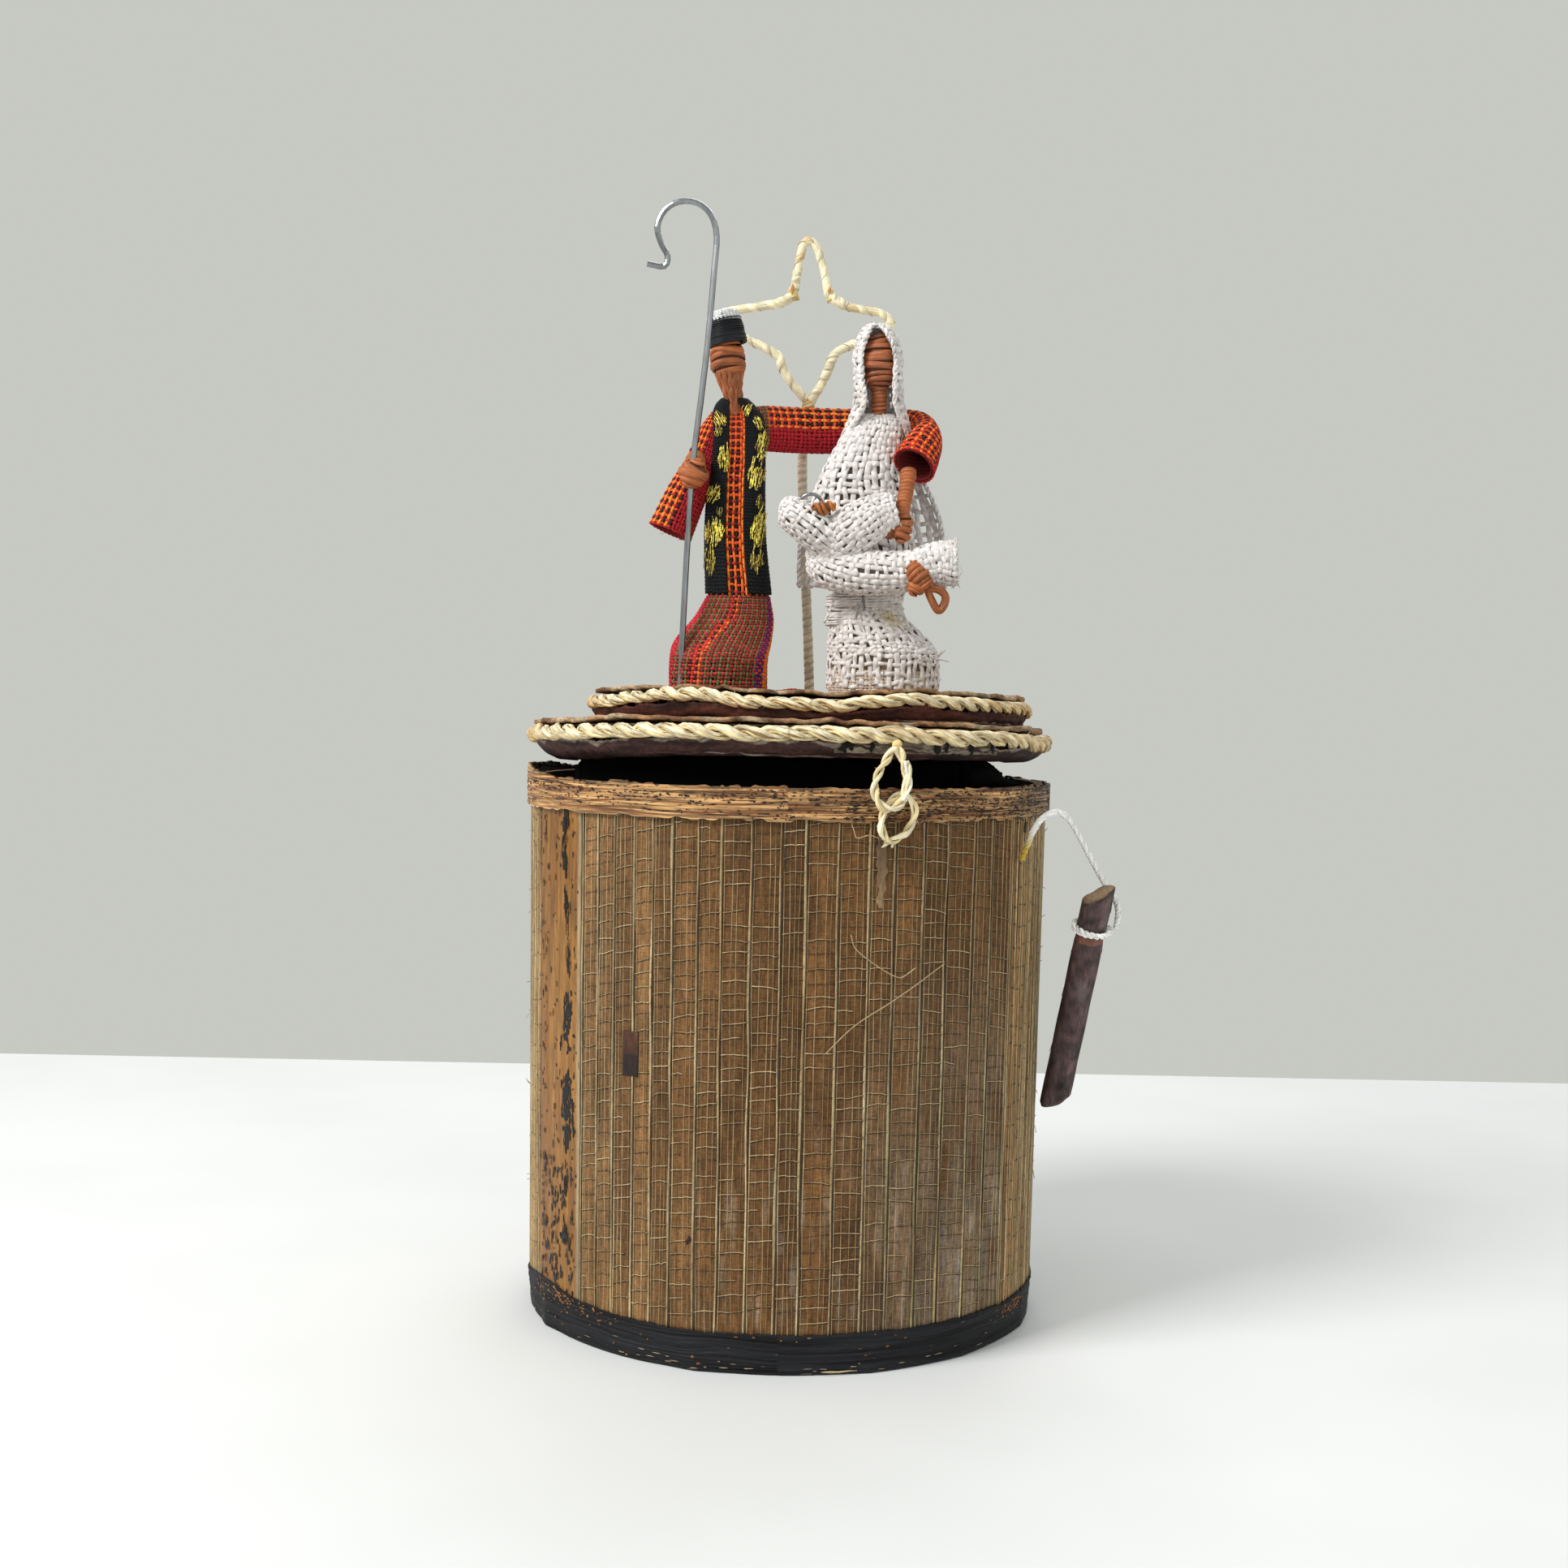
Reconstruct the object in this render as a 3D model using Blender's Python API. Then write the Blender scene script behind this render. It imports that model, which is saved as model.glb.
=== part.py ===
"""Round bark-covered keepsake box with a two-tier lid that carries two wrapped figures and a star.

Lengths are in millimetres and become metres where a mesh is made. X is to the right, Y to the back
and Z up. The origin is the centre of the underside.
"""

import math

import bpy
from mathutils import Matrix, Vector

MM = 0.001
GAP = 0.3  # clearance between pieces that touch
SIDES = 64  # sides of the round box pieces
FIGURE_SIDES = 14  # sides of the clothed bodies

# Box
BOX_HEIGHT = 141.7
BOX_RADIUS_LOW = 66.8  # card tube, outside, at the table
BOX_RADIUS_HIGH = 68.2  # card tube, outside, at the rim
TUBE_WALL = 2.4
BASE_THICK = 2.4
VENEER_THICK = 0.7
BAND_THICK = 0.7
RIM_BAND_LOW = 133.3
BASE_BAND_LOW = 0.3
BASE_BAND_HIGH = 10.2
LINER_THICK = 0.8
LINER_TOP = 126.0
NECK_RADIUS = 57.5
NECK_WALL = 1.5
NECK_TOP = 148.5
NECK_FLANGE_THICK = 2.0

# Lid, from the underside up
LOWER_COVER_LOW = 148.8
LIP_DROP = 2.0  # how far the bark cover's curled edge hangs below the lid
COVER_THICK = 0.7
LOWER_COVER_RADIUS = 68.4
LOWER_ROPE_RADIUS = 68.7
LOWER_ROPE_THICK = 4.2
LOWER_ROPE_HEIGHT = 152.5
LOWER_TOP_COVER_LOW = 154.9
UPPER_COVER_LOW = 156.0
UPPER_COVER_RADIUS = 57.4
UPPER_ROPE_RADIUS = 58.2
UPPER_ROPE_THICK = 3.6
UPPER_ROPE_HEIGHT = 160.4
UPPER_TOP_COVER_LOW = 162.5
UPPER_TIER_X = 5.2  # the upper tier is glued on a little to the right of the middle
STAND = UPPER_TOP_COVER_LOW + COVER_THICK + GAP  # what the figures stand on

# Sewn hinge at the back
HINGE_Y = 73.4
HINGE_Z = 145.6
HINGE_TWINE = 1.6
HINGE_LOOP_TWINE = 1.4
HINGE_LOOP_X = 6.0

# Front latch loops
LOOP_STRAND = 1.8
LID_LOOP_PIVOT = (25.2, -67.8, 151.2)

# Peg on its string
STRING_THICK = 1.7
PEG_RADIUS = 3.75
PEG_TOP = (79.7, -31.0, 114.1)
PEG_BOTTOM = (72.2, -14.0, 57.6)
PEG_TIE_DISTANCE = 10.2  # from the peg's upper end, along its axis

# Where each body's own frame sits, on the axis that it turns about
ROOT_AT = Vector((0, 0, 0))
LID_AT = Vector((0, HINGE_Y, HINGE_Z))
LOOP_AT = Vector(LID_LOOP_PIVOT)
PEG_AXIS = (Vector(PEG_BOTTOM) - Vector(PEG_TOP)).normalized()
PEG_AT = Vector(PEG_TOP) + PEG_AXIS * PEG_TIE_DISTANCE

# Each figure's body as level slices: height, centre x, centre y, half width, half depth
MAN_SLICES = (
    (163.8, -19.0, -5.0, 12.4, 6.0),
    (172.5, -19.0, -5.2, 12.5, 5.8),
    (177.5, -18.1, -5.0, 12.4, 5.6),
    (183.5, -15.6, -4.8, 10.6, 5.6),
    (189.5, -14.4, -4.5, 9.1, 5.4),
    (205.5, -15.6, -4.0, 8.6, 4.8),
    (218.5, -15.6, -3.5, 8.4, 4.6),
    (229.0, -15.4, -3.0, 8.5, 4.3),
    (236.5, -15.5, -2.5, 8.2, 3.7),
    (239.6, -15.8, -2.5, 5.6, 2.9),
)
WOMAN_SKIRT_SLICES = (
    (170.6, 24.6, -7.0, 14.6, 9.6),
    (174.0, 24.6, -7.0, 14.4, 9.4),
    (178.0, 23.4, -6.8, 13.4, 8.6),
    (184.5, 20.6, -6.2, 9.4, 6.8),
    (187.9, 20.4, -6.0, 8.6, 6.0),
)
WOMAN_BODICE_SLICES = (
    (188.2, 20.4, -6.0, 8.4, 5.8),
    (195.0, 21.0, -5.8, 9.1, 5.8),
    (205.0, 22.0, -5.5, 9.6, 5.4),
    (218.0, 22.0, -5.0, 9.2, 5.2),
    (230.0, 22.0, -5.0, 8.6, 4.6),
    (236.0, 22.0, -5.0, 6.0, 3.6),
    (238.2, 22.0, -5.0, 3.6, 2.5),
)
# The veil as level arcs open at the front: height, centre x, y, half width, half depth, half angle
VEIL_ARCS = (
    (193.0, 21.5, 3.0, 19.2, 3.5, 95),
    (203.0, 21.3, 2.6, 19.0, 3.8, 95),
    (212.0, 21.2, 2.0, 17.6, 4.2, 95),
    (222.0, 21.0, 1.0, 12.8, 4.5, 95),
    (229.0, 21.5, -0.5, 10.4, 4.9, 100),
    (236.0, 22.0, -3.0, 8.6, 5.5, 115),
    (241.0, 22.0, -5.8, 7.0, 6.0, 130),
    (247.0, 21.6, -7.2, 6.6, 6.4, 135),
    (252.5, 21.4, -7.5, 6.6, 6.5, 138),
    (257.0, 21.2, -7.5, 5.6, 5.7, 146),
    (260.3, 21.0, -7.2, 3.6, 3.8, 160),
    (261.6, 21.0, -7.0, 1.4, 1.6, 170),
)
VEIL_THICK = 1.0
CLOTH_THICK = 1.2


def material(name, colour, roughness, metallic=0.0):
    made = bpy.data.materials.new(name)
    made.use_nodes = True
    shader = made.node_tree.nodes["Principled BSDF"]
    shader.inputs["Base Color"].default_value = (*colour, 1.0)
    shader.inputs["Roughness"].default_value = roughness
    shader.inputs["Metallic"].default_value = metallic
    made.diffuse_color = (*colour, 1.0)
    return made


def body_frame(name, place):
    """An empty on a body's axis. Its pieces are its children."""
    empty = bpy.data.objects.new(name, None)
    empty.location = place * MM
    bpy.context.scene.collection.objects.link(empty)
    return empty


def settle(name, data, finish, body):
    """Makes an object of a mesh in millimetres, or of a curve already in its body's own frame."""
    parent, place = body
    if isinstance(data, bpy.types.Mesh):
        data.transform(Matrix.Scale(MM, 4) @ Matrix.Translation(-place))
    data.materials.append(finish)
    made = bpy.data.objects.new(name, data)
    made.parent = parent
    bpy.context.scene.collection.objects.link(made)
    return made


def skin(name, rings, finish, body, closed=False):
    """A solid through rings of points. Closed joins the last ring to the first, in place of end caps."""
    count = len(rings[0])
    points = [tuple(point) for ring in rings for point in ring]
    faces = []
    for i in range(len(rings) if closed else len(rings) - 1):
        low = i * count
        high = (i + 1) % len(rings) * count
        for j in range(count):
            k = (j + 1) % count
            faces.append((low + j, low + k, high + k, high + j))
    if not closed:
        faces.append(tuple(reversed(range(count))))
        faces.append(tuple(range(len(points) - count, len(points))))
    mesh = bpy.data.meshes.new(name)
    mesh.from_pydata(points, [], faces)
    if signed_volume(mesh) < 0:
        mesh.flip_normals()
    mesh.shade_smooth()
    mesh.set_sharp_from_angle(angle=math.radians(40))
    return settle(name, mesh, finish, body)


def signed_volume(mesh):
    mesh.calc_loop_triangles()
    total = 0.0
    for triangle in mesh.loop_triangles:
        a, b, c = (mesh.vertices[i].co for i in triangle.vertices)
        total += a.dot(b.cross(c))
    return total


def level_ring(radius, height, sides=SIDES, x=0.0):
    turns = (2 * math.pi * i / sides for i in range(sides))
    return [Vector((x + radius * math.cos(t), radius * math.sin(t), height)) for t in turns]


def turned(name, profile, finish, body):
    """A ring with this closed (radius, height) profile."""
    return skin(name, [level_ring(r, z) for r, z in profile], finish, body, closed=True)


def disc(name, profile, finish, body, x=0.0):
    """A solid of revolution with flat ends, from (radius, height) pairs that go up."""
    return skin(name, [level_ring(r, z, x=x) for r, z in profile], finish, body)


def sector(name, profile, start, end, finish, body):
    """A stretch of a turned ring, between two angles measured from the front, towards the right."""
    step = 360 / SIDES
    first = math.floor(start / step) + 1
    angles = [start]
    angles += [i * step for i in range(first, math.ceil(end / step))]
    angles.append(end)
    rings = []
    for angle in angles:
        across = math.sin(math.radians(angle))
        along = -math.cos(math.radians(angle))
        rings.append([Vector((r * across, r * along, z)) for r, z in profile])
    return skin(name, rings, finish, body)


def tube_radius(height):
    """The card tube's outer radius, which grows a little towards the rim."""
    share = height / BOX_HEIGHT
    return BOX_RADIUS_LOW + (BOX_RADIUS_HIGH - BOX_RADIUS_LOW) * share


def wall_profile(inner, outer, low, high):
    """A wall that follows the tapered tube, as offsets from the tube's outside."""
    return [
        (tube_radius(low) + inner, low),
        (tube_radius(low) + outer, low),
        (tube_radius(high) + outer, high),
        (tube_radius(high) + inner, high),
    ]


def smooth_route(points, per_span, cyclic=False):
    """Points along the smooth curve through a route's own points."""
    route = [Vector(point) for point in points]
    count = len(route)
    found = []
    for i in range(count if cyclic else count - 1):
        if cyclic:
            a, b, c, d = (route[(i + k) % count] for k in (-1, 0, 1, 2))
        else:
            b, c = route[i], route[i + 1]
            a = route[i - 1] if i else b * 2 - c
            d = route[i + 2] if i + 2 < count else c * 2 - b
        for j in range(per_span):
            t = j / per_span
            found.append(
                0.5 * (2 * b + (c - a) * t + (2 * a - 5 * b + 4 * c - d) * t**2)
                + 0.5 * (3 * b - 3 * c + d - a) * t**3
            )
    if not cyclic:
        found.append(route[-1])
    return found


def strand(name, points, thick, finish, body, per_span=2, cyclic=False, resolution=2):
    """A round tube along a smooth route."""
    curve = bpy.data.curves.new(name, "CURVE")
    curve.dimensions = "3D"
    curve.bevel_depth = thick / 2 * MM
    curve.bevel_resolution = resolution
    curve.use_fill_caps = True
    spline = curve.splines.new("POLY")
    route = smooth_route(points, per_span, cyclic)
    spline.points.add(len(route) - 1)
    for place, point in zip(spline.points, route):
        place.co = (*((point - body[1]) * MM), 1.0)
    spline.use_cyclic_u = cyclic
    return settle(name, curve, finish, body)


def slice_ring(slice_, swell=0.0):
    height, x, y, width, depth = slice_
    turns = (2 * math.pi * (i + 0.5) / FIGURE_SIDES for i in range(FIGURE_SIDES))
    return [
        Vector((x + (width + swell) * math.cos(t), y + (depth + swell) * math.sin(t), height))
        for t in turns
    ]


def clothed(name, slices, finish, body, swell=0.0):
    return skin(name, [slice_ring(each, swell) for each in slices], finish, body)


def cloth_shell(name, slices, thick, finish, body):
    """A garment closed at its top and open at its hem."""
    inner = [slice_ring(each, -thick) for each in reversed(slices[:-1])]
    outer = [slice_ring(each) for each in slices]
    return skin(name, inner + outer, finish, body)


def stuffing(name, slices, finish, body):
    """The wound straw inside a garment, clear of it all round."""
    low = slices[0]
    inside = ((low[0] + GAP, *low[1:]), *slices[1:-1])
    return clothed(name, inside, finish, body, swell=-CLOTH_THICK - 0.5)


def between(slices, height):
    """The slice at any height, between the two that are nearest."""
    for low, high in zip(slices, slices[1:]):
        if low[0] <= height <= high[0]:
            share = (height - low[0]) / (high[0] - low[0])
            return tuple(a + (b - a) * share for a, b in zip(low, high))
    return slices[-1]


def front_panel(name, slices, heights, start, end, finish, body):
    """A cloth panel on the front of a body, between two angles from the front."""
    steps = 4
    rings = []
    for height in heights:
        _, x, y, width, depth = between(slices, height)
        ring = []
        for swell, order in ((0.5, range(steps + 1)), (1.2, reversed(range(steps + 1)))):
            for i in order:
                angle = math.radians(start + (end - start) * i / steps)
                across = (width + swell) * math.sin(angle)
                along = -(depth + swell) * math.cos(angle)
                ring.append(Vector((x + across, y + along, height)))
        rings.append(ring)
    return skin(name, rings, finish, body)


def sleeve(name, stations, finish, body, sides=10):
    """A limb through stations of (x, y, z, half height, half thickness)."""
    places = smooth_route([station[:3] for station in stations], 2)
    sizes = smooth_route([(*station[3:], 0.0) for station in stations], 2)
    rings = []
    side = None
    for i, (place, size) in enumerate(zip(places, sizes)):
        before = places[max(i - 1, 0)]
        after = places[min(i + 1, len(places) - 1)]
        along = (after - before).normalized()
        flat = along.cross(Vector((0, 0, 1))).normalized()
        side = -flat if side and flat.dot(side) < 0 else flat
        rise = side.cross(along).normalized()
        turns = [2 * math.pi * j / sides for j in range(sides)]
        rings.append(
            [place + rise * size.x * math.cos(t) + side * size.y * math.sin(t) for t in turns]
        )
    return skin(name, rings, finish, body)


def ball(name, centre, halves, finish, body, lean=0.0, rings=7, sides=12):
    """An egg shape with its long axis leaning by some degrees towards +X."""
    turn = Matrix.Rotation(math.radians(lean), 3, "Y")
    levels = []
    for i in range(rings):
        polar = math.pi * (i + 0.5) / rings
        turns = [2 * math.pi * j / sides for j in range(sides)]
        levels.append(
            [
                Vector(centre)
                + turn
                @ Vector(
                    (
                        halves[0] * math.sin(polar) * math.cos(t),
                        halves[1] * math.sin(polar) * math.sin(t),
                        -halves[2] * math.cos(polar),
                    )
                )
                for t in turns
            ]
        )
    return skin(name, levels, finish, body)


def drum(name, centre, profile, lean, finish, body, sides=16):
    """A short turned piece from (radius, height) pairs, leaning by some degrees towards +X."""
    turn = Matrix.Rotation(math.radians(lean), 3, "Y")
    levels = []
    for radius, height in profile:
        ring = level_ring(radius, height, sides)
        levels.append([Vector(centre) + turn @ point for point in ring])
    return skin(name, levels, finish, body)


def cut(target, cutter):
    """Takes the cutter's shape out of the target."""
    cutter.hide_render = True
    cutter.display_type = "WIRE"
    modifier = target.modifiers.new("Cut", "BOOLEAN")
    modifier.operation = "DIFFERENCE"
    modifier.solver = "EXACT"
    modifier.object = cutter


def make_box(body, looks):
    wall = wall_profile(-TUBE_WALL, 0.0, BASE_THICK + GAP, BOX_HEIGHT - 0.5)
    turned("core_tube", wall, looks["card"], body)
    base_radius = tube_radius(0) + GAP + VENEER_THICK
    disc("base_disc", [(base_radius, 0.0), (base_radius, BASE_THICK)], looks["card"], body)

    liner_out = -TUBE_WALL - GAP
    liner = wall_profile(liner_out - LINER_THICK, liner_out, BASE_THICK + 2 * GAP, LINER_TOP)
    turned("inner_liner", liner, looks["lining"], body)
    flange_low = LINER_TOP + GAP
    flange_high = flange_low + NECK_FLANGE_THICK
    flange_radius = tube_radius(flange_low) + liner_out
    inside = NECK_RADIUS - NECK_WALL
    neck = [
        (inside, flange_low),
        (flange_radius, flange_low),
        (flange_radius, flange_high),
        (NECK_RADIUS, flange_high),
        (NECK_RADIUS, NECK_TOP),
        (inside, NECK_TOP),
    ]
    turned("inner_neck", neck, looks["lining"], body)

    veneer = wall_profile(GAP, GAP + VENEER_THICK, BASE_THICK + GAP, BOX_HEIGHT - 1.2)
    edge = 0.13  # half of the gap between neighbouring strips, in degrees
    strips = (
        ("veneer_main", -48.0, 55.0, "veneer"),
        ("fibre_strip_right", 55.0, 86.0, "fibre"),
        ("veneer_back", 86.0, 264.0, "veneer"),
        ("fibre_strip_left", 264.0, 293.0, "fibre"),
        ("bark_strip_left", 293.0, 312.0, "bark_orange"),
    )
    for name, start, end, finish in strips:
        sector(name, veneer, start + edge, end - edge, looks[finish], body)

    band_in = 2 * GAP + VENEER_THICK
    band_out = band_in + BAND_THICK
    rim = wall_profile(band_in, band_out, RIM_BAND_LOW, BOX_HEIGHT)
    turned("rim_band", rim, looks["band"], body)
    base = wall_profile(band_in, band_out, BASE_BAND_LOW, BASE_BAND_HIGH)
    turned("base_band", base, looks["base_band"], body)


def make_hinge(box, lid, looks):
    """A twine bar sewn to the rim band, and two loops on the lid that turn round it."""
    bar = [
        (-13.0, 70.6, 136.5),
        (-12.6, 72.2, 141.5),
        (-11.0, HINGE_Y - 0.1, 144.8),
        (-9.0, HINGE_Y, HINGE_Z),
        (0.0, HINGE_Y, HINGE_Z),
    ]
    bar += [(-x, y, z) for x, y, z in reversed(bar[:-1])]
    strand("hinge_twine", bar, HINGE_TWINE, looks["raffia"], box, per_span=3)
    reach = (HINGE_TWINE + HINGE_LOOP_TWINE) / 2 + 0.5
    for side, name in ((-1, "hinge_loop_left"), (1, "hinge_loop_right")):
        loop = [
            (side * HINGE_LOOP_X, HINGE_Y, HINGE_Z - reach),
            (side * HINGE_LOOP_X, HINGE_Y + reach, HINGE_Z),
            (side * HINGE_LOOP_X, HINGE_Y + 1.3, HINGE_Z + 4.5),
            (side * HINGE_LOOP_X, HINGE_Y - 0.2, HINGE_Z + 8.2),
            (side * HINGE_LOOP_X, HINGE_Y - 1.5, HINGE_Z + 7.0),
            (side * HINGE_LOOP_X, HINGE_Y - 1.7, HINGE_Z + 3.4),
            (side * HINGE_LOOP_X, HINGE_Y - reach, HINGE_Z),
        ]
        strand(name, loop, HINGE_LOOP_TWINE, looks["raffia"], lid, per_span=3, cyclic=True)


def rope_ring(name, radius, height, thick, finish, body, x=0.0):
    sides = 48
    section = 8
    rings = []
    for i in range(sides):
        around = 2 * math.pi * i / sides
        ring = []
        for j in range(section):
            t = 2 * math.pi * j / section
            out = radius + thick / 2 * math.cos(t)
            rise = thick / 2 * math.sin(t)
            ring.append(Vector((x + out * math.cos(around), out * math.sin(around), height + rise)))
        rings.append(ring)
    return skin(name, rings, finish, body, closed=True)


def make_lid(body, looks):
    low = LOWER_COVER_LOW
    core_low = low + COVER_THICK + GAP
    core_radius = LOWER_ROPE_RADIUS - LOWER_ROPE_THICK / 2 - 0.4
    cover = [(LOWER_COVER_RADIUS - 2.0, low), (LOWER_COVER_RADIUS, low + COVER_THICK)]
    disc("lid_under_cover", cover, looks["bark_dark"], body)
    lip_inside = NECK_RADIUS + 0.6
    lip_outside = LOWER_COVER_RADIUS - 0.8
    lip_top = low - GAP
    lip = [
        (lip_inside, lip_top - LIP_DROP + 0.5),
        (lip_inside + 0.9, lip_top - LIP_DROP),
        (lip_outside, lip_top - 0.3),
        (lip_outside, lip_top),
        (lip_inside, lip_top),
    ]
    turned("lid_cover_lip", lip, looks["bark_dark"], body)
    core_high = LOWER_TOP_COVER_LOW - GAP
    disc("lid_core", [(core_radius, core_low), (core_radius, core_high)], looks["card"], body)
    radius = LOWER_ROPE_RADIUS
    height = LOWER_ROPE_HEIGHT
    rope_ring("lid_rope", radius, height, LOWER_ROPE_THICK, looks["raffia"], body)
    top = [
        (LOWER_COVER_RADIUS - 0.8, LOWER_TOP_COVER_LOW),
        (LOWER_COVER_RADIUS - 1.2, LOWER_TOP_COVER_LOW + COVER_THICK),
    ]
    disc("lid_top_cover", top, looks["bark_brown"], body)

    low = UPPER_COVER_LOW
    core_low = low + COVER_THICK + GAP
    core_radius = UPPER_ROPE_RADIUS - UPPER_ROPE_THICK / 2 - 0.4
    cover = [(UPPER_COVER_RADIUS - 2.0, low), (UPPER_COVER_RADIUS, low + COVER_THICK)]
    x = UPPER_TIER_X
    disc("tier_under_cover", cover, looks["bark_dark"], body, x)
    core_high = UPPER_TOP_COVER_LOW - GAP
    disc("tier_core", [(core_radius, core_low), (core_radius, core_high)], looks["card"], body, x)
    radius = UPPER_ROPE_RADIUS
    height = UPPER_ROPE_HEIGHT
    rope_ring("tier_rope", radius, height, UPPER_ROPE_THICK, looks["raffia"], body, x)
    top = [
        (UPPER_COVER_RADIUS, UPPER_TOP_COVER_LOW),
        (UPPER_COVER_RADIUS - 0.4, UPPER_TOP_COVER_LOW + COVER_THICK),
    ]
    disc("tier_top_cover", top, looks["bark_brown"], body, x)


def make_latch(box, loop, looks):
    """The lid's loop hangs in front of the loop that is sewn to the box."""
    x, y, z = LID_LOOP_PIVOT
    hanging = [
        (x - 0.3, y, z),
        (x - 2.6, y - 0.9, z - 3.1),
        (x - 4.8, y - 2.2, z - 7.5),
        (x - 4.8, y - 2.9, z - 11.7),
        (x - 2.0, y - 2.8, z - 14.3),
        (x + 1.2, y - 2.4, z - 12.7),
        (x + 2.4, y - 1.6, z - 7.9),
        (x + 1.6, y - 0.7, z - 3.3),
    ]
    strand("lid_loop", hanging, LOOP_STRAND, looks["raffia"], loop, per_span=2, cyclic=True)
    standing = [
        (24.0, -68.6, 129.2),
        (22.0, -69.6, 132.6),
        (22.6, -69.9, 136.4),
        (25.2, -69.5, 139.6),
        (28.4, -68.2, 139.4),
        (30.0, -67.4, 135.6),
        (27.8, -67.8, 131.0),
    ]
    outward = 1.55  # clears the rim band
    route = []
    for x, y, z in standing:
        radius = tube_radius(z) + 2 * GAP + VENEER_THICK + BAND_THICK + outward
        route.append((x, -math.sqrt(radius**2 - x**2), z))
    strand("body_loop", route, LOOP_STRAND - 0.2, looks["raffia"], box, per_span=2, cyclic=True)


def make_peg(box, peg, looks):
    side = PEG_AXIS.cross(Vector((0, 1, 0))).normalized()
    face = PEG_AXIS.cross(side).normalized()
    length = (Vector(PEG_BOTTOM) - Vector(PEG_TOP)).length
    sides = 12
    rings = []
    for along, slant in ((0.0, 0.75), (0.25, 0.0), (0.75, 0.0), (1.0, 0.6)):
        ring = []
        for i in range(sides):
            t = 2 * math.pi * i / sides
            out = side * math.cos(t) + face * math.sin(t)
            shear = PEG_AXIS * slant * PEG_RADIUS * -math.cos(t)
            ring.append(Vector(PEG_TOP) + PEG_AXIS * length * along + out * PEG_RADIUS + shear)
        rings.append(ring)
    skin("toggle_peg", rings, looks["twig"], peg)
    tie_radius = PEG_RADIUS + GAP + STRING_THICK / 2
    tie = []
    for i in range(12):
        t = 2 * math.pi * i / 12
        tie.append(PEG_AT + (side * math.cos(t) + face * math.sin(t)) * tie_radius)
    strand("peg_tie", tie, STRING_THICK, looks["string"], peg, per_span=1, cyclic=True)
    string = [
        (58.9, -38.1, 122.9),
        (60.2, -38.9, 126.6),
        (61.8, -39.1, 130.8),
        (64.2, -38.6, 133.9),
        (67.7, -37.8, 135.2),
        (71.1, -35.4, 133.2),
        (74.8, -31.6, 128.0),
        (78.9, -27.8, 121.3),
        (82.2, -25.7, 116.2),
        (84.6, -25.9, 112.6),
        (85.5, -27.1, 109.6),
        (85.2, -27.9, 106.6),
        (84.75, -28.1, 104.9),
    ]
    strand("peg_string", string, STRING_THICK, looks["string"], box, per_span=2)


def make_star(body, looks):
    y = 11.6
    pole = [(5.3, STAND), (4.6, 178.3), (3.7, 194.0), (2.7, 211.5), (2.1, 229.0), (3.1, 241.8)]
    route = [(x, y, z) for x, z in pole]
    strand("star_pole", route, 2.6, looks["raffia"], body, per_span=3)
    star = [
        (3.3, 243.6),
        (-2.5, 250.5),
        (-5.6, 256.4),
        (-12.7, 260.1),
        (-20.0, 263.8),
        (-22.6, 266.4),
        (-19.0, 268.0),
        (-5.4, 270.5),
        (-1.6, 272.9),
        (-0.3, 279.0),
        (1.0, 285.9),
        (2.7, 287.4),
        (4.8, 285.9),
        (7.0, 279.5),
        (8.8, 272.8),
        (13.5, 270.0),
        (22.8, 268.2),
        (25.4, 265.6),
        (22.6, 262.5),
        (14.0, 259.2),
        (10.2, 256.6),
        (7.6, 250.2),
    ]
    route = [(x, y, z) for x, z in star]
    strand("star_frame", route, 2.2, looks["raffia"], body, per_span=2, cyclic=True)


def make_crook(body, looks):
    y = -12.4
    crook = [
        (-29.4, STAND + 0.4),
        (-28.8, 178.5),
        (-28.0, 200.4),
        (-26.9, 222.7),
        (-25.2, 238.5),
        (-23.4, 256.0),
        (-22.1, 274.3),
        (-21.6, 282.8),
        (-23.2, 288.4),
        (-27.0, 291.4),
        (-31.6, 291.6),
        (-35.4, 289.2),
        (-37.2, 284.9),
        (-36.0, 280.6),
        (-34.4, 277.6),
        (-35.2, 274.8),
        (-39.6, 275.4),
    ]
    route = [(x, y, z) for x, z in crook]
    return strand("crook", route, 1.6, looks["wire"], body, per_span=3)


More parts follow.
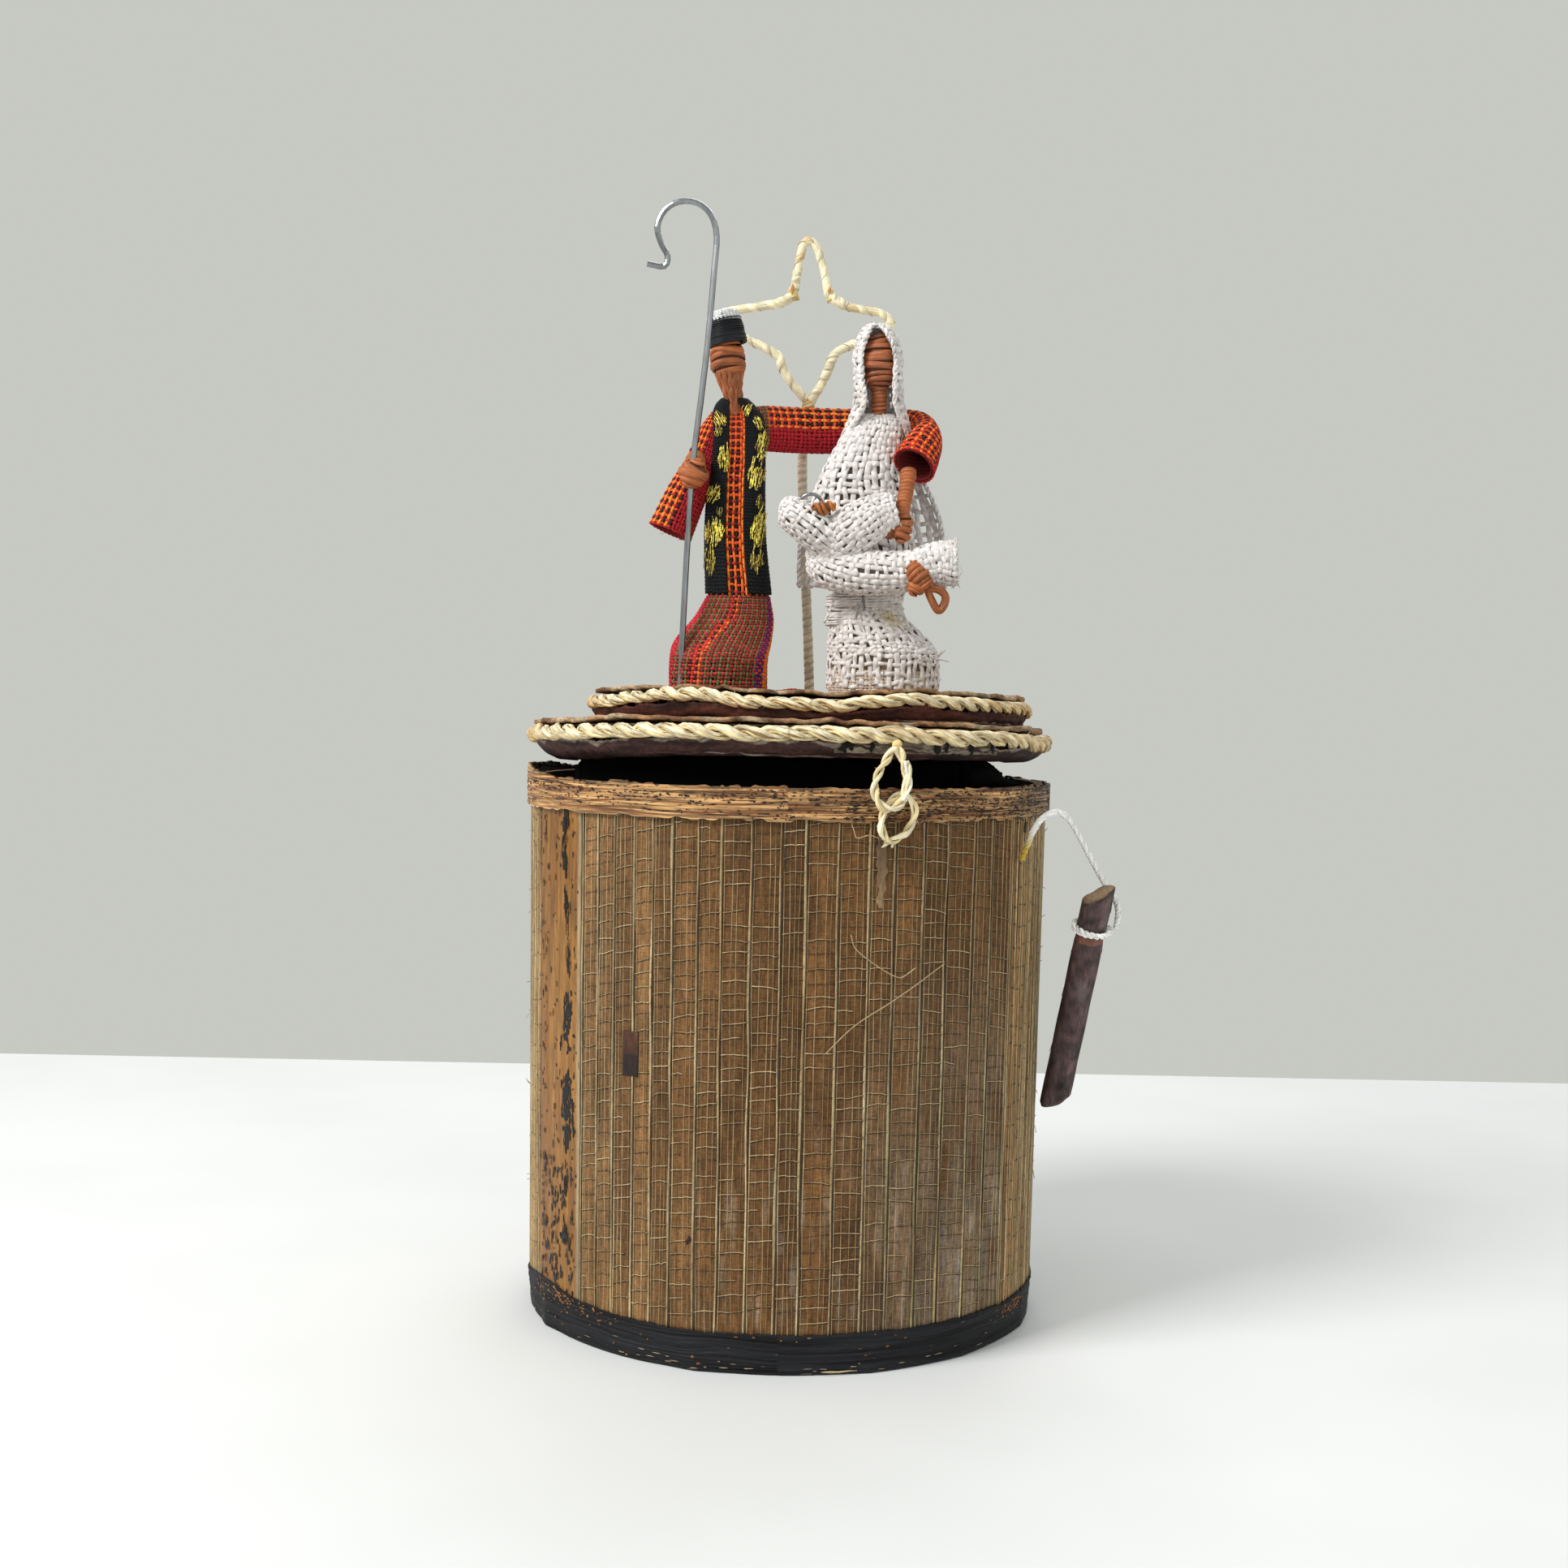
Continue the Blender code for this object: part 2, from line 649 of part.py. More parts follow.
def make_man(body, looks):
    stuffing("man_core", MAN_SLICES, looks["straw"], body)
    cloth_shell("man_robe", MAN_SLICES, CLOTH_THICK, looks["robe"], body)
    heights = [190.0, 198.0, 205.5, 218.5, 229.0, 236.5]
    front_panel("man_stole_left", MAN_SLICES, heights, -82.0, -17.0, looks["stole"], body)
    front_panel("man_stole_right", MAN_SLICES, heights, 14.0, 82.0, looks["stole"], body)
    bell = [
        (-27.4, -2.4, 236.0, 2.2, 2.0),
        (-29.4, -3.6, 229.0, 3.4, 3.0),
        (-32.0, -5.0, 218.0, 4.6, 4.0),
        (-33.6, -6.2, 207.0, 4.8, 4.6),
    ]
    sleeve("man_sleeve_right", bell, looks["check"], body)
    fist = ball("man_hand_right", (-27.0, -12.4, 220.0), (4.0, 3.3, 4.2), looks["wrap"], body)
    bore = strand(
        "crook_bore",
        [(-28.3, -12.4, 196.0), (-27.0, -12.4, 220.6), (-24.6, -12.4, 244.0)],
        2.3,
        looks["wire"],
        body,
    )
    cut(fist, as_mesh(bore))
    reach = [
        (-5.0, 1.4, 234.4, 5.4, 2.0),
        (0.0, 4.4, 235.0, 5.8, 2.4),
        (8.0, 7.0, 235.2, 5.8, 2.4),
        (18.0, 7.6, 235.2, 5.6, 2.4),
        (27.0, 7.0, 235.4, 5.4, 2.4),
        (33.6, 3.0, 233.4, 5.2, 2.4),
        (36.4, -3.4, 230.2, 4.6, 2.6),
        (34.6, -8.8, 226.6, 4.4, 2.8),
        (32.2, -11.4, 223.4, 3.8, 3.0),
    ]
    sleeve("man_sleeve_left", reach, looks["check"], body)
    forearm = [
        (31.2, -13.6, 219.0, 2.0, 2.0),
        (31.0, -17.2, 213.6, 2.0, 2.0),
        (29.0, -20.6, 209.2, 2.5, 2.2),
        (28.2, -21.4, 206.6, 1.6, 1.6),
    ]
    sleeve("man_hand_left", forearm, looks["wrap"], body)
    neck = [(-16.8, -3.0, 240.2), (-17.5, -3.8, 243.4)]
    strand("man_neck", neck, 3.6, looks["wrap"], body)
    head = ball("man_head", (-18.2, -4.2, 250.6), (5.0, 4.8, 6.6), looks["wrap"], body, lean=-6)
    lean = -19.0
    cap_at = (-18.4, -4.4, 257.6)
    band = [(4.9, 0.0), (4.1, 5.6)]
    bigger = [(radius + GAP, -GAP if height == 0.0 else height) for radius, height in band]
    cut(head, drum("cap_cutter", cap_at, bigger, lean, looks["stole"], body))
    drum("man_cap_band", cap_at, band, lean, looks["stole"], body)
    crown = [(4.0, 5.9), (4.0, 7.4), (3.2, 8.2)]
    drum("man_cap_top", cap_at, crown, lean, looks["linen"], body)


def as_mesh(tube):
    """A mesh copy of a tube, which a cut needs, in the tube's place."""
    graph = bpy.context.evaluated_depsgraph_get()
    mesh = bpy.data.meshes.new_from_object(tube.evaluated_get(graph))
    made = bpy.data.objects.new(tube.name + "_solid", mesh)
    made.parent = tube.parent
    bpy.context.scene.collection.objects.link(made)
    bpy.data.objects.remove(tube)
    return made


def make_woman(body, looks):
    under = [
        (STAND, 24.4, -7.0, 14.2, 9.2),
        (167.0, 24.4, -7.0, 14.4, 9.4),
        (170.3, 24.4, -7.0, 14.3, 9.3),
    ]
    clothed("woman_underskirt", under, looks["cotton"], body)
    clothed("woman_skirt", WOMAN_SKIRT_SLICES, looks["linen"], body)
    stuffing("woman_core", WOMAN_BODICE_SLICES, looks["straw"], body)
    cloth_shell("woman_bodice", WOMAN_BODICE_SLICES, CLOTH_THICK, looks["linen"], body)
    make_veil(body, looks)
    neck = [(22.0, -5.6, 239.2), (21.9, -7.0, 243.4)]
    strand("woman_neck", neck, 3.4, looks["wrap"], body)
    ball("woman_head", (21.6, -8.2, 251.7), (4.5, 4.3, 7.6), looks["wrap"], body)
    arm = [
        (9.2, -6.6, 229.0, 2.4, 2.4),
        (8.2, -7.0, 216.0, 3.2, 3.2),
        (6.2, -9.6, 202.2, 3.6, 3.6),
        (10.0, -16.0, 196.3, 3.8, 3.8),
        (20.0, -19.2, 195.6, 4.0, 4.0),
        (32.0, -19.8, 196.8, 4.2, 4.2),
        (41.0, -19.6, 196.6, 4.6, 4.6),
    ]
    sleeve("woman_sleeve", arm, looks["linen"], body)
    hand = [
        (32.4, -19.8, 189.4, 1.8, 2.2),
        (35.4, -20.2, 188.4, 1.8, 2.2),
        (38.4, -20.4, 187.0, 1.8, 2.0),
    ]
    sleeve("woman_hand", hand, looks["wrap"], body)


def make_veil(body, looks):
    """A hood and cape in one cloth, as a single layer that Solidify thickens."""
    columns = 14
    points = []
    for height, x, y, width, depth, half in VEIL_ARCS:
        for i in range(columns + 1):
            t = math.radians(-half + 2 * half * i / columns)
            points.append((x + width * math.sin(t), y + depth * math.cos(t), height))
    faces = []
    for row in range(len(VEIL_ARCS) - 1):
        for i in range(columns):
            low = row * (columns + 1) + i
            high = low + columns + 1
            faces.append((low, low + 1, high + 1, high))
    mesh = bpy.data.meshes.new("woman_veil")
    mesh.from_pydata(points, [], faces)
    mesh.shade_smooth()
    veil = settle("woman_veil", mesh, looks["linen"], body)
    thicken = veil.modifiers.new("Thickness", "SOLIDIFY")
    thicken.thickness = VEIL_THICK * MM
    thicken.offset = 0.0


def make_baby(body, looks):
    bundle = [
        (-2.2, -17.2, 210.4, 2.6, 2.6),
        (0.4, -17.2, 210.3, 4.4, 4.2),
        (5.0, -17.0, 210.0, 5.2, 4.9),
        (14.0, -16.9, 208.6, 5.3, 5.0),
        (21.0, -16.8, 207.4, 4.8, 4.6),
        (24.8, -16.8, 206.8, 3.2, 3.2),
    ]
    sleeve("baby_swaddle", bundle, looks["linen"], body)
    ball("baby_head", (9.6, -23.6, 212.4), (2.3, 1.6, 1.6), looks["wrap"], body)
    ring = []
    for i in range(14):
        t = 2 * math.pi * i / 14
        ring.append((3.4 + 3.2 * math.cos(t), -22.6 - 0.5 * math.sin(t), 213.0 + 2.8 * math.sin(t)))
    strand("baby_halo", ring, 0.8, looks["wire"], body, per_span=1, cyclic=True)


def main():
    for found in list(bpy.data.objects):
        bpy.data.objects.remove(found)
    looks = {
        "card": material("card", (0.20, 0.14, 0.09), 0.9),
        "lining": material("lining", (0.012, 0.010, 0.010), 0.85),
        "veneer": material("veneer", (0.30, 0.20, 0.11), 0.7),
        "fibre": material("fibre", (0.42, 0.29, 0.14), 0.75),
        "bark_orange": material("bark_orange", (0.45, 0.25, 0.09), 0.55),
        "band": material("band", (0.33, 0.20, 0.10), 0.6),
        "base_band": material("base_band", (0.025, 0.02, 0.022), 0.6),
        "bark_dark": material("bark_dark", (0.07, 0.035, 0.03), 0.8),
        "bark_brown": material("bark_brown", (0.16, 0.08, 0.05), 0.75),
        "raffia": material("raffia", (0.78, 0.62, 0.34), 0.5),
        "string": material("string", (0.82, 0.80, 0.72), 0.7),
        "twig": material("twig", (0.13, 0.075, 0.07), 0.75),
        "wire": material("wire", (0.45, 0.46, 0.48), 0.3, 1.0),
        "straw": material("straw", (0.55, 0.42, 0.24), 0.9),
        "robe": material("robe", (0.35, 0.03, 0.03), 0.85),
        "check": material("check", (0.55, 0.06, 0.03), 0.85),
        "stole": material("stole", (0.02, 0.02, 0.022), 0.6),
        "wrap": material("wrap", (0.32, 0.10, 0.04), 0.6),
        "linen": material("linen", (0.82, 0.80, 0.76), 0.9),
        "cotton": material("cotton", (0.62, 0.52, 0.38), 0.9),
    }
    box = (body_frame("box_frame", ROOT_AT), ROOT_AT)
    lid = (body_frame("lid_frame", LID_AT), LID_AT)
    loop = (body_frame("lid_loop_frame", LOOP_AT), LOOP_AT)
    peg = (body_frame("peg_frame", PEG_AT), PEG_AT)
    make_box(box, looks)
    make_hinge(box, lid, looks)
    make_lid(lid, looks)
    make_latch(box, loop, looks)
    make_peg(box, peg, looks)
    make_star(lid, looks)
    make_crook(lid, looks)
    make_man(lid, looks)
    make_woman(lid, looks)
    make_baby(lid, looks)


main()
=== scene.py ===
"""The looks of a bark-covered keepsake box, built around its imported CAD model.

Shapes are worked out in millimetres and become metres where a mesh is made. An angle round the box
is in degrees from the front, towards the right.
"""

import math
import zlib

import bpy
import numpy as np
from mathutils import Matrix, Vector


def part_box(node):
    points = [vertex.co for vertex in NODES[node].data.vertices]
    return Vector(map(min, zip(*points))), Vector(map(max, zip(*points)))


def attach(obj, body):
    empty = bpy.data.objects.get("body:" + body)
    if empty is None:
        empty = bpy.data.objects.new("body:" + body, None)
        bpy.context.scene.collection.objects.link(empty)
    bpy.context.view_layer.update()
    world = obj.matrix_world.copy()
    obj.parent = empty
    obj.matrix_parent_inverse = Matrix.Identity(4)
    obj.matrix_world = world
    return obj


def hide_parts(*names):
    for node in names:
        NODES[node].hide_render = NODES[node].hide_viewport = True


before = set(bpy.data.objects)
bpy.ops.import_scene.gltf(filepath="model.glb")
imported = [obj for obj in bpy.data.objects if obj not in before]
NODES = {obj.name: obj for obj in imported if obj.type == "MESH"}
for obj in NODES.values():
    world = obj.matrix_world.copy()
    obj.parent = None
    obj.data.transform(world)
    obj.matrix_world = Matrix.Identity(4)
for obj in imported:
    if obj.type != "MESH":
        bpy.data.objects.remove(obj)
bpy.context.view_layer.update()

MM = 0.001
SIDE_RADIUS = 67  # of the box's covering, near enough to turn lengths into angles
KNOTS = 64  # a field's values repeat after this many knots
SLOPE_STEP = 0.004  # how far apart a shape is read to find its slopes, as a share of it


# ---------------------------------------------------------------- numbers and shapes


def dice(name):
    """Random numbers that belong to one piece and are the same each run."""
    return np.random.default_rng(zlib.crc32(name.encode()))


def unit(vectors):
    return vectors / np.maximum(np.linalg.norm(vectors, axis=-1, keepdims=True), 1e-9)


def smooth(rows, count, loop=False):
    """Rows of numbers read at even steps along a smooth curve through them."""
    rows = np.asarray(rows, float)
    last = len(rows) if loop else len(rows) - 1
    at = np.linspace(0, last, count, endpoint=not loop)
    i = np.minimum(at.astype(int), last - 1)
    t = (at - i)[:, None]
    if loop:
        a, b, c, d = (rows[(i + k) % len(rows)] for k in (-1, 0, 1, 2))
    else:
        ends = np.vstack([2 * rows[0] - rows[1], rows, 2 * rows[-1] - rows[-2]])
        a, b, c, d = (ends[i + k] for k in range(4))
    return 0.5 * (2 * b + (c - a) * t + (2 * a - 5 * b + 4 * c - d) * t**2
                  + (3 * b - 3 * c + d - a) * t**3)


def spaced(route, step, loop=False):
    """The smooth curve through a route's points, with a point about every step."""
    fine = smooth(route, 60 * len(route), loop)
    if loop:
        fine = np.vstack([fine, fine[:1]])
    along = np.concatenate([[0], np.cumsum(np.linalg.norm(np.diff(fine, axis=0), axis=1))])
    count = max(4, int(round(along[-1] / step)))
    at = np.linspace(0, along[-1], count + 1)[: count if loop else count + 1]
    return np.stack([np.interp(at, along, fine[:, k]) for k in range(fine.shape[1])], 1)


def lengths(paths):
    """How far along each path its points are."""
    gone = np.cumsum(np.linalg.norm(np.diff(paths, axis=-2), axis=-1), axis=-1)
    return np.concatenate([np.zeros((*gone.shape[:-1], 1)), gone], axis=-1)


def drift(rng, count, every, size, loop=False):
    """A smooth random line: count numbers that change over about every places."""
    knots = rng.normal(0, size, max(4, int(count / every) + 3))
    return smooth(knots[:, None], count, loop)[:, 0]


def steady_normals(ahead):
    """Normals that turn as little as they can along a path."""
    normal = unit(np.cross(ahead[0], [0.31, 0.9, 0.17]))
    found = [normal]
    for direction in ahead[1:]:
        normal = unit(normal - direction * (normal @ direction))
        found.append(normal)
    return np.array(found)


class Shape:
    """A smooth skin of ellipses: at(u, v) runs u round the ellipse from 0 to 1 and v along it.

    Equal steps of u are about equal lengths of cloth.

    Each row is a centre, a side vector and a front vector. A quarter of the way round from the front
    is the side.
    """

    def __init__(self, centres, sides, fronts, start=0.0, end=1.0, folds=None):
        self.centres = centres
        self.sides = sides
        self.fronts = fronts
        rows = len(centres)
        self.start = np.broadcast_to(start, rows)
        self.end = np.broadcast_to(end, rows)
        self.folds = folds
        wide = np.linalg.norm(sides, axis=1).mean()
        deep = np.linalg.norm(fronts, axis=1).mean()
        turns = np.linspace(0, 1, 400)
        angle = 2 * np.pi * (self.start.mean() + (self.end.mean() - self.start.mean()) * turns)
        speed = np.hypot(wide * np.cos(angle), deep * np.sin(angle))
        gone = np.concatenate([[0], np.cumsum((speed[1:] + speed[:-1]) / 2)])
        self.even = (gone / gone[-1], turns)

    def read(self, rows, v):
        at = np.clip(v, 0, 1) * (len(rows) - 1)
        i = np.minimum(at.astype(int), len(rows) - 2)
        share = at - i
        if rows.ndim == 2:
            share = share[..., None]
        return rows[i] * (1 - share) + rows[i + 1] * share

    def plain(self, u, v):
        whole = np.floor(u)
        u = whole + np.interp(u - whole, *self.even)
        start = self.read(self.start, v)
        turn = 2 * np.pi * (start + (self.read(self.end, v) - start) * u)
        return (self.read(self.centres, v) + self.read(self.sides, v) * np.sin(turn)[..., None]
                + self.read(self.fronts, v) * np.cos(turn)[..., None])

    def at(self, u, v):
        """The points there, and the outward normals."""
        place = self.plain(u, v)
        across = self.plain(u + SLOPE_STEP, v) - self.plain(u - SLOPE_STEP, v)
        along = self.climb(u, v)
        out = unit(np.cross(across, along))
        if self.folds:
            place = place + out * self.folds(u, v)[..., None]
        return place, out

    def climb(self, u, v):
        """The way along the shape, over twice the slope step."""
        return self.plain(u, np.minimum(v + SLOPE_STEP, 1)) - self.plain(u, np.maximum(v - SLOPE_STEP, 0))

    def ring(self, v, count):
        """Even points round the shape at v."""
        return self.at(np.linspace(0, 1, count, endpoint=False), np.full(count, v))[0]

    def rings(self, rows, sides, high=1.0):
        """Rows of points round the shape from v = 0 to high, and their outward normals."""
        u = np.broadcast_to(np.arange(sides) / sides, (rows, sides))
        v = np.broadcast_to(np.linspace(0, high, rows)[:, None], (rows, sides))
        return self.at(u, v)


def garment(levels, rows=120, twist=0.0, **more):
    """A shape from level slices: height, centre x, centre y, half width, half depth."""
    z, x, y, width, depth = smooth(levels, rows).T
    zero = np.zeros(rows)
    centres = np.stack([x, y, z], 1)
    sides = np.stack([width, zero, zero], 1)
    fronts = np.stack([zero, -depth, zero], 1)
    turn = twist * np.linspace(1, 0, rows) ** 2
    start = more.pop("start", 0.0) + turn
    end = more.pop("end", 1.0) + turn
    return Shape(centres, sides, fronts, start=start, end=end, **more)


def limb(stations, rows=120, facing=(0, -1, 0), **more):
    """A shape along stations of (x, y, z, half height, half depth).

    Its front looks to facing, or level and across the limb's way where that is None.
    """
    rows_of = smooth(stations, rows)
    centres = rows_of[:, :3]
    ahead = unit(np.gradient(centres, axis=0))
    if facing is None:
        front = unit(np.cross(ahead, [0, 0, 1.0]))
    else:
        facing = np.array(facing, float)
        front = unit(facing - ahead * (ahead @ facing)[:, None])
    side = np.cross(ahead, front)
    return Shape(centres, side * rows_of[:, 3:4], front * rows_of[:, 4:5], **more)


CLOTH_SIDES = 14  # of a slice of the CAD's clothed solids


def levels_of(node):
    """A clothed CAD node's own slices, lowest first, as garment() takes them."""
    points = np.array([v.co for v in NODES[node].data.vertices]) / MM
    found = []
    for height in np.unique(points[:, 2].round(1)):
        ring = points[abs(points[:, 2] - height) < 0.06]
        least, most = ring.min(0), ring.max(0)
        middle, half = (least + most) / 2, (most - least) / 2
        found.append((height, middle[0], middle[1], half[0] / math.cos(math.pi / CLOTH_SIDES), half[1]))
    return found


def span(node):
    """A CAD node's lowest and highest corners in millimetres."""
    low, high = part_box(node)
    return np.array(low) / MM, np.array(high) / MM


def outer_radius(node):
    """The radius of a round CAD node's outside, as a function of height."""
    points = np.array([v.co for v in NODES[node].data.vertices]) / MM
    radius = np.hypot(points[:, 0], points[:, 1])
    low, high = points[:, 2].min(), points[:, 2].max()
    at_low = radius[points[:, 2] < low + 0.2].max()
    at_high = radius[points[:, 2] > high - 0.2].max()
    return lambda z: at_low + (at_high - at_low) * (z - low) / (high - low)


def round_box(radius, angle, z):
    """The point at that radius, angle and height."""
    turn = np.radians(angle)
    return np.stack(np.broadcast_arrays(radius * np.sin(turn), -radius * np.cos(turn), z), -1)


def round_at(x, radius, angle, z):
    """The same round an upright line at x."""
    return round_box(radius, angle, z) + (x, 0, 0)


def round_angles(count):
    """Even angles all the way round."""
    return np.linspace(0, 360, count, endpoint=False)


def from_front(angle):
    """The same angle as a number from -180, left of the front, to 180."""
    return (np.asarray(angle) + 180) % 360 - 180


def hump(value, middle, width):
    """A smooth bump of height 1."""
    return np.exp(-(((value - middle) / width) ** 2))


def no_rise(angle):
    """An edge that neither rises nor falls."""
    return 0 * angle


# ---------------------------------------------------------------- pieces


class Piece:
    """One object in the making: points, faces of four corners, and what each point carries.

    tint is a point's colour. lay is its place on its own strand: across, up and along.
    """

    def __init__(self):
        self.points = []
        self.faces = []
        self.tints = []
        self.lays = []
        self.count = 0

    def add(self, points, faces, tint, lay=None):
        points = np.asarray(points, float).reshape(-1, 3)
        self.faces.append(np.asarray(faces, int).reshape(-1, 4) + self.count)
        self.points.append(points)
        self.tints.append(np.broadcast_to(np.asarray(tint, float), points.shape))
        self.lays.append(points if lay is None else lay.reshape(-1, 3))
        self.count += len(points)

    def tubes(self, paths, half_width, half_height, tint, normals=None, sides=6, loop=False,
              twist=0.0, seed="tube"):
        """Closed strands along paths. Their flat side faces along the normals."""
        paths = np.asarray(paths, float)
        if paths.ndim == 2:
            paths = paths[None]
        many, rings = paths.shape[:2]
        if loop:
            ahead = unit(np.roll(paths, -1, 1) - np.roll(paths, 1, 1))
        else:
            ahead = unit(np.gradient(paths, axis=1))
        if normals is None:
            normals = np.array([steady_normals(directions) for directions in ahead])
        normals = np.asarray(normals, float).reshape(many, rings, 3)
        side = unit(np.cross(normals, ahead))
        up = np.cross(ahead, side)
        width = np.broadcast_to(half_width, (many, rings))[..., None, None]
        height = np.broadcast_to(half_height, (many, rings))[..., None, None]
        turn = 2 * np.pi * (np.arange(sides) + 0.5) / sides
        across = np.cos(turn)[:, None]
        rise = np.sin(turn)[:, None]
        points = paths[:, :, None] + side[:, :, None] * width * across + up[:, :, None] * height * rise
        along = lengths(paths) + dice(seed).uniform(0, 400, many)[:, None]
        spin = turn + twist * along[..., None]
        lay = np.stack([width[..., 0] * np.cos(spin), width[..., 0] * np.sin(spin),
                        np.broadcast_to(along[..., None], spin.shape)], -1)
        tint = np.asarray(tint, float)
        if tint.ndim < 3:
            tint = np.broadcast_to(tint, (many, rings, 3))
        tints = np.broadcast_to(tint[:, :, None], points.shape).reshape(-1, 3)
        ring = np.arange(sides)
        start = (np.arange(many)[:, None] * rings + np.arange(rings)) * sides
        near = start if loop else start[:, :-1]
        far = np.roll(start, -1, 1) if loop else start[:, 1:]
        near, far = near[..., None], far[..., None]
        after = (ring + 1) % sides
        walls = np.stack([near + ring, near + after, far + after, far + ring], -1).reshape(-1, 4)
        faces = [walls]
        if not loop:
            for k in range(1, sides - 2, 2):
                corners = np.array([0, k, k + 1, k + 2])
                faces.append(start[:, -1:] + corners)
                faces.append(start[:, :1] + corners[::-1])
        self.add(points, np.concatenate(faces), tints, lay)

    def grid(self, points, tint, across=False, along=False):
        """A sheet of points, rows by columns. across or along joins its last column or row on."""
        points = np.asarray(points, float)
        rows, columns = points.shape[:2]
        number = np.arange(rows * columns).reshape(rows, columns)
        if across:
            number = np.concatenate([number, number[:, :1]], 1)
        if along:
            number = np.concatenate([number, number[:1]], 0)
        faces = np.stack([number[:-1, :-1], number[:-1, 1:], number[1:, 1:], number[1:, :-1]], -1)
        tint = np.asarray(tint, float)
        if tint.ndim == 3:
            tint = tint.reshape(-1, 3)
        self.add(points, faces, tint)

    def closed(self, rings, tint):
        """A closed skin through rings that have an even number of points."""
        self.add(*capped(np.array(rings)), tint)

    def slab(self, outer, inner, tint, across=False, lining=None):
        """A closed shell between two sheets of the same size. The outer one faces out."""
        ring = np.concatenate([outer, inner[::-1]], 0)
        tint = np.asarray(tint, float)
        if tint.ndim == 3:
            within = tint[::-1] if lining is None else np.broadcast_to(lining, tint.shape)
            tint = np.concatenate([tint, within], 0)
        rows = len(outer)
        before = self.count
        self.grid(ring, tint, across=across, along=True)
        if not across:
            columns = ring.shape[1]
            low = before + np.arange(2 * rows) * columns
            for edge, turned in ((low, False), (low + columns - 1, True)):
                front, back = edge[:rows], edge[rows:][::-1]
                caps = np.stack([front[:-1], front[1:], back[1:], back[:-1]], -1)
                self.faces.append(caps[:, ::-1] if turned else caps)

    def make(self, name, look, body, slot, replaces=()):
        """The finished object, on its body, hiding the CAD nodes that it stands for. Its slot is not used.
        """
        points = np.concatenate(self.points) * MM
        faces = np.concatenate(self.faces)
        mesh = bpy.data.meshes.new(name)
        mesh.vertices.add(len(points))
        mesh.vertices.foreach_set("co", points.ravel())
        mesh.loops.add(faces.size)
        mesh.loops.foreach_set("vertex_index", faces.ravel())
        mesh.polygons.add(len(faces))
        mesh.polygons.foreach_set("loop_start", np.arange(0, faces.size, 4))
        mesh.update(calc_edges=True)
        mesh.shade_smooth()
        tints = np.concatenate([np.clip(np.concatenate(self.tints), 0, 4),
                                np.ones((self.count, 1))], 1)
        mesh.attributes.new("tint", "FLOAT_COLOR", "POINT").data.foreach_set("color", tints.ravel())
        lays = np.concatenate(self.lays)
        mesh.attributes.new("lay", "FLOAT_VECTOR", "POINT").data.foreach_set("vector", lays.ravel())
        mesh.materials.append(LOOKS[look])
        made = bpy.data.objects.new(name, mesh)
        bpy.context.scene.collection.objects.link(made)
        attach(made, body)
        if replaces:
            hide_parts(*replaces)
        return made


# ---------------------------------------------------------------- materials


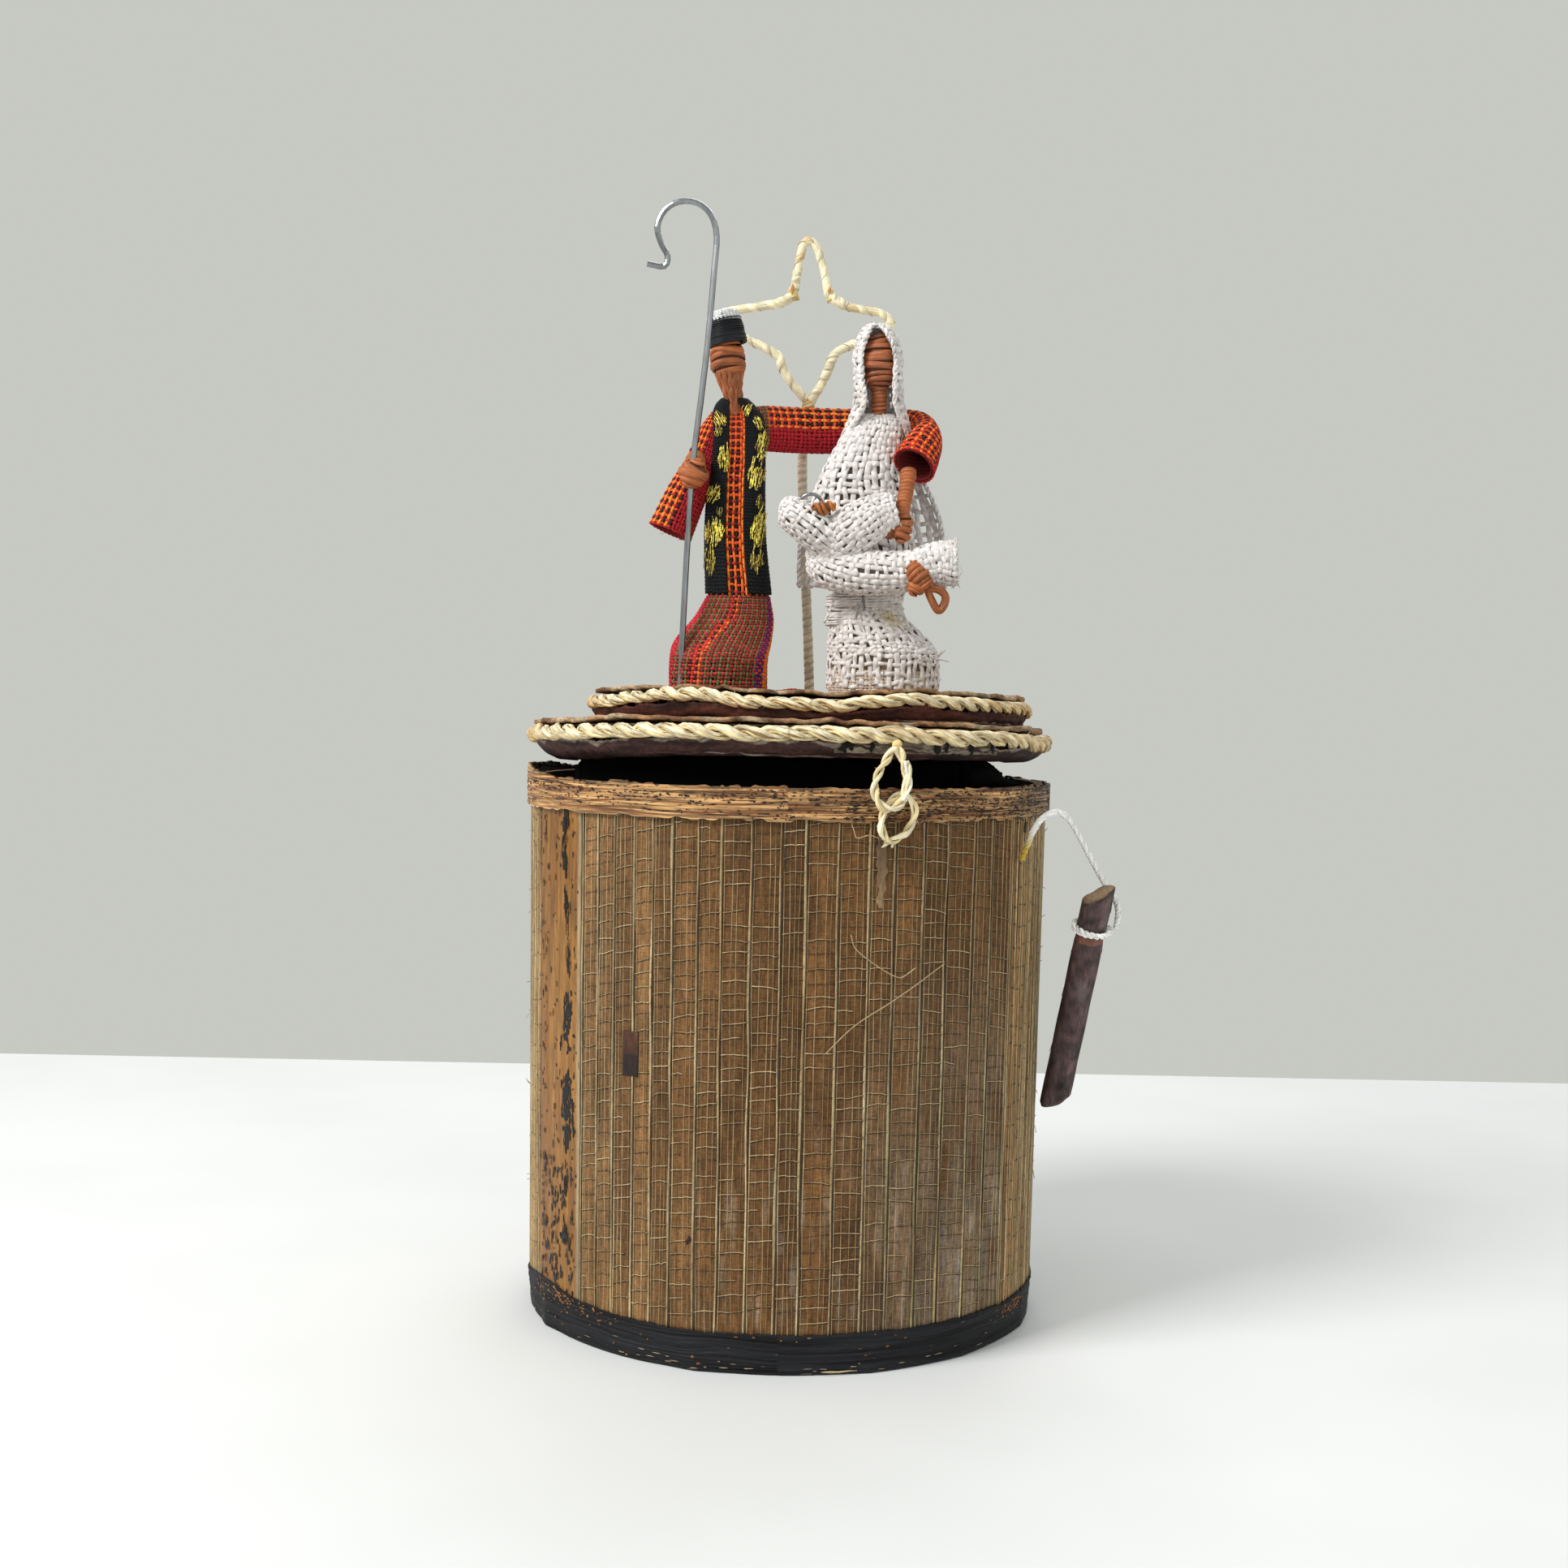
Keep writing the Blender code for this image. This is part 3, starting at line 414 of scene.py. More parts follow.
class Look:
    """A material. Each method adds a node and gives back its output."""

    def __init__(self, name, roughness=0.8, metallic=0.0, **sockets):
        self.made = bpy.data.materials.new(name)
        self.made.use_nodes = True
        self.tree = self.made.node_tree
        self.shader = self.tree.nodes["Principled BSDF"]
        self.shader.inputs["Roughness"].default_value = roughness
        self.shader.inputs["Metallic"].default_value = metallic
        for socket, value in sockets.items():
            self.shader.inputs[socket.replace("_", " ").title().replace("Ior", "IOR")].default_value = value

    def node(self, kind, inputs=(), **settings):
        made = self.tree.nodes.new("ShaderNode" + kind)
        for setting, value in settings.items():
            setattr(made, setting, value)
        for socket, value in dict(inputs).items():
            if isinstance(value, bpy.types.NodeSocket):
                self.tree.links.new(value, made.inputs[socket])
            else:
                made.inputs[socket].default_value = value
        return made.outputs

    def carried(self, name):
        return self.node("Attribute", attribute_name=name)["Color" if name == "tint" else "Vector"]

    def place(self, scale=(1, 1, 1)):
        """The point's place in millimetres, times a scale."""
        spot = self.node("TexCoord")["Object"]
        factors = tuple(each / MM for each in scale)
        return self.node("VectorMath", {0: spot, 1: factors}, operation="MULTIPLY")[0]

    def strand(self, scale=(1, 1, 1)):
        """The point's place on its own strand, times a scale."""
        return self.node("VectorMath", {0: self.carried("lay"), 1: scale}, operation="MULTIPLY")[0]

    def noise(self, where, scale=1.0, detail=3.0, roughness=0.55, distortion=0.0):
        inputs = {"Vector": where, "Scale": scale, "Detail": detail, "Roughness": roughness,
                  "Distortion": distortion}
        return self.node("TexNoise", inputs)[0]

    def sums(self, operation, a, b=0.0, c=0.0):
        return self.node("Math", {0: a, 1: b, 2: c}, operation=operation)[0]

    def between(self, value, low, high, to_low=0.0, to_high=1.0):
        """The value's place from low to high, held inside them."""
        inputs = {"Value": value, 1: low, 2: high, 3: to_low, 4: to_high}
        return self.node("MapRange", inputs, interpolation_type="SMOOTHSTEP")[0]

    def mix(self, share, a, b):
        made = self.tree.nodes.new("ShaderNodeMix")
        made.data_type = "RGBA"
        for socket, value in ((0, share), (6, a), (7, b)):
            if isinstance(value, bpy.types.NodeSocket):
                self.tree.links.new(value, made.inputs[socket])
            elif socket:
                made.inputs[socket].default_value = (*value, 1.0)
            else:
                made.inputs[socket].default_value = value
        return made.outputs[2]

    def shade(self, colour, amount):
        """The colour times an amount that varies."""
        return self.node("VectorMath", {0: colour, "Scale": amount}, operation="SCALE")[0]

    def finish(self, colour, height=None, distance=0.1, roughness=None):
        self.tree.links.new(colour, self.shader.inputs["Base Color"])
        if roughness is not None:
            self.tree.links.new(roughness, self.shader.inputs["Roughness"])
        if height is not None:
            bump = self.node("Bump", {"Height": height, "Distance": distance * MM, "Strength": 1.0})
            self.tree.links.new(bump[0], self.shader.inputs["Normal"])
        return self.made


FIBRE_STRETCH = 0.12  # how much slower a fibre's colour changes along it than across it


def fibrous(name, roughness=0.6, contrast=0.35, depth=0.12, fine=3.0, **sockets):
    """Fibres that run along each strand."""
    look = Look(name, roughness, **sockets)
    streak = look.noise(look.strand((fine, fine, fine * FIBRE_STRETCH)), detail=4.0, roughness=0.65)
    broad = look.noise(look.place(), scale=0.13, detail=2.0)
    amount = look.sums("ADD", look.between(streak, 0.3, 0.72, 1 - contrast, 1 + contrast * 0.7),
                       look.between(broad, 0.35, 0.65, -0.08, 0.08))
    rough = look.between(streak, 0.3, 0.7, min(1, roughness + 0.12), roughness - 0.1)
    return look.finish(look.shade(look.carried("tint"), amount), streak, depth, rough)


def spun(name, roughness=0.9, depth=0.12, ply=2.4, **sockets):
    """Cotton yarn: two plies that turn round each other, with a little fuzz."""
    look = Look(name, roughness, **sockets)
    lay = look.node("SeparateXYZ", {0: look.carried("lay")})
    turn = look.sums("ARCTAN2", lay[1], lay[0])
    phase = look.sums("MULTIPLY_ADD", lay[2], ply, turn)
    ridge = look.sums("SINE", phase)
    fuzz = look.noise(look.place(), scale=3.2, detail=4.0, roughness=0.7)
    height = look.sums("MULTIPLY_ADD", fuzz, 0.9, look.sums("MULTIPLY", ridge, 0.35))
    # The colour follows the height: darker in the grooves between the plies as painted shade, and varied by
    # the fuzz.
    amount = look.between(height, -0.2, 0.95, 0.8, 1.1)
    return look.finish(look.shade(look.carried("tint"), amount), height, depth)


def weathered(name, roughness=0.75, grain=(0.25, 0.25, 2.4), contrast=0.3, depth=0.12, speck=0.0,
              speck_colour=(0.01, 0.01, 0.01), speck_grain=(0.5, 0.5, 0.9), cross=0.0, **sockets):
    """Dry bark or leaf: streaks the way of its grain, fine fibres and dark specks."""
    look = Look(name, roughness, **sockets)
    streak = look.noise(look.place(grain), detail=5.0, roughness=0.65)
    fine = look.noise(look.place([4 * each for each in grain]), detail=3.0, roughness=0.7)
    amount = look.sums("MULTIPLY_ADD", look.between(fine, 0.3, 0.7, -0.5, 0.5), contrast * 0.6,
                       look.between(streak, 0.3, 0.7, 1 - contrast, 1 + contrast))
    if cross:
        threads = look.noise(look.place((0.5, 0.5, 3.2)), detail=4.0, roughness=0.7)
        amount = look.sums("MULTIPLY", amount, look.between(threads, 0.3, 0.7, 1 - cross, 1 + cross))
    colour = look.shade(look.carried("tint"), amount)
    if speck:
        spots = look.noise(look.place(speck_grain), detail=4.0, roughness=0.6, distortion=0.4)
        colour = look.mix(look.between(spots, speck, speck + 0.03), colour, speck_colour)
    height = look.sums("ADD", streak, look.sums("MULTIPLY", fine, 0.5))
    return look.finish(colour, height, depth)


def card_look(name, colour, grain=(0.6, 0.6, 0.6), contrast=0.2, roughness=0.85, depth=0.08, **sockets):
    """An even material with grain and wear, for CAD nodes that keep their own shape."""
    look = Look(name, roughness, **sockets)
    streak = look.noise(look.place(grain), detail=5.0, roughness=0.65)
    worn = look.noise(look.place((0.06, 0.06, 0.06)), detail=2.0)
    amount = look.sums("ADD", look.between(streak, 0.3, 0.7, 1 - contrast, 1 + contrast),
                       look.between(worn, 0.35, 0.65, -0.1, 0.1))
    return look.finish(look.shade(colour, amount), streak, depth)


LOOKS = {
    "raffia": fibrous("raffia", 0.5, contrast=0.3, depth=0.14),
    "rope": fibrous("rope", 0.5, contrast=0.42, depth=0.2, fine=2.2),
    "wrap": fibrous("wrap", 0.6, contrast=0.4, depth=0.16, fine=2.6),
    "string": spun("string", 0.85, depth=0.1, ply=3.0),
    "linen": spun("linen", 0.95, depth=0.16),
    "cloth": spun("cloth", 0.9, depth=0.08, ply=6.0),
    "veneer": weathered("veneer", 0.75, grain=(1.3, 1.3, 0.25), contrast=0.34, depth=0.12, cross=0.3,
                        specular_ior_level=0.25),
    "vein": weathered("vein", 0.6, grain=(1.0, 1.0, 0.4), contrast=0.25, depth=0.04,
                      specular_ior_level=0.4),
    "fibre": weathered("fibre", 0.7, grain=(1.6, 1.6, 0.16), contrast=0.45, depth=0.2, speck=0.66,
                       speck_grain=(0.4, 0.4, 0.9), speck_colour=(0.04, 0.02, 0.01),
                       specular_ior_level=0.25),
    "orange_bark": weathered("orange_bark", 0.5, grain=(0.7, 0.7, 0.08), contrast=0.3, depth=0.06,
                             specular_ior_level=0.4),
    "band": weathered("band", 0.5, grain=(0.05, 0.05, 2.6), contrast=0.8, depth=0.25,
                      specular_ior_level=0.4),
    "black_band": weathered("black_band", 0.6, grain=(0.08, 0.08, 2.4), contrast=0.4, depth=0.16,
                            speck=0.74, speck_grain=(0.3, 0.3, 0.5), speck_colour=(0.25, 0.11, 0.04),
                            specular_ior_level=0.22),
    "dark_bark": weathered("dark_bark", 0.75, grain=(0.5, 0.5, 1.2), contrast=0.45, depth=0.2,
                           specular_ior_level=0.3),
    "lining": card_look("lining", (0.0012, 0.0011, 0.0012), contrast=0.3, roughness=0.9,
                        specular_ior_level=0.06),
    "card": card_look("card", (0.2, 0.13, 0.07), grain=(0.4, 0.4, 2.0)),
    "stuffing": card_look("stuffing", (0.16, 0.12, 0.10), grain=(1.2, 1.2, 0.4), contrast=0.35),
    "robe_stuffing": card_look("robe_stuffing", (0.05, 0.012, 0.01), contrast=0.35),
    "wire": card_look("wire", (0.27, 0.285, 0.30), grain=(1.5, 1.5, 0.2), contrast=0.14, roughness=0.3,
                      depth=0.01, metallic=1.0),
    "twig": weathered("twig", 0.7, grain=(1.4, 1.4, 0.14), contrast=0.35, depth=0.2),
    "satin": fibrous("satin", 0.5, contrast=0.3, depth=0.05, specular_ior_level=0.2),
    "glue": card_look("glue", (0.55, 0.26, 0.05), contrast=0.15, roughness=0.25, coat_weight=0.5),
}


def gold_look():
    """Crumpled metal thread. Its colour goes lighter and darker with the crumples: painted highlights and
    shade.
    """
    look = Look("gold", 0.4, metallic=0.15)
    crumple = look.noise(look.place(), scale=1.4, detail=3.0)
    # Painted highlights and shade that follow the crumples.
    amount = look.between(crumple, 0.40, 0.60, 0.30, 1.45)
    return look.finish(look.shade(look.carried("tint"), amount), crumple, 0.25)


LOOKS["gold"] = gold_look()

CREAM = np.array((0.86, 0.70, 0.38))
PALE = np.array((0.91, 0.81, 0.56))
HONEY = np.array((0.62, 0.34, 0.08))
LINEN = np.array((0.77, 0.735, 0.72))
RED = np.array((0.62, 0.030, 0.012))
DARK_RED = np.array((0.36, 0.006, 0.014))
YELLOW = np.array((0.90, 0.255, 0.02))
BLACK = np.array((0.010, 0.008, 0.009))


# ---------------------------------------------------------------- camera, light and floor


PICTURE = 1932  # the square picture's side
FOCAL_LENGTH = 2455  # in the same units as the picture's side
EYE = np.array((-1.27, -539.0, 162.4))
DOWN_TILT = 2.45  # degrees
ROLL = 1.1  # degrees
TABLE_COLOUR = (0.79, 0.81, 0.83)
TABLE = {"left": -0.62, "right": 0.62, "front": -0.55, "back": 0.331}  # metres
WALL_COLOUR = (0.60, 0.61, 0.57, 1.0)
LAMPS = {  # place, size, power and colour
    "key": ((-0.75, -0.55, 0.95), 0.45, 13.5, (1.0, 0.98, 0.95)),
    "fill": ((0.9, -0.7, 0.55), 0.8, 1.2, (0.95, 0.98, 1.0)),
    "back": ((0.2, 0.7, 0.9), 0.6, 2.5, (1.0, 1.0, 1.0)),
}


def set_stage():
    set_camera()
    set_table()
    world = bpy.context.scene.world or bpy.data.worlds.new("World")
    bpy.context.scene.world = world
    world.use_nodes = True
    sky = world.node_tree.nodes["Background"]
    sky.inputs["Color"].default_value = WALL_COLOUR
    sky.inputs["Strength"].default_value = 0.95
    for name, facts in LAMPS.items():
        lamp(name, *facts)


def set_camera():
    camera = bpy.data.cameras.new("camera")
    camera.lens = FOCAL_LENGTH / PICTURE * camera.sensor_width
    camera.clip_start = 0.01
    camera.clip_end = 20.0
    eye = bpy.data.objects.new("camera", camera)
    tilt = Matrix.Rotation(math.radians(90 - DOWN_TILT), 4, "X")
    roll = Matrix.Rotation(math.radians(ROLL), 4, "Z")
    eye.matrix_world = Matrix.Translation(Vector(EYE * MM)) @ tilt @ roll
    bpy.context.scene.collection.objects.link(eye)
    bpy.context.scene.camera = eye
    bpy.context.scene.view_settings.view_transform = "Standard"


def set_table():
    table = bpy.data.meshes.new("table_top")
    corners = [(TABLE[side], TABLE[end], 0) for side, end in
               (("left", "front"), ("right", "front"), ("right", "back"), ("left", "back"))]
    table.from_pydata(corners, [], [(0, 1, 2, 3)])
    floor = bpy.data.objects.new("table_top", table)
    look = Look("table_paint", 0.6)
    soft = look.noise(look.place(), scale=0.01, detail=2.0)
    table.materials.append(look.finish(look.shade(TABLE_COLOUR, look.between(soft, 0.3, 0.7, 0.98, 1.02))))
    bpy.context.scene.collection.objects.link(floor)


def lamp(name, place, size, power, colour):
    light = bpy.data.lights.new(name, "AREA")
    light.size = size
    light.energy = power
    light.color = colour
    made = bpy.data.objects.new(name, light)
    made.location = place
    aim = Vector((0, 0, 0.15)) - Vector(place)
    made.rotation_euler = aim.to_track_quat("-Z", "Y").to_euler()
    bpy.context.scene.collection.objects.link(made)


# ---------------------------------------------------------------- strands


def twisted(piece, route, radius, pitch, tints, step=0.7, loop=False, rough=0.12, seed="rope"):
    """Two strands, one of each tint, that turn round each other along a route."""
    rng = dice(seed)
    path = spaced(route, step, loop)
    ahead = unit(np.roll(path, -1, 0) - np.roll(path, 1, 0)) if loop else unit(np.gradient(path, axis=0))
    normal = steady_normals(ahead)
    side = np.cross(normal, ahead)
    total = lengths(path)[-1] + (step if loop else 0)
    turns = max(1, round(total / pitch)) if loop else total / pitch
    phase = 2 * np.pi * turns * lengths(path) / total
    part = radius * 0.5
    for k, own in enumerate(tints):
        turn = phase + np.pi * k
        out = side * np.cos(turn)[:, None] + normal * np.sin(turn)[:, None]
        swell = 1 + drift(rng, len(path), 5, rough, loop)
        shade = 1 + drift(rng, len(path), 9, 0.1, loop)
        tint = np.asarray(own) * shade[:, None]
        piece.tubes(path + out * (radius - part), part * swell, part * 0.92 * swell, tint[None],
                    normals=out, sides=8, loop=loop, twist=0.25, seed=f"{seed}{k}")


def wound(piece, route, radius, pitch, tint, step_turn=12, overlap=1.1, thick=0.16, seed="wound",
          lean=0.0, stain=None, rough=1.0):
    """A ribbon wound round a route, over a core. radius may change along it."""
    rng = dice(seed)
    path = spaced(route, 0.4)
    ahead = unit(np.gradient(path, axis=0))
    normal = steady_normals(ahead)
    side = np.cross(normal, ahead)
    gone = lengths(path)
    radius = np.interp(np.linspace(0, 1, len(path)), np.linspace(0, 1, np.size(radius)),
                       np.atleast_1d(radius))
    core = radius - thick * 1.2
    piece.tubes(path, core, core, np.asarray(tint) * 0.8, normals=normal, sides=10, seed=seed + "core")
    turns = gone[-1] / pitch
    count = max(8, int(turns * step_turn))
    along = np.linspace(0, gone[-1], count)
    turn = 2 * np.pi * along / pitch + drift(rng, count, step_turn * 2, 0.35)
    read = lambda rows: np.stack([np.interp(along, gone, rows[:, k]) for k in range(3)], 1)
    out = read(side) * np.cos(turn)[:, None] + read(normal) * np.sin(turn)[:, None]
    around = np.interp(along, gone, radius) * (1 + drift(rng, count, step_turn, 0.03 * rough))
    line = read(path) + out * (around - thick)[:, None]
    leaned = unit(out + read(ahead) * lean)
    wide = pitch / 2 * overlap * (1 + drift(rng, count, step_turn, 0.12 * rough))
    shade = np.asarray(tint) * (1 + drift(rng, count, step_turn * 1.5, 0.1))[:, None]
    if stain is not None:
        shade = blend_of(np.clip(drift(rng, count, step_turn * 2.5, 0.6) - 0.5, 0, 0.7), shade, stain)
    piece.tubes(line, wide, thick * (1 + drift(rng, count, step_turn / 2, 0.3)).clip(0.5, 1.6),
                shade[None], normals=leaned, sides=6, seed=seed)


def wound_ball(piece, centre, halves, turns, half_width, thick, tint, lean=0.0, wander=0.1, seed="ball",
               steps=26):
    """A ribbon wound round and round an egg shape, each turn tilted its own way."""
    rng = dice(seed)
    halves = np.array(halves, float)
    count = int(turns * steps)
    share = np.linspace(0.03, 0.97, count)
    turn = 2 * np.pi * turns * share
    rise = -np.cos(np.pi * share)
    tilt = drift(rng, count, steps, wander)
    swing = drift(rng, count, steps, 1.5)
    rise = np.clip(rise + tilt * np.cos(turn + swing), -0.97, 0.97)
    flat = np.sqrt(1 - rise**2)
    out = np.stack([flat * np.cos(turn), flat * np.sin(turn), rise], 1)
    spin = np.array(Matrix.Rotation(math.radians(lean), 3, "Y"))
    grow = 1 + drift(rng, count, steps * 0.7, 0.03)
    line = (out * (halves - thick) * grow[:, None]) @ spin.T + np.array(centre)
    normals = unit(out / halves) @ spin.T
    shade = 1 + drift(rng, count, steps * 0.8, 0.14)
    wide = half_width * (0.45 + 0.55 * flat) * (1 + drift(rng, count, steps * 0.6, 0.15))
    piece.tubes(line, wide, thick * (1 + drift(rng, count, steps * 0.4, 0.2)).clip(0.5, 1.5),
                (np.asarray(tint) * shade[:, None])[None], normals=normals, sides=6, seed=seed)
    # The core is darker than the ribbon: painted shade in the gaps between turns.
    core = (ball(14, 18, 0.04) * (halves - thick * 2)) @ spin.T + np.array(centre)
    piece.closed(core, np.asarray(tint) * 0.35)


def ball(rows, sides, end):
    """Rings of points on a ball of radius 1, which leave the same share out at each end."""
    up = np.pi * np.linspace(end, 1 - end, rows)[:, None]
    turn = 2 * np.pi * np.arange(sides) / sides
    return np.stack([np.sin(up) * np.cos(turn), np.sin(up) * np.sin(turn), -np.cos(up) * np.ones(sides)], -1)


def capped(rings):
    """Points and faces of a closed skin through rings that have an even number of points."""
    rows, sides = rings.shape[:2]
    number = np.arange(rows * sides).reshape(rows, sides)
    number = np.concatenate([number, number[:, :1]], 1)
    walls = np.stack([number[:-1, :-1], number[:-1, 1:], number[1:, 1:], number[1:, :-1]], -1)
    faces = [walls.reshape(-1, 4)]
    last = (rows - 1) * sides
    for k in range(1, sides - 2, 2):
        corners = np.array([0, k, k + 1, k + 2])
        faces.append((last + corners)[None])
        faces.append(corners[::-1][None])
    return rings.reshape(-1, 3), np.concatenate(faces)


def weave(piece, shape, warps, wefts, colours, half, thick, lift, seed, closed=True, steps=3, sides=6,
          wobble=0.1):
    """Real yarns over and under each other on a shape.

    Warps run along the shape and wefts round it. colours(kind, number, u, v) gives a yarn's tint, and
    half is the half widths of warps and wefts.
    """
    rng = dice(seed)
    for kind, many, crossings in (("warp", warps, wefts), ("weft", wefts, warps)):
        looped = kind == "weft" and closed
        rings = crossings * steps + (0 if looped else 1)
        run = np.broadcast_to(np.linspace(0, 1, rings, endpoint=not looped), (many, rings))
        at = (np.arange(many)[:, None] + 0.5) / many
        bend = np.stack([drift(rng, rings, steps * 2.5, wobble / many, looped) for _ in range(many)])
        at = at + bend
        u, v = (at, run) if kind == "warp" else (run, at)
        place, out = shape.at(u, v)
        over = np.cos(np.pi * (run * crossings - 0.5 + np.arange(many)[:, None]))
        sign = 1 if kind == "warp" else -1
        if kind == "warp":
            apart, width = shape.plain(u + SLOPE_STEP, v) - shape.plain(u, v), half[0]
        else:
            apart, width = shape.climb(u, v) / 2, half[1]
        gap = np.linalg.norm(apart, axis=-1) / SLOPE_STEP / many
        plump = 1 + rng.normal(0, 0.13, (many, 1))
        width = np.minimum(width * plump, 0.52 * gap)
        height = thick * (1 + rng.normal(0, 0.1, (many, 1))) * np.ones((many, rings))
        place = place + out * (sign * lift * over)[..., None]
        tint = colours(kind, np.arange(many)[:, None] + 0 * u, u, v)
        tint = tint * (1 + rng.normal(0, 0.05, (many, 1, 1)))
        piece.tubes(place, width, height, tint, normals=out, sides=sides, loop=looped,
                    seed=seed + kind)


def all_one(colour):
    """Yarns of one colour."""
    return lambda kind, number, u, v: np.broadcast_to(np.asarray(colour, float), (*np.shape(u), 3))


def backing(piece, shape, inset, tint, rows=40, high=1.0):
    """A closed smooth skin inside a woven shape, which its holes show."""
    place, out = shape.rings(rows, 24, high=high)
    piece.closed(place - out * inset, tint)


def tube_wall(piece, shape, inset, tint):
    """An open tube inside a woven sleeve."""
    place, out = shape.rings(50, 32)
    piece.slab(place - out * inset, place - out * (inset + 0.35), tint, across=True)


def field(name, a, b):
    """Smooth random values over a plane, with a knot at each whole number."""
    knots = dice(name).normal(0, 1, (KNOTS, KNOTS))
    a, b = np.broadcast_arrays(np.asarray(a, float), np.asarray(b, float))
    i, j = np.floor(a).astype(int), np.floor(b).astype(int)
    s, t = a - i, b - j
    s, t = s * s * (3 - 2 * s), t * t * (3 - 2 * t)
    near = knots[i % KNOTS, j % KNOTS] * (1 - t) + knots[i % KNOTS, (j + 1) % KNOTS] * t
    i = i + 1
    far = knots[i % KNOTS, j % KNOTS] * (1 - t) + knots[i % KNOTS, (j + 1) % KNOTS] * t
    return near * (1 - s) + far * s


def field_round(angle):
    """The place on a field that makes its values meet where the angle comes round."""
    return angle / 360 * KNOTS


def ease(value, low, high):
    """From 0 to 1 as the value goes from low to high."""
    share = np.clip((np.asarray(value, float) - low) / (high - low), 0, 1)
    return share * share * (3 - 2 * share)


def blend_of(share, a, b):
    """Colour a where the share is 0, colour b where it is 1."""
    share = np.asarray(share)[..., None]
    return np.asarray(a) * (1 - share) + np.asarray(b) * share


# ---------------------------------------------------------------- the box

BASE_TOP = span("base_band")[1][2]
TAN = np.array((0.205, 0.106, 0.040))
UMBER = np.array((0.146, 0.068, 0.022))
GREYED = np.array((0.20, 0.142, 0.098))
RIB = np.array((0.29, 0.185, 0.080))
RIB_PALE = np.array((0.50, 0.37, 0.195))


def leaf_colour(angle, z):
    """The dried leaf's colour, from tan at the left to greyed at the lower right."""
    tan = 1 - ease(angle, -46, -12)
    tan = np.clip(tan + 0.25 * ease(-z, -45, 0) * (1 - ease(angle, -30, 20)), 0, 1)
    grey = ease(angle, 8, 34) * ease(-z, -115, -20) * (1 - ease(angle, 84, 120))
    colour = blend_of(tan * 0.8, UMBER, TAN)
    grey = grey * (0.75 + 0.35 * field("bloom", angle / 4, z / 12))
    colour = blend_of(np.clip(grey, 0, 1), colour, GREYED)
    place = ease(-z, -85, -15) * ease(angle, -24, 0) * (1 - ease(angle, 50, 64))
    dust = ease(field("dust", angle / 1.1, z / 8), 0.1, 1.7) * place
    shade = 1 + 0.10 * field("mottle", angle / 7, z / 16)
    return blend_of(dust * 0.42, colour * shade[..., None], (0.37, 0.32, 0.26))


def rib_angles(start, end, narrow, wide, name):
    """Ribs across a leaf, closer together at its start."""
    rng = dice(name)
    found = [start + 0.4]
    while found[-1] < end:
        share = (found[-1] - start) / (end - start)
        found.append(found[-1] + (narrow + (wide - narrow) * share) * rng.uniform(0.86, 1.14))
    return np.array(found[:-1])


def leaf(name, cad, start, end, narrow, wide, colour, look, slot, veins=3.4, slope=no_rise, dark=0.3):
    """A sheet of dried leaf: a ribbed skin, raised ribs, and a net of veins between them.

    It ends just under the base strip's top. dark is the share of its veins that are dark.
    """
    rng = dice(name)
    radius = outer_radius(cad)
    low, high = BASE_TOP - 1.2, span(cad)[1][2]
    ribs = rib_angles(start, end, narrow, wide, name)
    edges = np.append(ribs, end)
    columns = int((end - start) / 0.42)
    rows = int((high - low) / 1.5)
    angle, z = np.meshgrid(np.linspace(start, end, columns), np.linspace(low, high, rows))
    cell = np.clip(np.searchsorted(ribs, angle) - 1, 0, len(ribs) - 1)
    share = np.clip((angle - ribs[cell]) / (edges[cell + 1] - ribs[cell]), 0, 1)
    bulge = 0.16 * np.sin(np.pi * share) ** 0.7 + 0.06 * field(name + "dents", angle * 1.2, z / 6)
    outside = radius(z) - 0.42 + bulge
    tint = colour(angle, z)
    tint = tint * (1 + 0.12 * rng.normal(0, 1, len(ribs) + 1)[cell])[..., None]
    tint = tint * (1 + 0.13 * field(name + "stain", angle / 5, z / 16)
                   + 0.10 * field(name + "fine", angle * 2, z / 4))[..., None]
    # Darker at each cell's two edges, beside the ribs, where the skin dips: painted shade.
    tint = tint * (1 - 0.30 * (np.abs(share - 0.5) * 2) ** 6)[..., None]
    skin = Piece()
    skin.slab(round_box(outside, angle, z), round_box(radius(z) - 0.68, angle, z), tint)
    skin.make(name, look, "root", slot, [cad])
    leaf_ribs(name, slot, rng, radius, low, high, ribs, edges, colour)
    leaf_veins(name, slot, rng, radius, low, high, ribs, edges, veins, slope, dark)


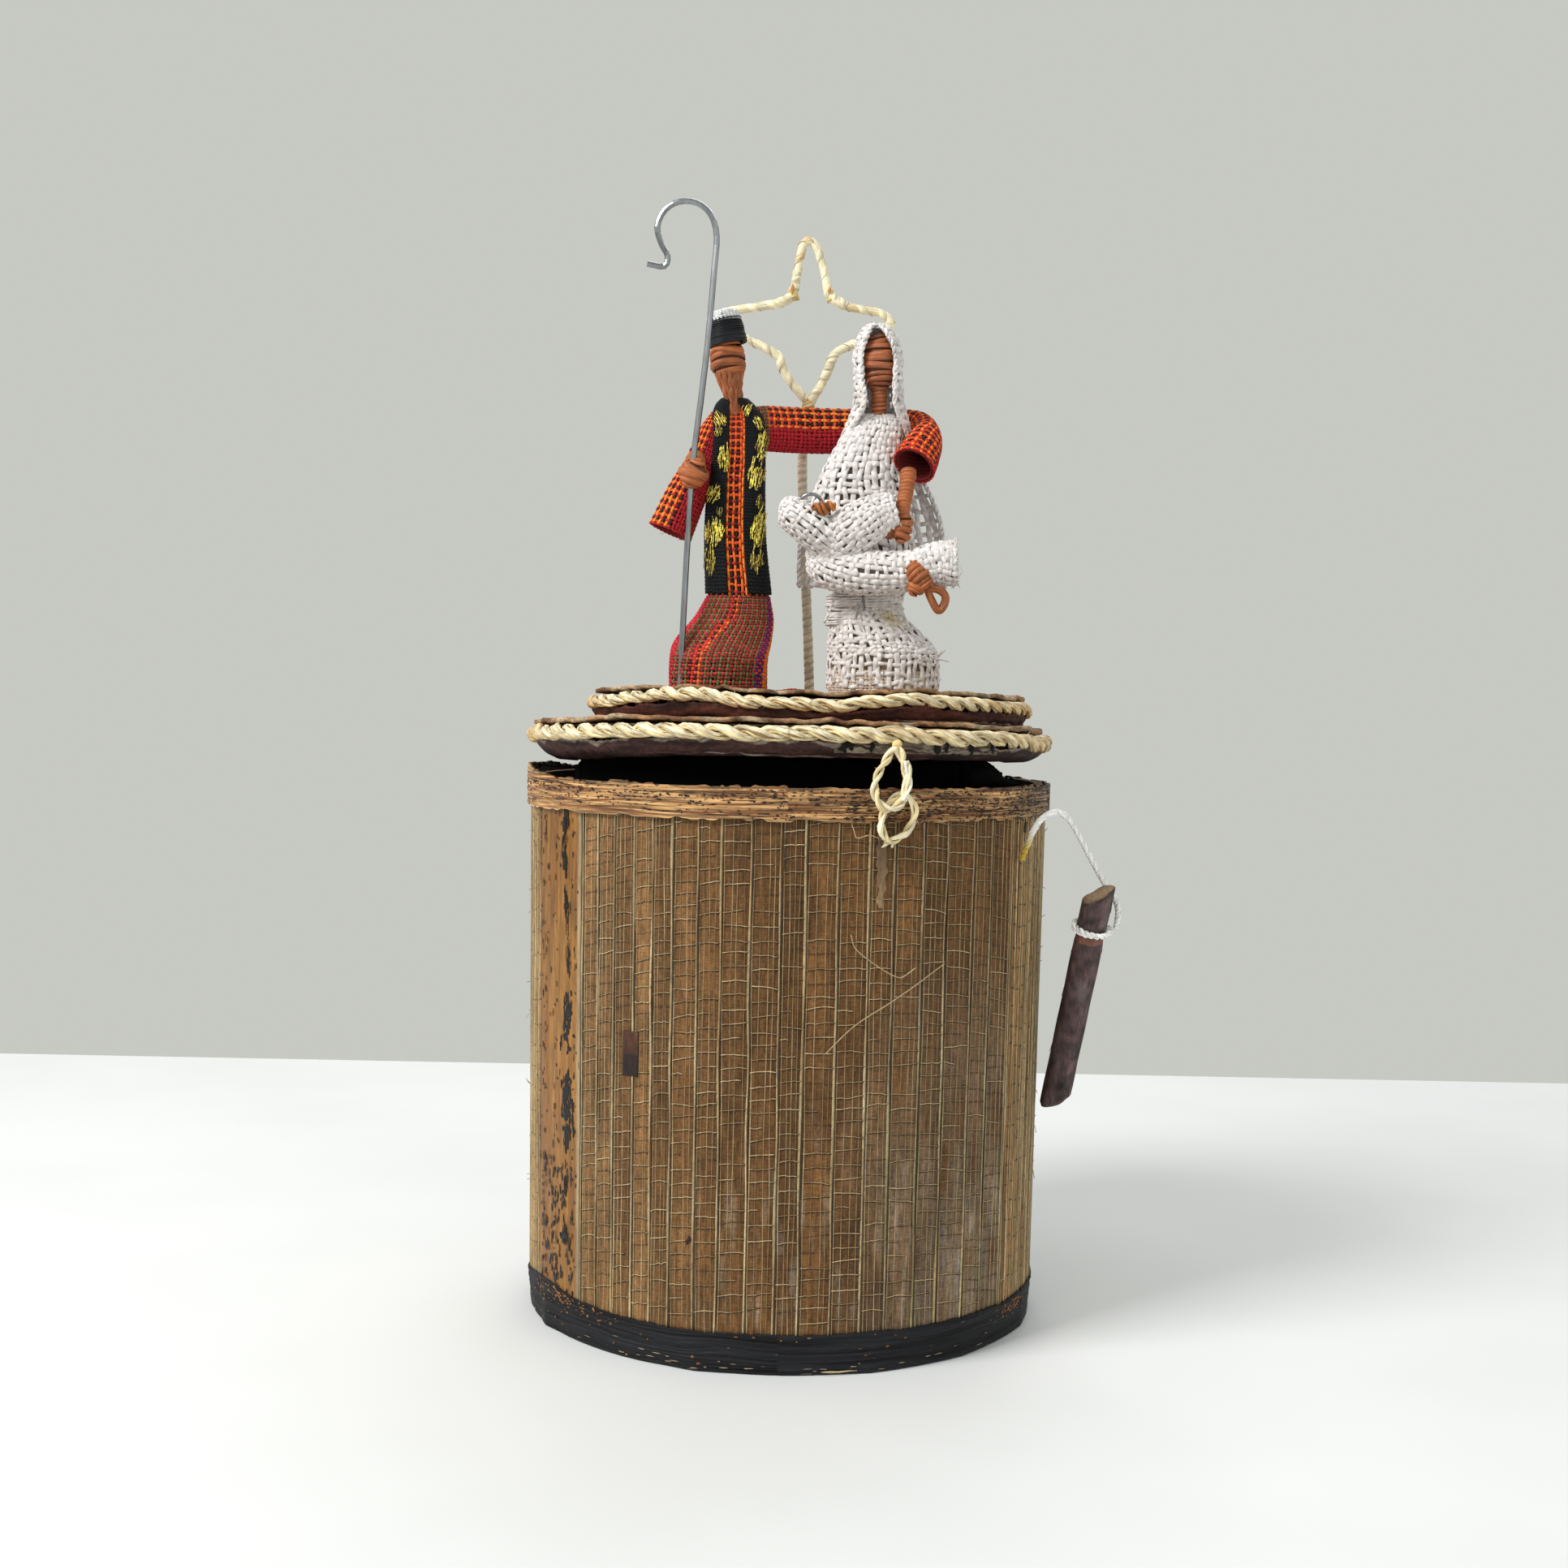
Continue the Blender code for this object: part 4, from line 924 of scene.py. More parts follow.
def leaf_ribs(name, slot, rng, radius, low, high, ribs, edges, colour):
    """A strong rib at each of the leaf's angles, a dark line beside it as its painted shadow, its faint
    neighbours and, in wide gaps, thin ones.
    """
    net = Piece()
    heights = np.linspace(low + 0.2, high - 0.2, 60)
    size = np.diff(edges)
    # ribs + 0.38, at 0.12 of the rib colour, is each rib's painted shadow.
    groups = [(ribs, 0.30, 1.0), (ribs + 0.72, 0.14, 0.9), (ribs + 0.38, 0.16, 0.12)]
    for part, pale in ((0.36, 0.75), (0.58, 0.95), (0.80, 0.7)):
        groups.append((ribs + size * (part + rng.normal(0, 0.03, len(ribs))), 0.10, pale))
    for group, wide_of, pale in groups:
        for k, rib in enumerate(group):
            too_close = wide_of < 0.12 and size[k] < 3.0
            if rib > edges[-1] - 0.2 or too_close:
                continue
            sway = rib + drift(rng, 60, 9, 0.1)
            line = round_box(radius(heights) - (0.30 if pale > 0.2 else 0.27), sway, heights)
            out = round_box(1.0, sway, 0 * heights)
            shade = blend_of(np.clip(0.5 + drift(rng, 60, 8, 0.35), 0, 1), RIB, RIB_PALE)
            shade = shade * 0.5 + shade * 0.5 * (colour(sway, heights) / UMBER).clip(0, 1.6) / 1.2
            shade = shade * pale * (1 + rng.normal(0, 0.12))
            width = wide_of * (1 + drift(rng, 60, 7, 0.22))
            net.tubes(line, width, 0.22, shade[None], normals=out, sides=6,
                      seed=f"{name}{k}{wide_of}{pale}")
    net.make(name + "_ribs", "vein", "root", slot)


def leaf_veins(name, slot, rng, radius, low, high, ribs, edges, veins, slope, dark):
    """Veins that climb from rib to rib, dark or pale with their own shadow."""
    web = Piece()
    paths, tints, widths = [], [], []
    for k, rib in enumerate(ribs):
        right = min(edges[k + 1], edges[-1] - 0.3)
        if right - rib < 1.0:
            continue
        tilt = math.tan(math.radians(slope((rib + right) / 2)))
        up = low + 0.5 + (tilt * math.radians(rib) * SIDE_RADIUS + rng.uniform(-0.6, 0.6)) % veins
        while up < high - 0.5:
            up += veins * rng.uniform(0.84, 1.16)
            kind = rng.uniform()
            if kind < 0.04:
                continue
            first, last = rib + 0.5, right
            if kind < 0.14:
                last = rib + (right - rib) * rng.uniform(0.4, 0.8)
            across = np.linspace(first, last, 7)
            reach = np.radians(across - first) * radius(up)
            bow = rng.normal(0.12, 0.12) * np.sin(np.pi * np.linspace(0, 1, 7))
            height = up + (tilt + rng.normal(0, 0.05)) * reach + bow + rng.normal(0, 0.07, 7)
            brown = rng.uniform() < dark + 0.35 * ease(np.abs(first), 26, 54)
            pale = rng.uniform(0.1, 1.0) ** 1.5
            shade = blend_of((pale + drift(rng, 7, 3, 0.25)).clip(0, 1.1), RIB * 0.8, RIB_PALE)
            if brown:
                lines = [(0.0, 0.24, UMBER * 0.42)]
            else:
                lines = [(0.0, 0.16, shade), (-0.24, 0.25, UMBER * 0.28)]  # with its own shadow
            for drop, depth, tone in lines:
                paths.append(round_box(radius(height) - depth, across, (height + drop).clip(low, high)))
                tints.append(np.broadcast_to(tone, (7, 3)))
                widths.append(np.full(7, rng.uniform(0.10, 0.17)))
    paths = np.array(paths)
    web.tubes(paths, np.array(widths), 0.12, np.array(tints), normals=unit(paths * (1, 1, 0)), sides=4,
              seed=name)
    web.make(name + "_veins", "vein", "root", slot)


def flecks(piece, radius, angles, heights, wide, tall, tint, seed, level=False):
    """Flat flecks on the box's side. They run up it, or round it where level is true."""
    rng = dice(seed)
    many = len(angles)
    wide, tall = np.broadcast_to(wide, many)[:, None], np.broadcast_to(tall, many)[:, None]
    along = tall * np.linspace(-1, 1, 5)
    sway = rng.normal(0, 0.3, (many, 5)) * wide
    up, across = (sway, along) if level else (along, sway)
    z = np.asarray(heights)[:, None] + up
    turn = np.asarray(angles)[:, None] + np.degrees(across / SIDE_RADIUS)
    plump = np.array((0.25, 0.9, 1.0, 0.8, 0.2)) * rng.uniform(0.6, 1.3, (many, 5))
    tint = np.broadcast_to(np.asarray(tint, float), (many, 3))[:, None] * np.ones((1, 5, 1))
    out = round_box(1.0, turn, 0 * z)
    piece.tubes(round_box(radius(z), turn, z), plump * wide, 0.07, tint, normals=out, sides=6, seed=seed)


def fibre_colour(angle, z):
    """Coarse fibres, paler at the box's sides than in front."""
    colour = blend_of(ease(np.abs(angle), 55, 64), UMBER * 1.3, np.array((0.27, 0.155, 0.06)))
    return colour * (1 + 0.28 * field("fibre rows", np.asarray(angle) * 0.6, np.asarray(z) / 30))[..., None]


def bark_strip():
    """The smooth orange-brown bark with black flakes, mostly in a wavy column near its right side."""
    radius = outer_radius("bark_strip_left")
    low, high = BASE_TOP - 1.2, span("bark_strip_left")[1][2]
    angle, z = np.meshgrid(np.linspace(-66.9, -48.1, 50), np.linspace(low, high, 160))
    tone = ease(field("bark tone", angle / 3, z / 30), -1, 1)
    tint = blend_of(tone, (0.27, 0.120, 0.020), (0.20, 0.080, 0.012))
    tint = tint * (1 + 0.14 * field("bark grain", angle * 1.6, z / 12))[..., None]
    tint = blend_of(ease(angle, -49.6, -48.6) * 0.8, tint, (0.36, 0.28, 0.17))
    swell = 0.1 * field("bark swell", angle / 4, z / 25)
    piece = Piece()
    piece.slab(round_box(radius(z) - 0.16 + swell, angle, z), round_box(radius(z) - 0.66, angle, z), tint)
    rng = dice("bark flakes")
    face = lambda z: radius(z) + 0.02
    seam = lambda z: -52.6 + 0.9 * field("seam", 0 * z, z / 14)
    size = lambda z: 0.35 + 0.65 * ease(field("seam size", 0 * z, z / 11), -0.8, 0.6)
    tried = 620
    up = rng.uniform(24, high - 1.5, tried)
    up = up[field("seam gaps", 0 * up, up / 5) + rng.normal(0, 0.3, tried) > -0.25]
    many = len(up)
    across = seam(up) + rng.normal(0, 1.25, many) * size(up)
    flecks(piece, face, across, up, size(up) * rng.uniform(0.2, 0.9, many), rng.uniform(0.3, 1.9, many),
           (0.002, 0.0015, 0.002), "seam flakes")
    many = 190
    up = rng.uniform(low + 2, high - 2, many)
    across = rng.choice((-64.4, -62.6, -50.4, -58.0), many, p=(0.35, 0.2, 0.2, 0.25))
    across = across + rng.normal(0, 1.0, many)
    flecks(piece, face, across, up, rng.uniform(0.10, 0.3, many), rng.uniform(0.2, 1.0, many),
           (0.02, 0.010, 0.008), "small flakes")
    many = 150
    up = low + 1.5 + 34 * rng.uniform(0, 1, many) ** 1.2
    flecks(piece, face, rng.uniform(-65, -50, many), up, rng.uniform(0.15, 0.45, many),
           rng.uniform(0.3, 1.4, many), (0.018, 0.020, 0.026), "low flakes")
    piece.make("bark_strip", "orange_bark", "root", "bark_orange", ["bark_strip_left"])


LOOSE_FIBRES = [  # angle and height
    [(8.1, 78.1), (14, 85), (21, 90.2), (28, 95), (33.9, 98.9)],
    [(12.8, 106.6), (14, 103), (19, 98.5), (22.6, 96.3), (24.4, 96.6), (26.9, 98.3)],
    [(12.2, 134.0), (12.8, 131.6), (13.4, 129.8), (16, 130.4), (19, 129.2)],
]


def leaf_marks():
    """The front leaf's torn patch, dark spots, lifted strip and loose fibres."""
    radius = outer_radius("veneer_main")
    piece = Piece()
    torn_patch(piece, radius)
    flecks(piece, lambda z: radius(z) - 0.05, [-19.0, -19.4], [32.0, 31.2], [0.5, 0.4], [0.9, 0.6],
           (0.035, 0.006, 0.010), "spots")
    # A near-black fleck for the string's hole: painted shade in the hole.
    flecks(piece, lambda z: radius(z) + 0.05, [60.6, 60.8], [131.2, 130.6], [1.0, 0.8], [1.2, 1.0],
           (0.008, 0.004, 0.003), "string hole")
    lifted_strip(piece, radius)
    for k, knots in enumerate(LOOSE_FIBRES):
        turn, up = smooth(np.array(knots), 30).T
        lift = 0.35 + 0.9 * np.sin(np.pi * np.linspace(0, 1, 30)) ** 2
        piece.tubes(round_box(radius(up) + lift, turn, up), 0.17, 0.13, RIB_PALE * 0.85, seed=f"loose{k}")
    side_hairs(piece, radius)
    piece.make("leaf_marks", "vein", "root", "veneer")


def torn_patch(piece, radius):
    angle, z = np.meshgrid(np.linspace(-35.0, -31.1, 12), np.linspace(70.0, 80.8, 30))
    z = z + 0.25 * np.sin(angle * 9) * (np.abs(z - 75.4) > 4.5)
    tint = blend_of(ease(z, 75.0, 75.6), (0.014, 0.0035, 0.002), (0.060, 0.018, 0.006))
    tint = tint * (1 + 0.3 * field("patch", angle * 2, z / 2))[..., None]
    piece.slab(round_box(radius(z) + 0.10, angle, z), round_box(radius(z) - 0.3, angle, z), tint)


def lifted_strip(piece, radius):
    middle = 18.8
    angle, z = np.meshgrid(np.linspace(17.0, 20.6, 12), np.linspace(113.0, 131.5, 50))
    edge = 0.5 * field("torn strip", angle * 0 + 3, z / 1.4) * (np.abs(angle - middle) > 1.4)
    thin = 0.45 + 0.55 * ease(z, 112, 124)
    angle = middle + (angle - middle) * thin * 0.62 + edge * 0.5
    curl = 0.25 + 0.35 * np.abs(field("curl", angle, z / 3))
    piece.slab(round_box(radius(z) + curl, angle, z), round_box(radius(z) + curl - 0.2, angle, z),
               blend_of(ease(z, 110, 128), (0.27, 0.175, 0.09), (0.14, 0.08, 0.04)))


def side_hairs(piece, radius):
    """Short hairs that stand off the box's two sides."""
    rng = dice("leaf hairs")
    for k in range(26):
        side = rng.choice((-1, 1))
        turn, up = side * rng.uniform(86, 91), rng.uniform(20, 128)
        out = round_box(1.0, turn, 0.0)
        run = np.linspace(0, 1, 6)[:, None]
        start = round_box(radius(up) - 0.2, turn, up)
        hair = start + out * run * rng.uniform(0.6, 1.5)
        hair = hair + np.array((0, 0, 1)) * run**2 * rng.normal(0, 1.2)
        piece.tubes(hair, 0.11, 0.09, RIB_PALE * rng.uniform(0.4, 0.9), sides=4, seed=f"hair{k}")


CORNERS = np.array((-62.0, -17.5, 19.2, 42.0, 68.0, 97.0, 131.0, 168.0, 203.0, 241.0, 298.0))
RIDGE_PITCH = 0.95


def facet(angle):
    """How far the base pulls in between the corners it was folded at, in millimetres."""
    turned = (np.asarray(angle) - CORNERS[0]) % 360 + CORNERS[0]
    at = np.clip(np.searchsorted(CORNERS, turned, side="right") - 1, 0, len(CORNERS) - 2)
    half = np.radians((CORNERS[at + 1] - CORNERS[at]) / 2)
    local = np.radians(turned - (CORNERS[at] + CORNERS[at + 1]) / 2)
    return np.minimum(SIDE_RADIUS * (1 - np.cos(half) / np.cos(local)), 2.4) * 0.36


def band(name, cad, colour, top_rag, low_rag, facets=0.0, sink=0.0, sway=no_rise):
    """A stiff strip round the box with fine ridges and torn edges, and the radius of its face."""
    rows, sides = 56, 960
    radius = outer_radius(cad)
    low, high = span(cad)[0][2], span(cad)[1][2]
    angle = round_angles(sides)
    repeat = field_round(angle)
    top = high + 0.5 * top_rag * field(name + "top", repeat * 0.8, 0 * angle) - abs(top_rag) * 0.8
    top = top + 0.4 * top_rag * field(name + "torn", repeat * 5, 3 + 0 * angle)
    top = top + sway(from_front(angle))
    top = top - 1.2 * top_rag * ease(field(name + "nick", repeat * 7, 9 + 0 * angle), 1.4, 1.9)
    bottom = low + low_rag * (0.6 + field(name + "low", repeat * 3, 7 + 0 * angle)).clip(0, 3)
    share = np.linspace(0, 1, rows)[:, None]
    z = bottom + (top - bottom) * share
    wave = z + 0.35 * field(name + "wave", repeat / 2, z / 3)
    ridges = 0.10 * field(name + "ridge", repeat / 4, wave / 0.5)
    ridges = ridges + 0.12 * np.abs(np.sin(np.pi * wave / RIDGE_PITCH))
    ridges = ridges + 0.03 * field(name + "fray", repeat * 4, z / 0.4)
    pull = facets * (1 - share) ** 0.8 * facet(angle)
    outside = radius(z) - 0.18 - sink + ridges - pull
    angle = np.broadcast_to(angle, z.shape)
    tint = colour(angle, z, share, wave)
    outer = round_box(outside, angle, z)
    inner = round_box(outside - 0.5 - 0.5 * ease(share, 0.9, 1), angle, z)
    piece = Piece()
    piece.slab(outer, inner, tint, across=True, lining=(0.006, 0.005, 0.005))
    return piece, lambda z: radius(z) - 0.06 - sink


def rim_colour(angle, z, share, wave):
    turn = from_front(angle)
    tone = field("rim tone", angle / 12, wave / 0.5)
    colour = blend_of(ease(tone, -1.2, 1.2), (0.21, 0.084, 0.026), (0.60, 0.34, 0.135))
    # The valleys between the ridges are darkened in lines: painted shade, in the same dark colour as the
    # burn near the top.
    valley_shade = ease(-np.abs(np.sin(np.pi * wave / RIDGE_PITCH)), -0.42, 0.0)
    line = valley_shade * ease(field("rim lines", angle / 9, wave / RIDGE_PITCH), -0.7, 0.5)
    burn = ease(field("rim burn", angle / 5, z / 1.1) + 1.6 * ease(share, 0.75, 1) - 1.3, 0, 0.6) * 0.7
    colour = blend_of(ease(-share, -0.06, 0.0) * 0.6, colour, (0.60, 0.38, 0.17))
    # Darker from 50 degrees right of the front round to the back: painted shade on the side away from the
    # key lamp.
    colour = blend_of(ease(turn, 50, 66) * 0.6, colour, (0.22, 0.14, 0.075))
    return blend_of(np.clip(burn + line, 0, 1) * 0.9, colour, (0.026, 0.011, 0.008))


def base_colour(angle, z, share, wave):
    tone = field("base tone", angle / 20, wave / 0.6)
    colour = blend_of(ease(tone, -1.5, 1.5), (0.0035, 0.0035, 0.005), (0.016, 0.0165, 0.020))
    scratch = ease(field("base scratch", angle / 3, z / 0.22) - 2.2 + 0.7 * ease(-share, -0.2, 0), 0, 0.4)
    return blend_of(scratch * 0.7, colour, (0.26, 0.22, 0.17))


def rim_strip():
    curl = lambda a: 2.3 * ease(-a, 52, 86) * ease(a, -128, -104) + 0.9 * hump(a, -79, 3.5)
    piece, face = band("rim_strip", "rim_band", rim_colour, 0.45, 0.25, sway=curl)
    rng = dice("rim flecks")
    low, high = span("rim_band")[0][2], span("rim_band")[1][2]
    for many, first, last, middle, spread in ((420, -70, 14, 0.78, 0.22), (1150, 12, 84, 0.55, 0.30),
                                              (500, 84, 290, 0.7, 0.3), (120, -30, 30, 0.2, 0.1)):
        angles = rng.uniform(first, last, many)
        up = low + (high - low - 0.8) * np.clip(rng.normal(middle, spread, many), 0.03, 0.98)
        long = rng.uniform(0.15, 0.75, many) ** 1.5 * 1.3
        flecks(piece, face, angles, up, rng.uniform(0.06, 0.26, many), long, (0.016, 0.007, 0.006),
               f"rim flecks{first}", level=True)
    many = 90
    angles, up = rng.uniform(-80, 84, many), rng.uniform(low + 1, high - 1, many)
    flecks(piece, lambda z: face(z) + 0.06, angles, up, rng.uniform(0.05, 0.12, many),
           rng.uniform(0.8, 3.0, many), (0.66, 0.44, 0.20), "rim slivers", level=True)
    piece.make("rim_strip", "band", "root", "band", ["rim_band"])


def base_strip():
    slope = lambda a: 2.2 * hump(a, -62, 15) - 2.4 * hump(a, -90, 11) - 0.8 * hump(a, 88, 9)
    piece, face = band("base_strip", "base_band", base_colour, 0.25, 0.0, facets=1.0, sink=0.55, sway=slope)
    rng = dice("base flecks")
    front = lambda z: face(z) + 0.05
    rust, straw = (0.30, 0.13, 0.045), (0.42, 0.34, 0.22)
    for many, angle, wide, middle, spread, tint in (
            (60, -53, 8, 0.86, 0.10, rust), (34, -60, 10, 0.5, 0.25, rust), (55, 62, 3.5, 0.75, 0.10, rust),
            (30, 0, 60, 0.6, 0.3, rust), (16, -26, 9, 0.16, 0.10, straw), (9, 25, 14, 0.14, 0.07, straw),
            (40, 180, 60, 0.6, 0.3, rust)):
        share = np.clip(rng.normal(middle, spread, many), 0.04, 0.97)
        turn = rng.normal(angle, wide, many)
        up = 0.4 + share * (BASE_TOP - 0.8 + slope(from_front(turn)))
        tucked = np.array([float(facet(t)) * (1 - s) ** 0.8 for t, s in zip(turn, share)])
        stretch = 2.2 if tint is straw else 1.0
        flecks(piece, lambda z: front(z) - tucked[:, None], turn, up, rng.uniform(0.1, 0.4, many) / stretch,
               rng.uniform(0.15, 0.6, many) * stretch, np.array(tint) * rng.uniform(0.6, 1.3, (many, 1)),
               f"base flecks{angle}{middle}", level=True)
    flecks(piece, lambda z: front(z) - 0.2, [12.5], [1.0], [0.32], [4.4], (0.55, 0.42, 0.24), "base sliver",
           level=True)
    piece.make("base_strip", "black_band", "root", "base_band", ["base_band"])


def base_plate():
    """The card disc under the box, cut with short straight snips."""
    radius = span("base_disc")[1][0]
    angle = round_angles(260)
    pull = 0.9 + facet(angle)
    rings = []
    outline = ((0.04, 0.0), (0.6, 0.0), (0.97, 0.0), (1.0, 0.25), (1.0, 2.1), (0.6, 2.3), (0.04, 2.3))
    for share, z in outline:
        rings.append(round_box(radius * share - pull * (share > 0.9), angle, z))
    piece = Piece()
    piece.closed(rings, (0.10, 0.065, 0.04))
    piece.make("base_plate", "dark_bark", "root", "card", ["base_disc"])


def neck():
    """The black card neck that stands up inside the box, with a torn top edge."""
    low, high = span("inner_neck")
    angle = round_angles(360)
    repeat = field_round(angle)
    torn = high[2] - 0.3 - 0.5 * np.abs(field("neck", repeat * 2, 0 * angle))
    torn = torn - 4.6 * hump(np.abs(from_front(angle)), 86, 22)
    outside = 57.4 + 0.2 * field("neck bulge", repeat, 4 + 0 * angle)
    flange = high[0] - 0.2
    rings = [(flange, low[2]), (flange, low[2] + 1.9), (outside + 0.4, low[2] + 2.0),
             (outside, low[2] + 3), (outside, torn), (outside - 1.2, torn), (outside - 1.4, low[2])]
    loop = np.stack([round_box(r, angle, z) for r, z in rings])
    piece = Piece()
    piece.grid(loop, (0.0012, 0.0012, 0.0014), across=True, along=True)
    piece.make("black_neck", "lining", "root", "lining", ["inner_neck"])


def make_box():
    leaf("front_leaf", "veneer_main", -47.9, 54.9, 4.4, 7.0, leaf_colour, "veneer", "veneer",
         slope=lambda a: 13 - 0.22 * (a + 48), dark=0.06)
    leaf("back_leaf", "veneer_back", 86.2, 263.8, 5.5, 6.5, lambda a, z: leaf_colour(0 * a - 10, z),
         "veneer", "veneer", slope=lambda a: 4, dark=0.2)
    leaf("right_fibre", "fibre_strip_right", 55.1, 85.9, 2.6, 3.4, fibre_colour, "fibre", "fibre",
         veins=5.0, slope=lambda a: -3, dark=0.6)
    leaf("left_fibre", "fibre_strip_left", -95.9, -67.1, 2.9, 2.7, fibre_colour, "fibre", "fibre",
         veins=6.0, slope=lambda a: 6, dark=0.5)
    bark_strip()
    leaf_marks()
    rim_strip()
    base_strip()
    base_plate()
    neck()
    for node, look in (("core_tube", "card"), ("inner_liner", "lining")):
        paint(node, look)


def paint(node, look):
    """A look for a CAD node that keeps its own shape."""
    for each in NODES[node].material_slots:
        each.material = LOOKS[look]


# ---------------------------------------------------------------- the lid

TIER_X = (span("tier_core")[0][0] + span("tier_core")[1][0]) / 2
FRONT_RISE = 1.7  # how much higher the lid's edge is in front
# Angle and rise round the tier.
TIER_WAVE = ((-180, 0.3), (-120, 0.8), (-90, 0.0), (-60, 1.2), (-30, 3.2), (-10, 1.7), (7, 0.6), (26, 3.2),
             (50, 1.4), (90, 0.0), (130, 0.9), (180, 0.3))


def lid_rise(angle):
    """How much the lid's edge rises there, in millimetres."""
    turn = np.radians(angle)
    return FRONT_RISE * np.clip(np.cos(turn), 0, 1) ** 1.5 - 1.2 * np.sin(turn) ** 8


def tier_rise(angle):
    angles, rises = np.array(TIER_WAVE).T
    return np.interp(from_front(angle), angles, rises)


def sheet_disc(name, cad, colour, look, slot, x=0.0, rag=0.6, rise=no_rise, thick=0.55, inset=0.0):
    """A round piece of bark or card with a torn edge."""
    low, high = span(cad)
    sides = 480
    radius = (high[0] - low[0]) / 2 - inset
    angle = round_angles(sides)
    repeat = field_round(angle)
    torn = radius - 0.1 + rag * (field(name, repeat * 3, 0 * angle) * 0.5 - 0.3)
    torn = torn + 0.3 * rag * field(name + "nick", repeat * 9, 2 + 0 * angle)
    rings, tints = [], []
    shares = (0.05, 0.35, 0.6, 0.8, 0.92, 0.98, 1.0)
    for top, order in ((0, shares), (1, shares[::-1])):
        for share in order:
            z = low[2] + thick * top + rise(angle) * share**3
            z = z + share**4 * 0.25 * field(name + "curl", repeat * 2, 5 + 0 * angle)
            rings.append(round_at(x, torn * share, angle, z))
            tints.append(colour(angle, share))
    piece = Piece()
    piece.closed(rings, np.concatenate(tints))
    return piece.make(name, look, "lid", slot, [cad])


def bark_colour(dark, light, edge):
    def pick(angle, share):
        turn = np.radians(angle)
        tone = ease(field("bark sheet", share * 5 * np.cos(turn), share * 17 * np.sin(turn)), -1.2, 1.2)
        colour = blend_of(tone, dark, light)
        return blend_of(0.75 * (share > 0.97) * ease(field("edge", angle / 4, 1 + 0 * angle), -0.6, 0.9),
                        colour, edge)
    return pick


def skirt(name, x, radius, low, height, colour, torn_at=(), rise=no_rise, lean=1.8, sag=0.0, replaces=()):
    """The under-cover's edge: a smooth cone that curls up outside the card, torn along its top."""
    angle = round_angles(720)
    repeat = field_round(angle)
    top = height + rise(angle) + 0.22 * field(name, repeat * 2, 0 * angle)
    top = top + 0.14 * field(name, repeat * 9, 9 + 0 * angle)
    for middle, wide, depth in torn_at:
        top = top - depth * hump(from_front(angle - middle), 0, wide)
    share = np.linspace(0, 1, 16)[:, None]
    foot = low + 0.6 * rise(angle) + 0.15 * field(name + "foot", repeat, 0 * angle)
    hang = 1 + 0.3 * field(name + "hang", repeat * 4, 0 * angle)
    foot = foot - sag * hump(from_front(angle), -66, 26) * hang
    z = foot + (top - foot) * share
    out = radius + lean * share ** 0.26 + 0.13 * field(name + "wrinkle", repeat * 2, share * 2)
    turned = np.broadcast_to(angle, z.shape)
    tint = colour(turned, share)
    piece = Piece()
    piece.slab(round_at(x, out, turned, z), round_at(x, out - 0.35, turned, z + 0.4), tint, across=True)
    return piece.make(name, "dark_bark", "lid", "bark_dark", replaces)


def skirt_colour(angle, share):
    tone = ease(field("skirt tone", angle / 9, share * 4), -1.2, 1.2)
    colour = blend_of(tone, (0.024, 0.011, 0.010), (0.075, 0.032, 0.026))
    torn = ease(share + 0.10 * field("skirt torn", angle / 3, 0 * angle), 0.86, 0.97)
    return blend_of(torn * 0.8, colour, (0.30, 0.245, 0.20))


def tier_colour(angle, share):
    tone = ease(field("tier tone", angle / 9, share * 4), -1.2, 1.2)
    return blend_of(tone, (0.030, 0.010, 0.008), (0.11, 0.032, 0.022))


FLUTE_PITCH = 6.8


def flutes(name, cad, x=0.0, rise=no_rise):
    """Corrugated card: two flat liners with a wavy sheet between them."""
    low, high = span(cad)
    radius = (high[0] - low[0]) / 2 - 0.6
    floor, roof = low[2] + 0.1, high[2] - 0.1
    angle = round_angles(240)
    piece = Piece()
    for z, lift in ((floor, 0.0), (roof - 0.45, 1.0)):
        rings = []
        for share, top in ((0.05, 0), (0.9, 0), (1.0, 0), (1.0, 1), (0.9, 1), (0.05, 1)):
            rings.append(round_at(x, radius * share, angle, z + 0.45 * top + lift * rise(angle) * share**3))
        piece.closed(rings, (0.30, 0.20, 0.11))
    across = np.linspace(-radius * 0.995, radius * 0.995, 240)
    along = np.linspace(-1, 1, 50)[:, None]
    reach = np.sqrt(radius**2 - across**2)
    middle, swing = (floor + roof) / 2, (roof - floor) / 2 - 0.7
    z = middle + swing * np.sin(2 * np.pi * across / FLUTE_PITCH) + 0 * along
    wave = np.stack(np.broadcast_arrays(x + across, along * reach, z), -1)
    piece.slab(wave + (0, 0, 0.14), wave - (0, 0, 0.14), (0.22, 0.14, 0.075))
    piece.make(name, "card", "lid", "card", [cad])


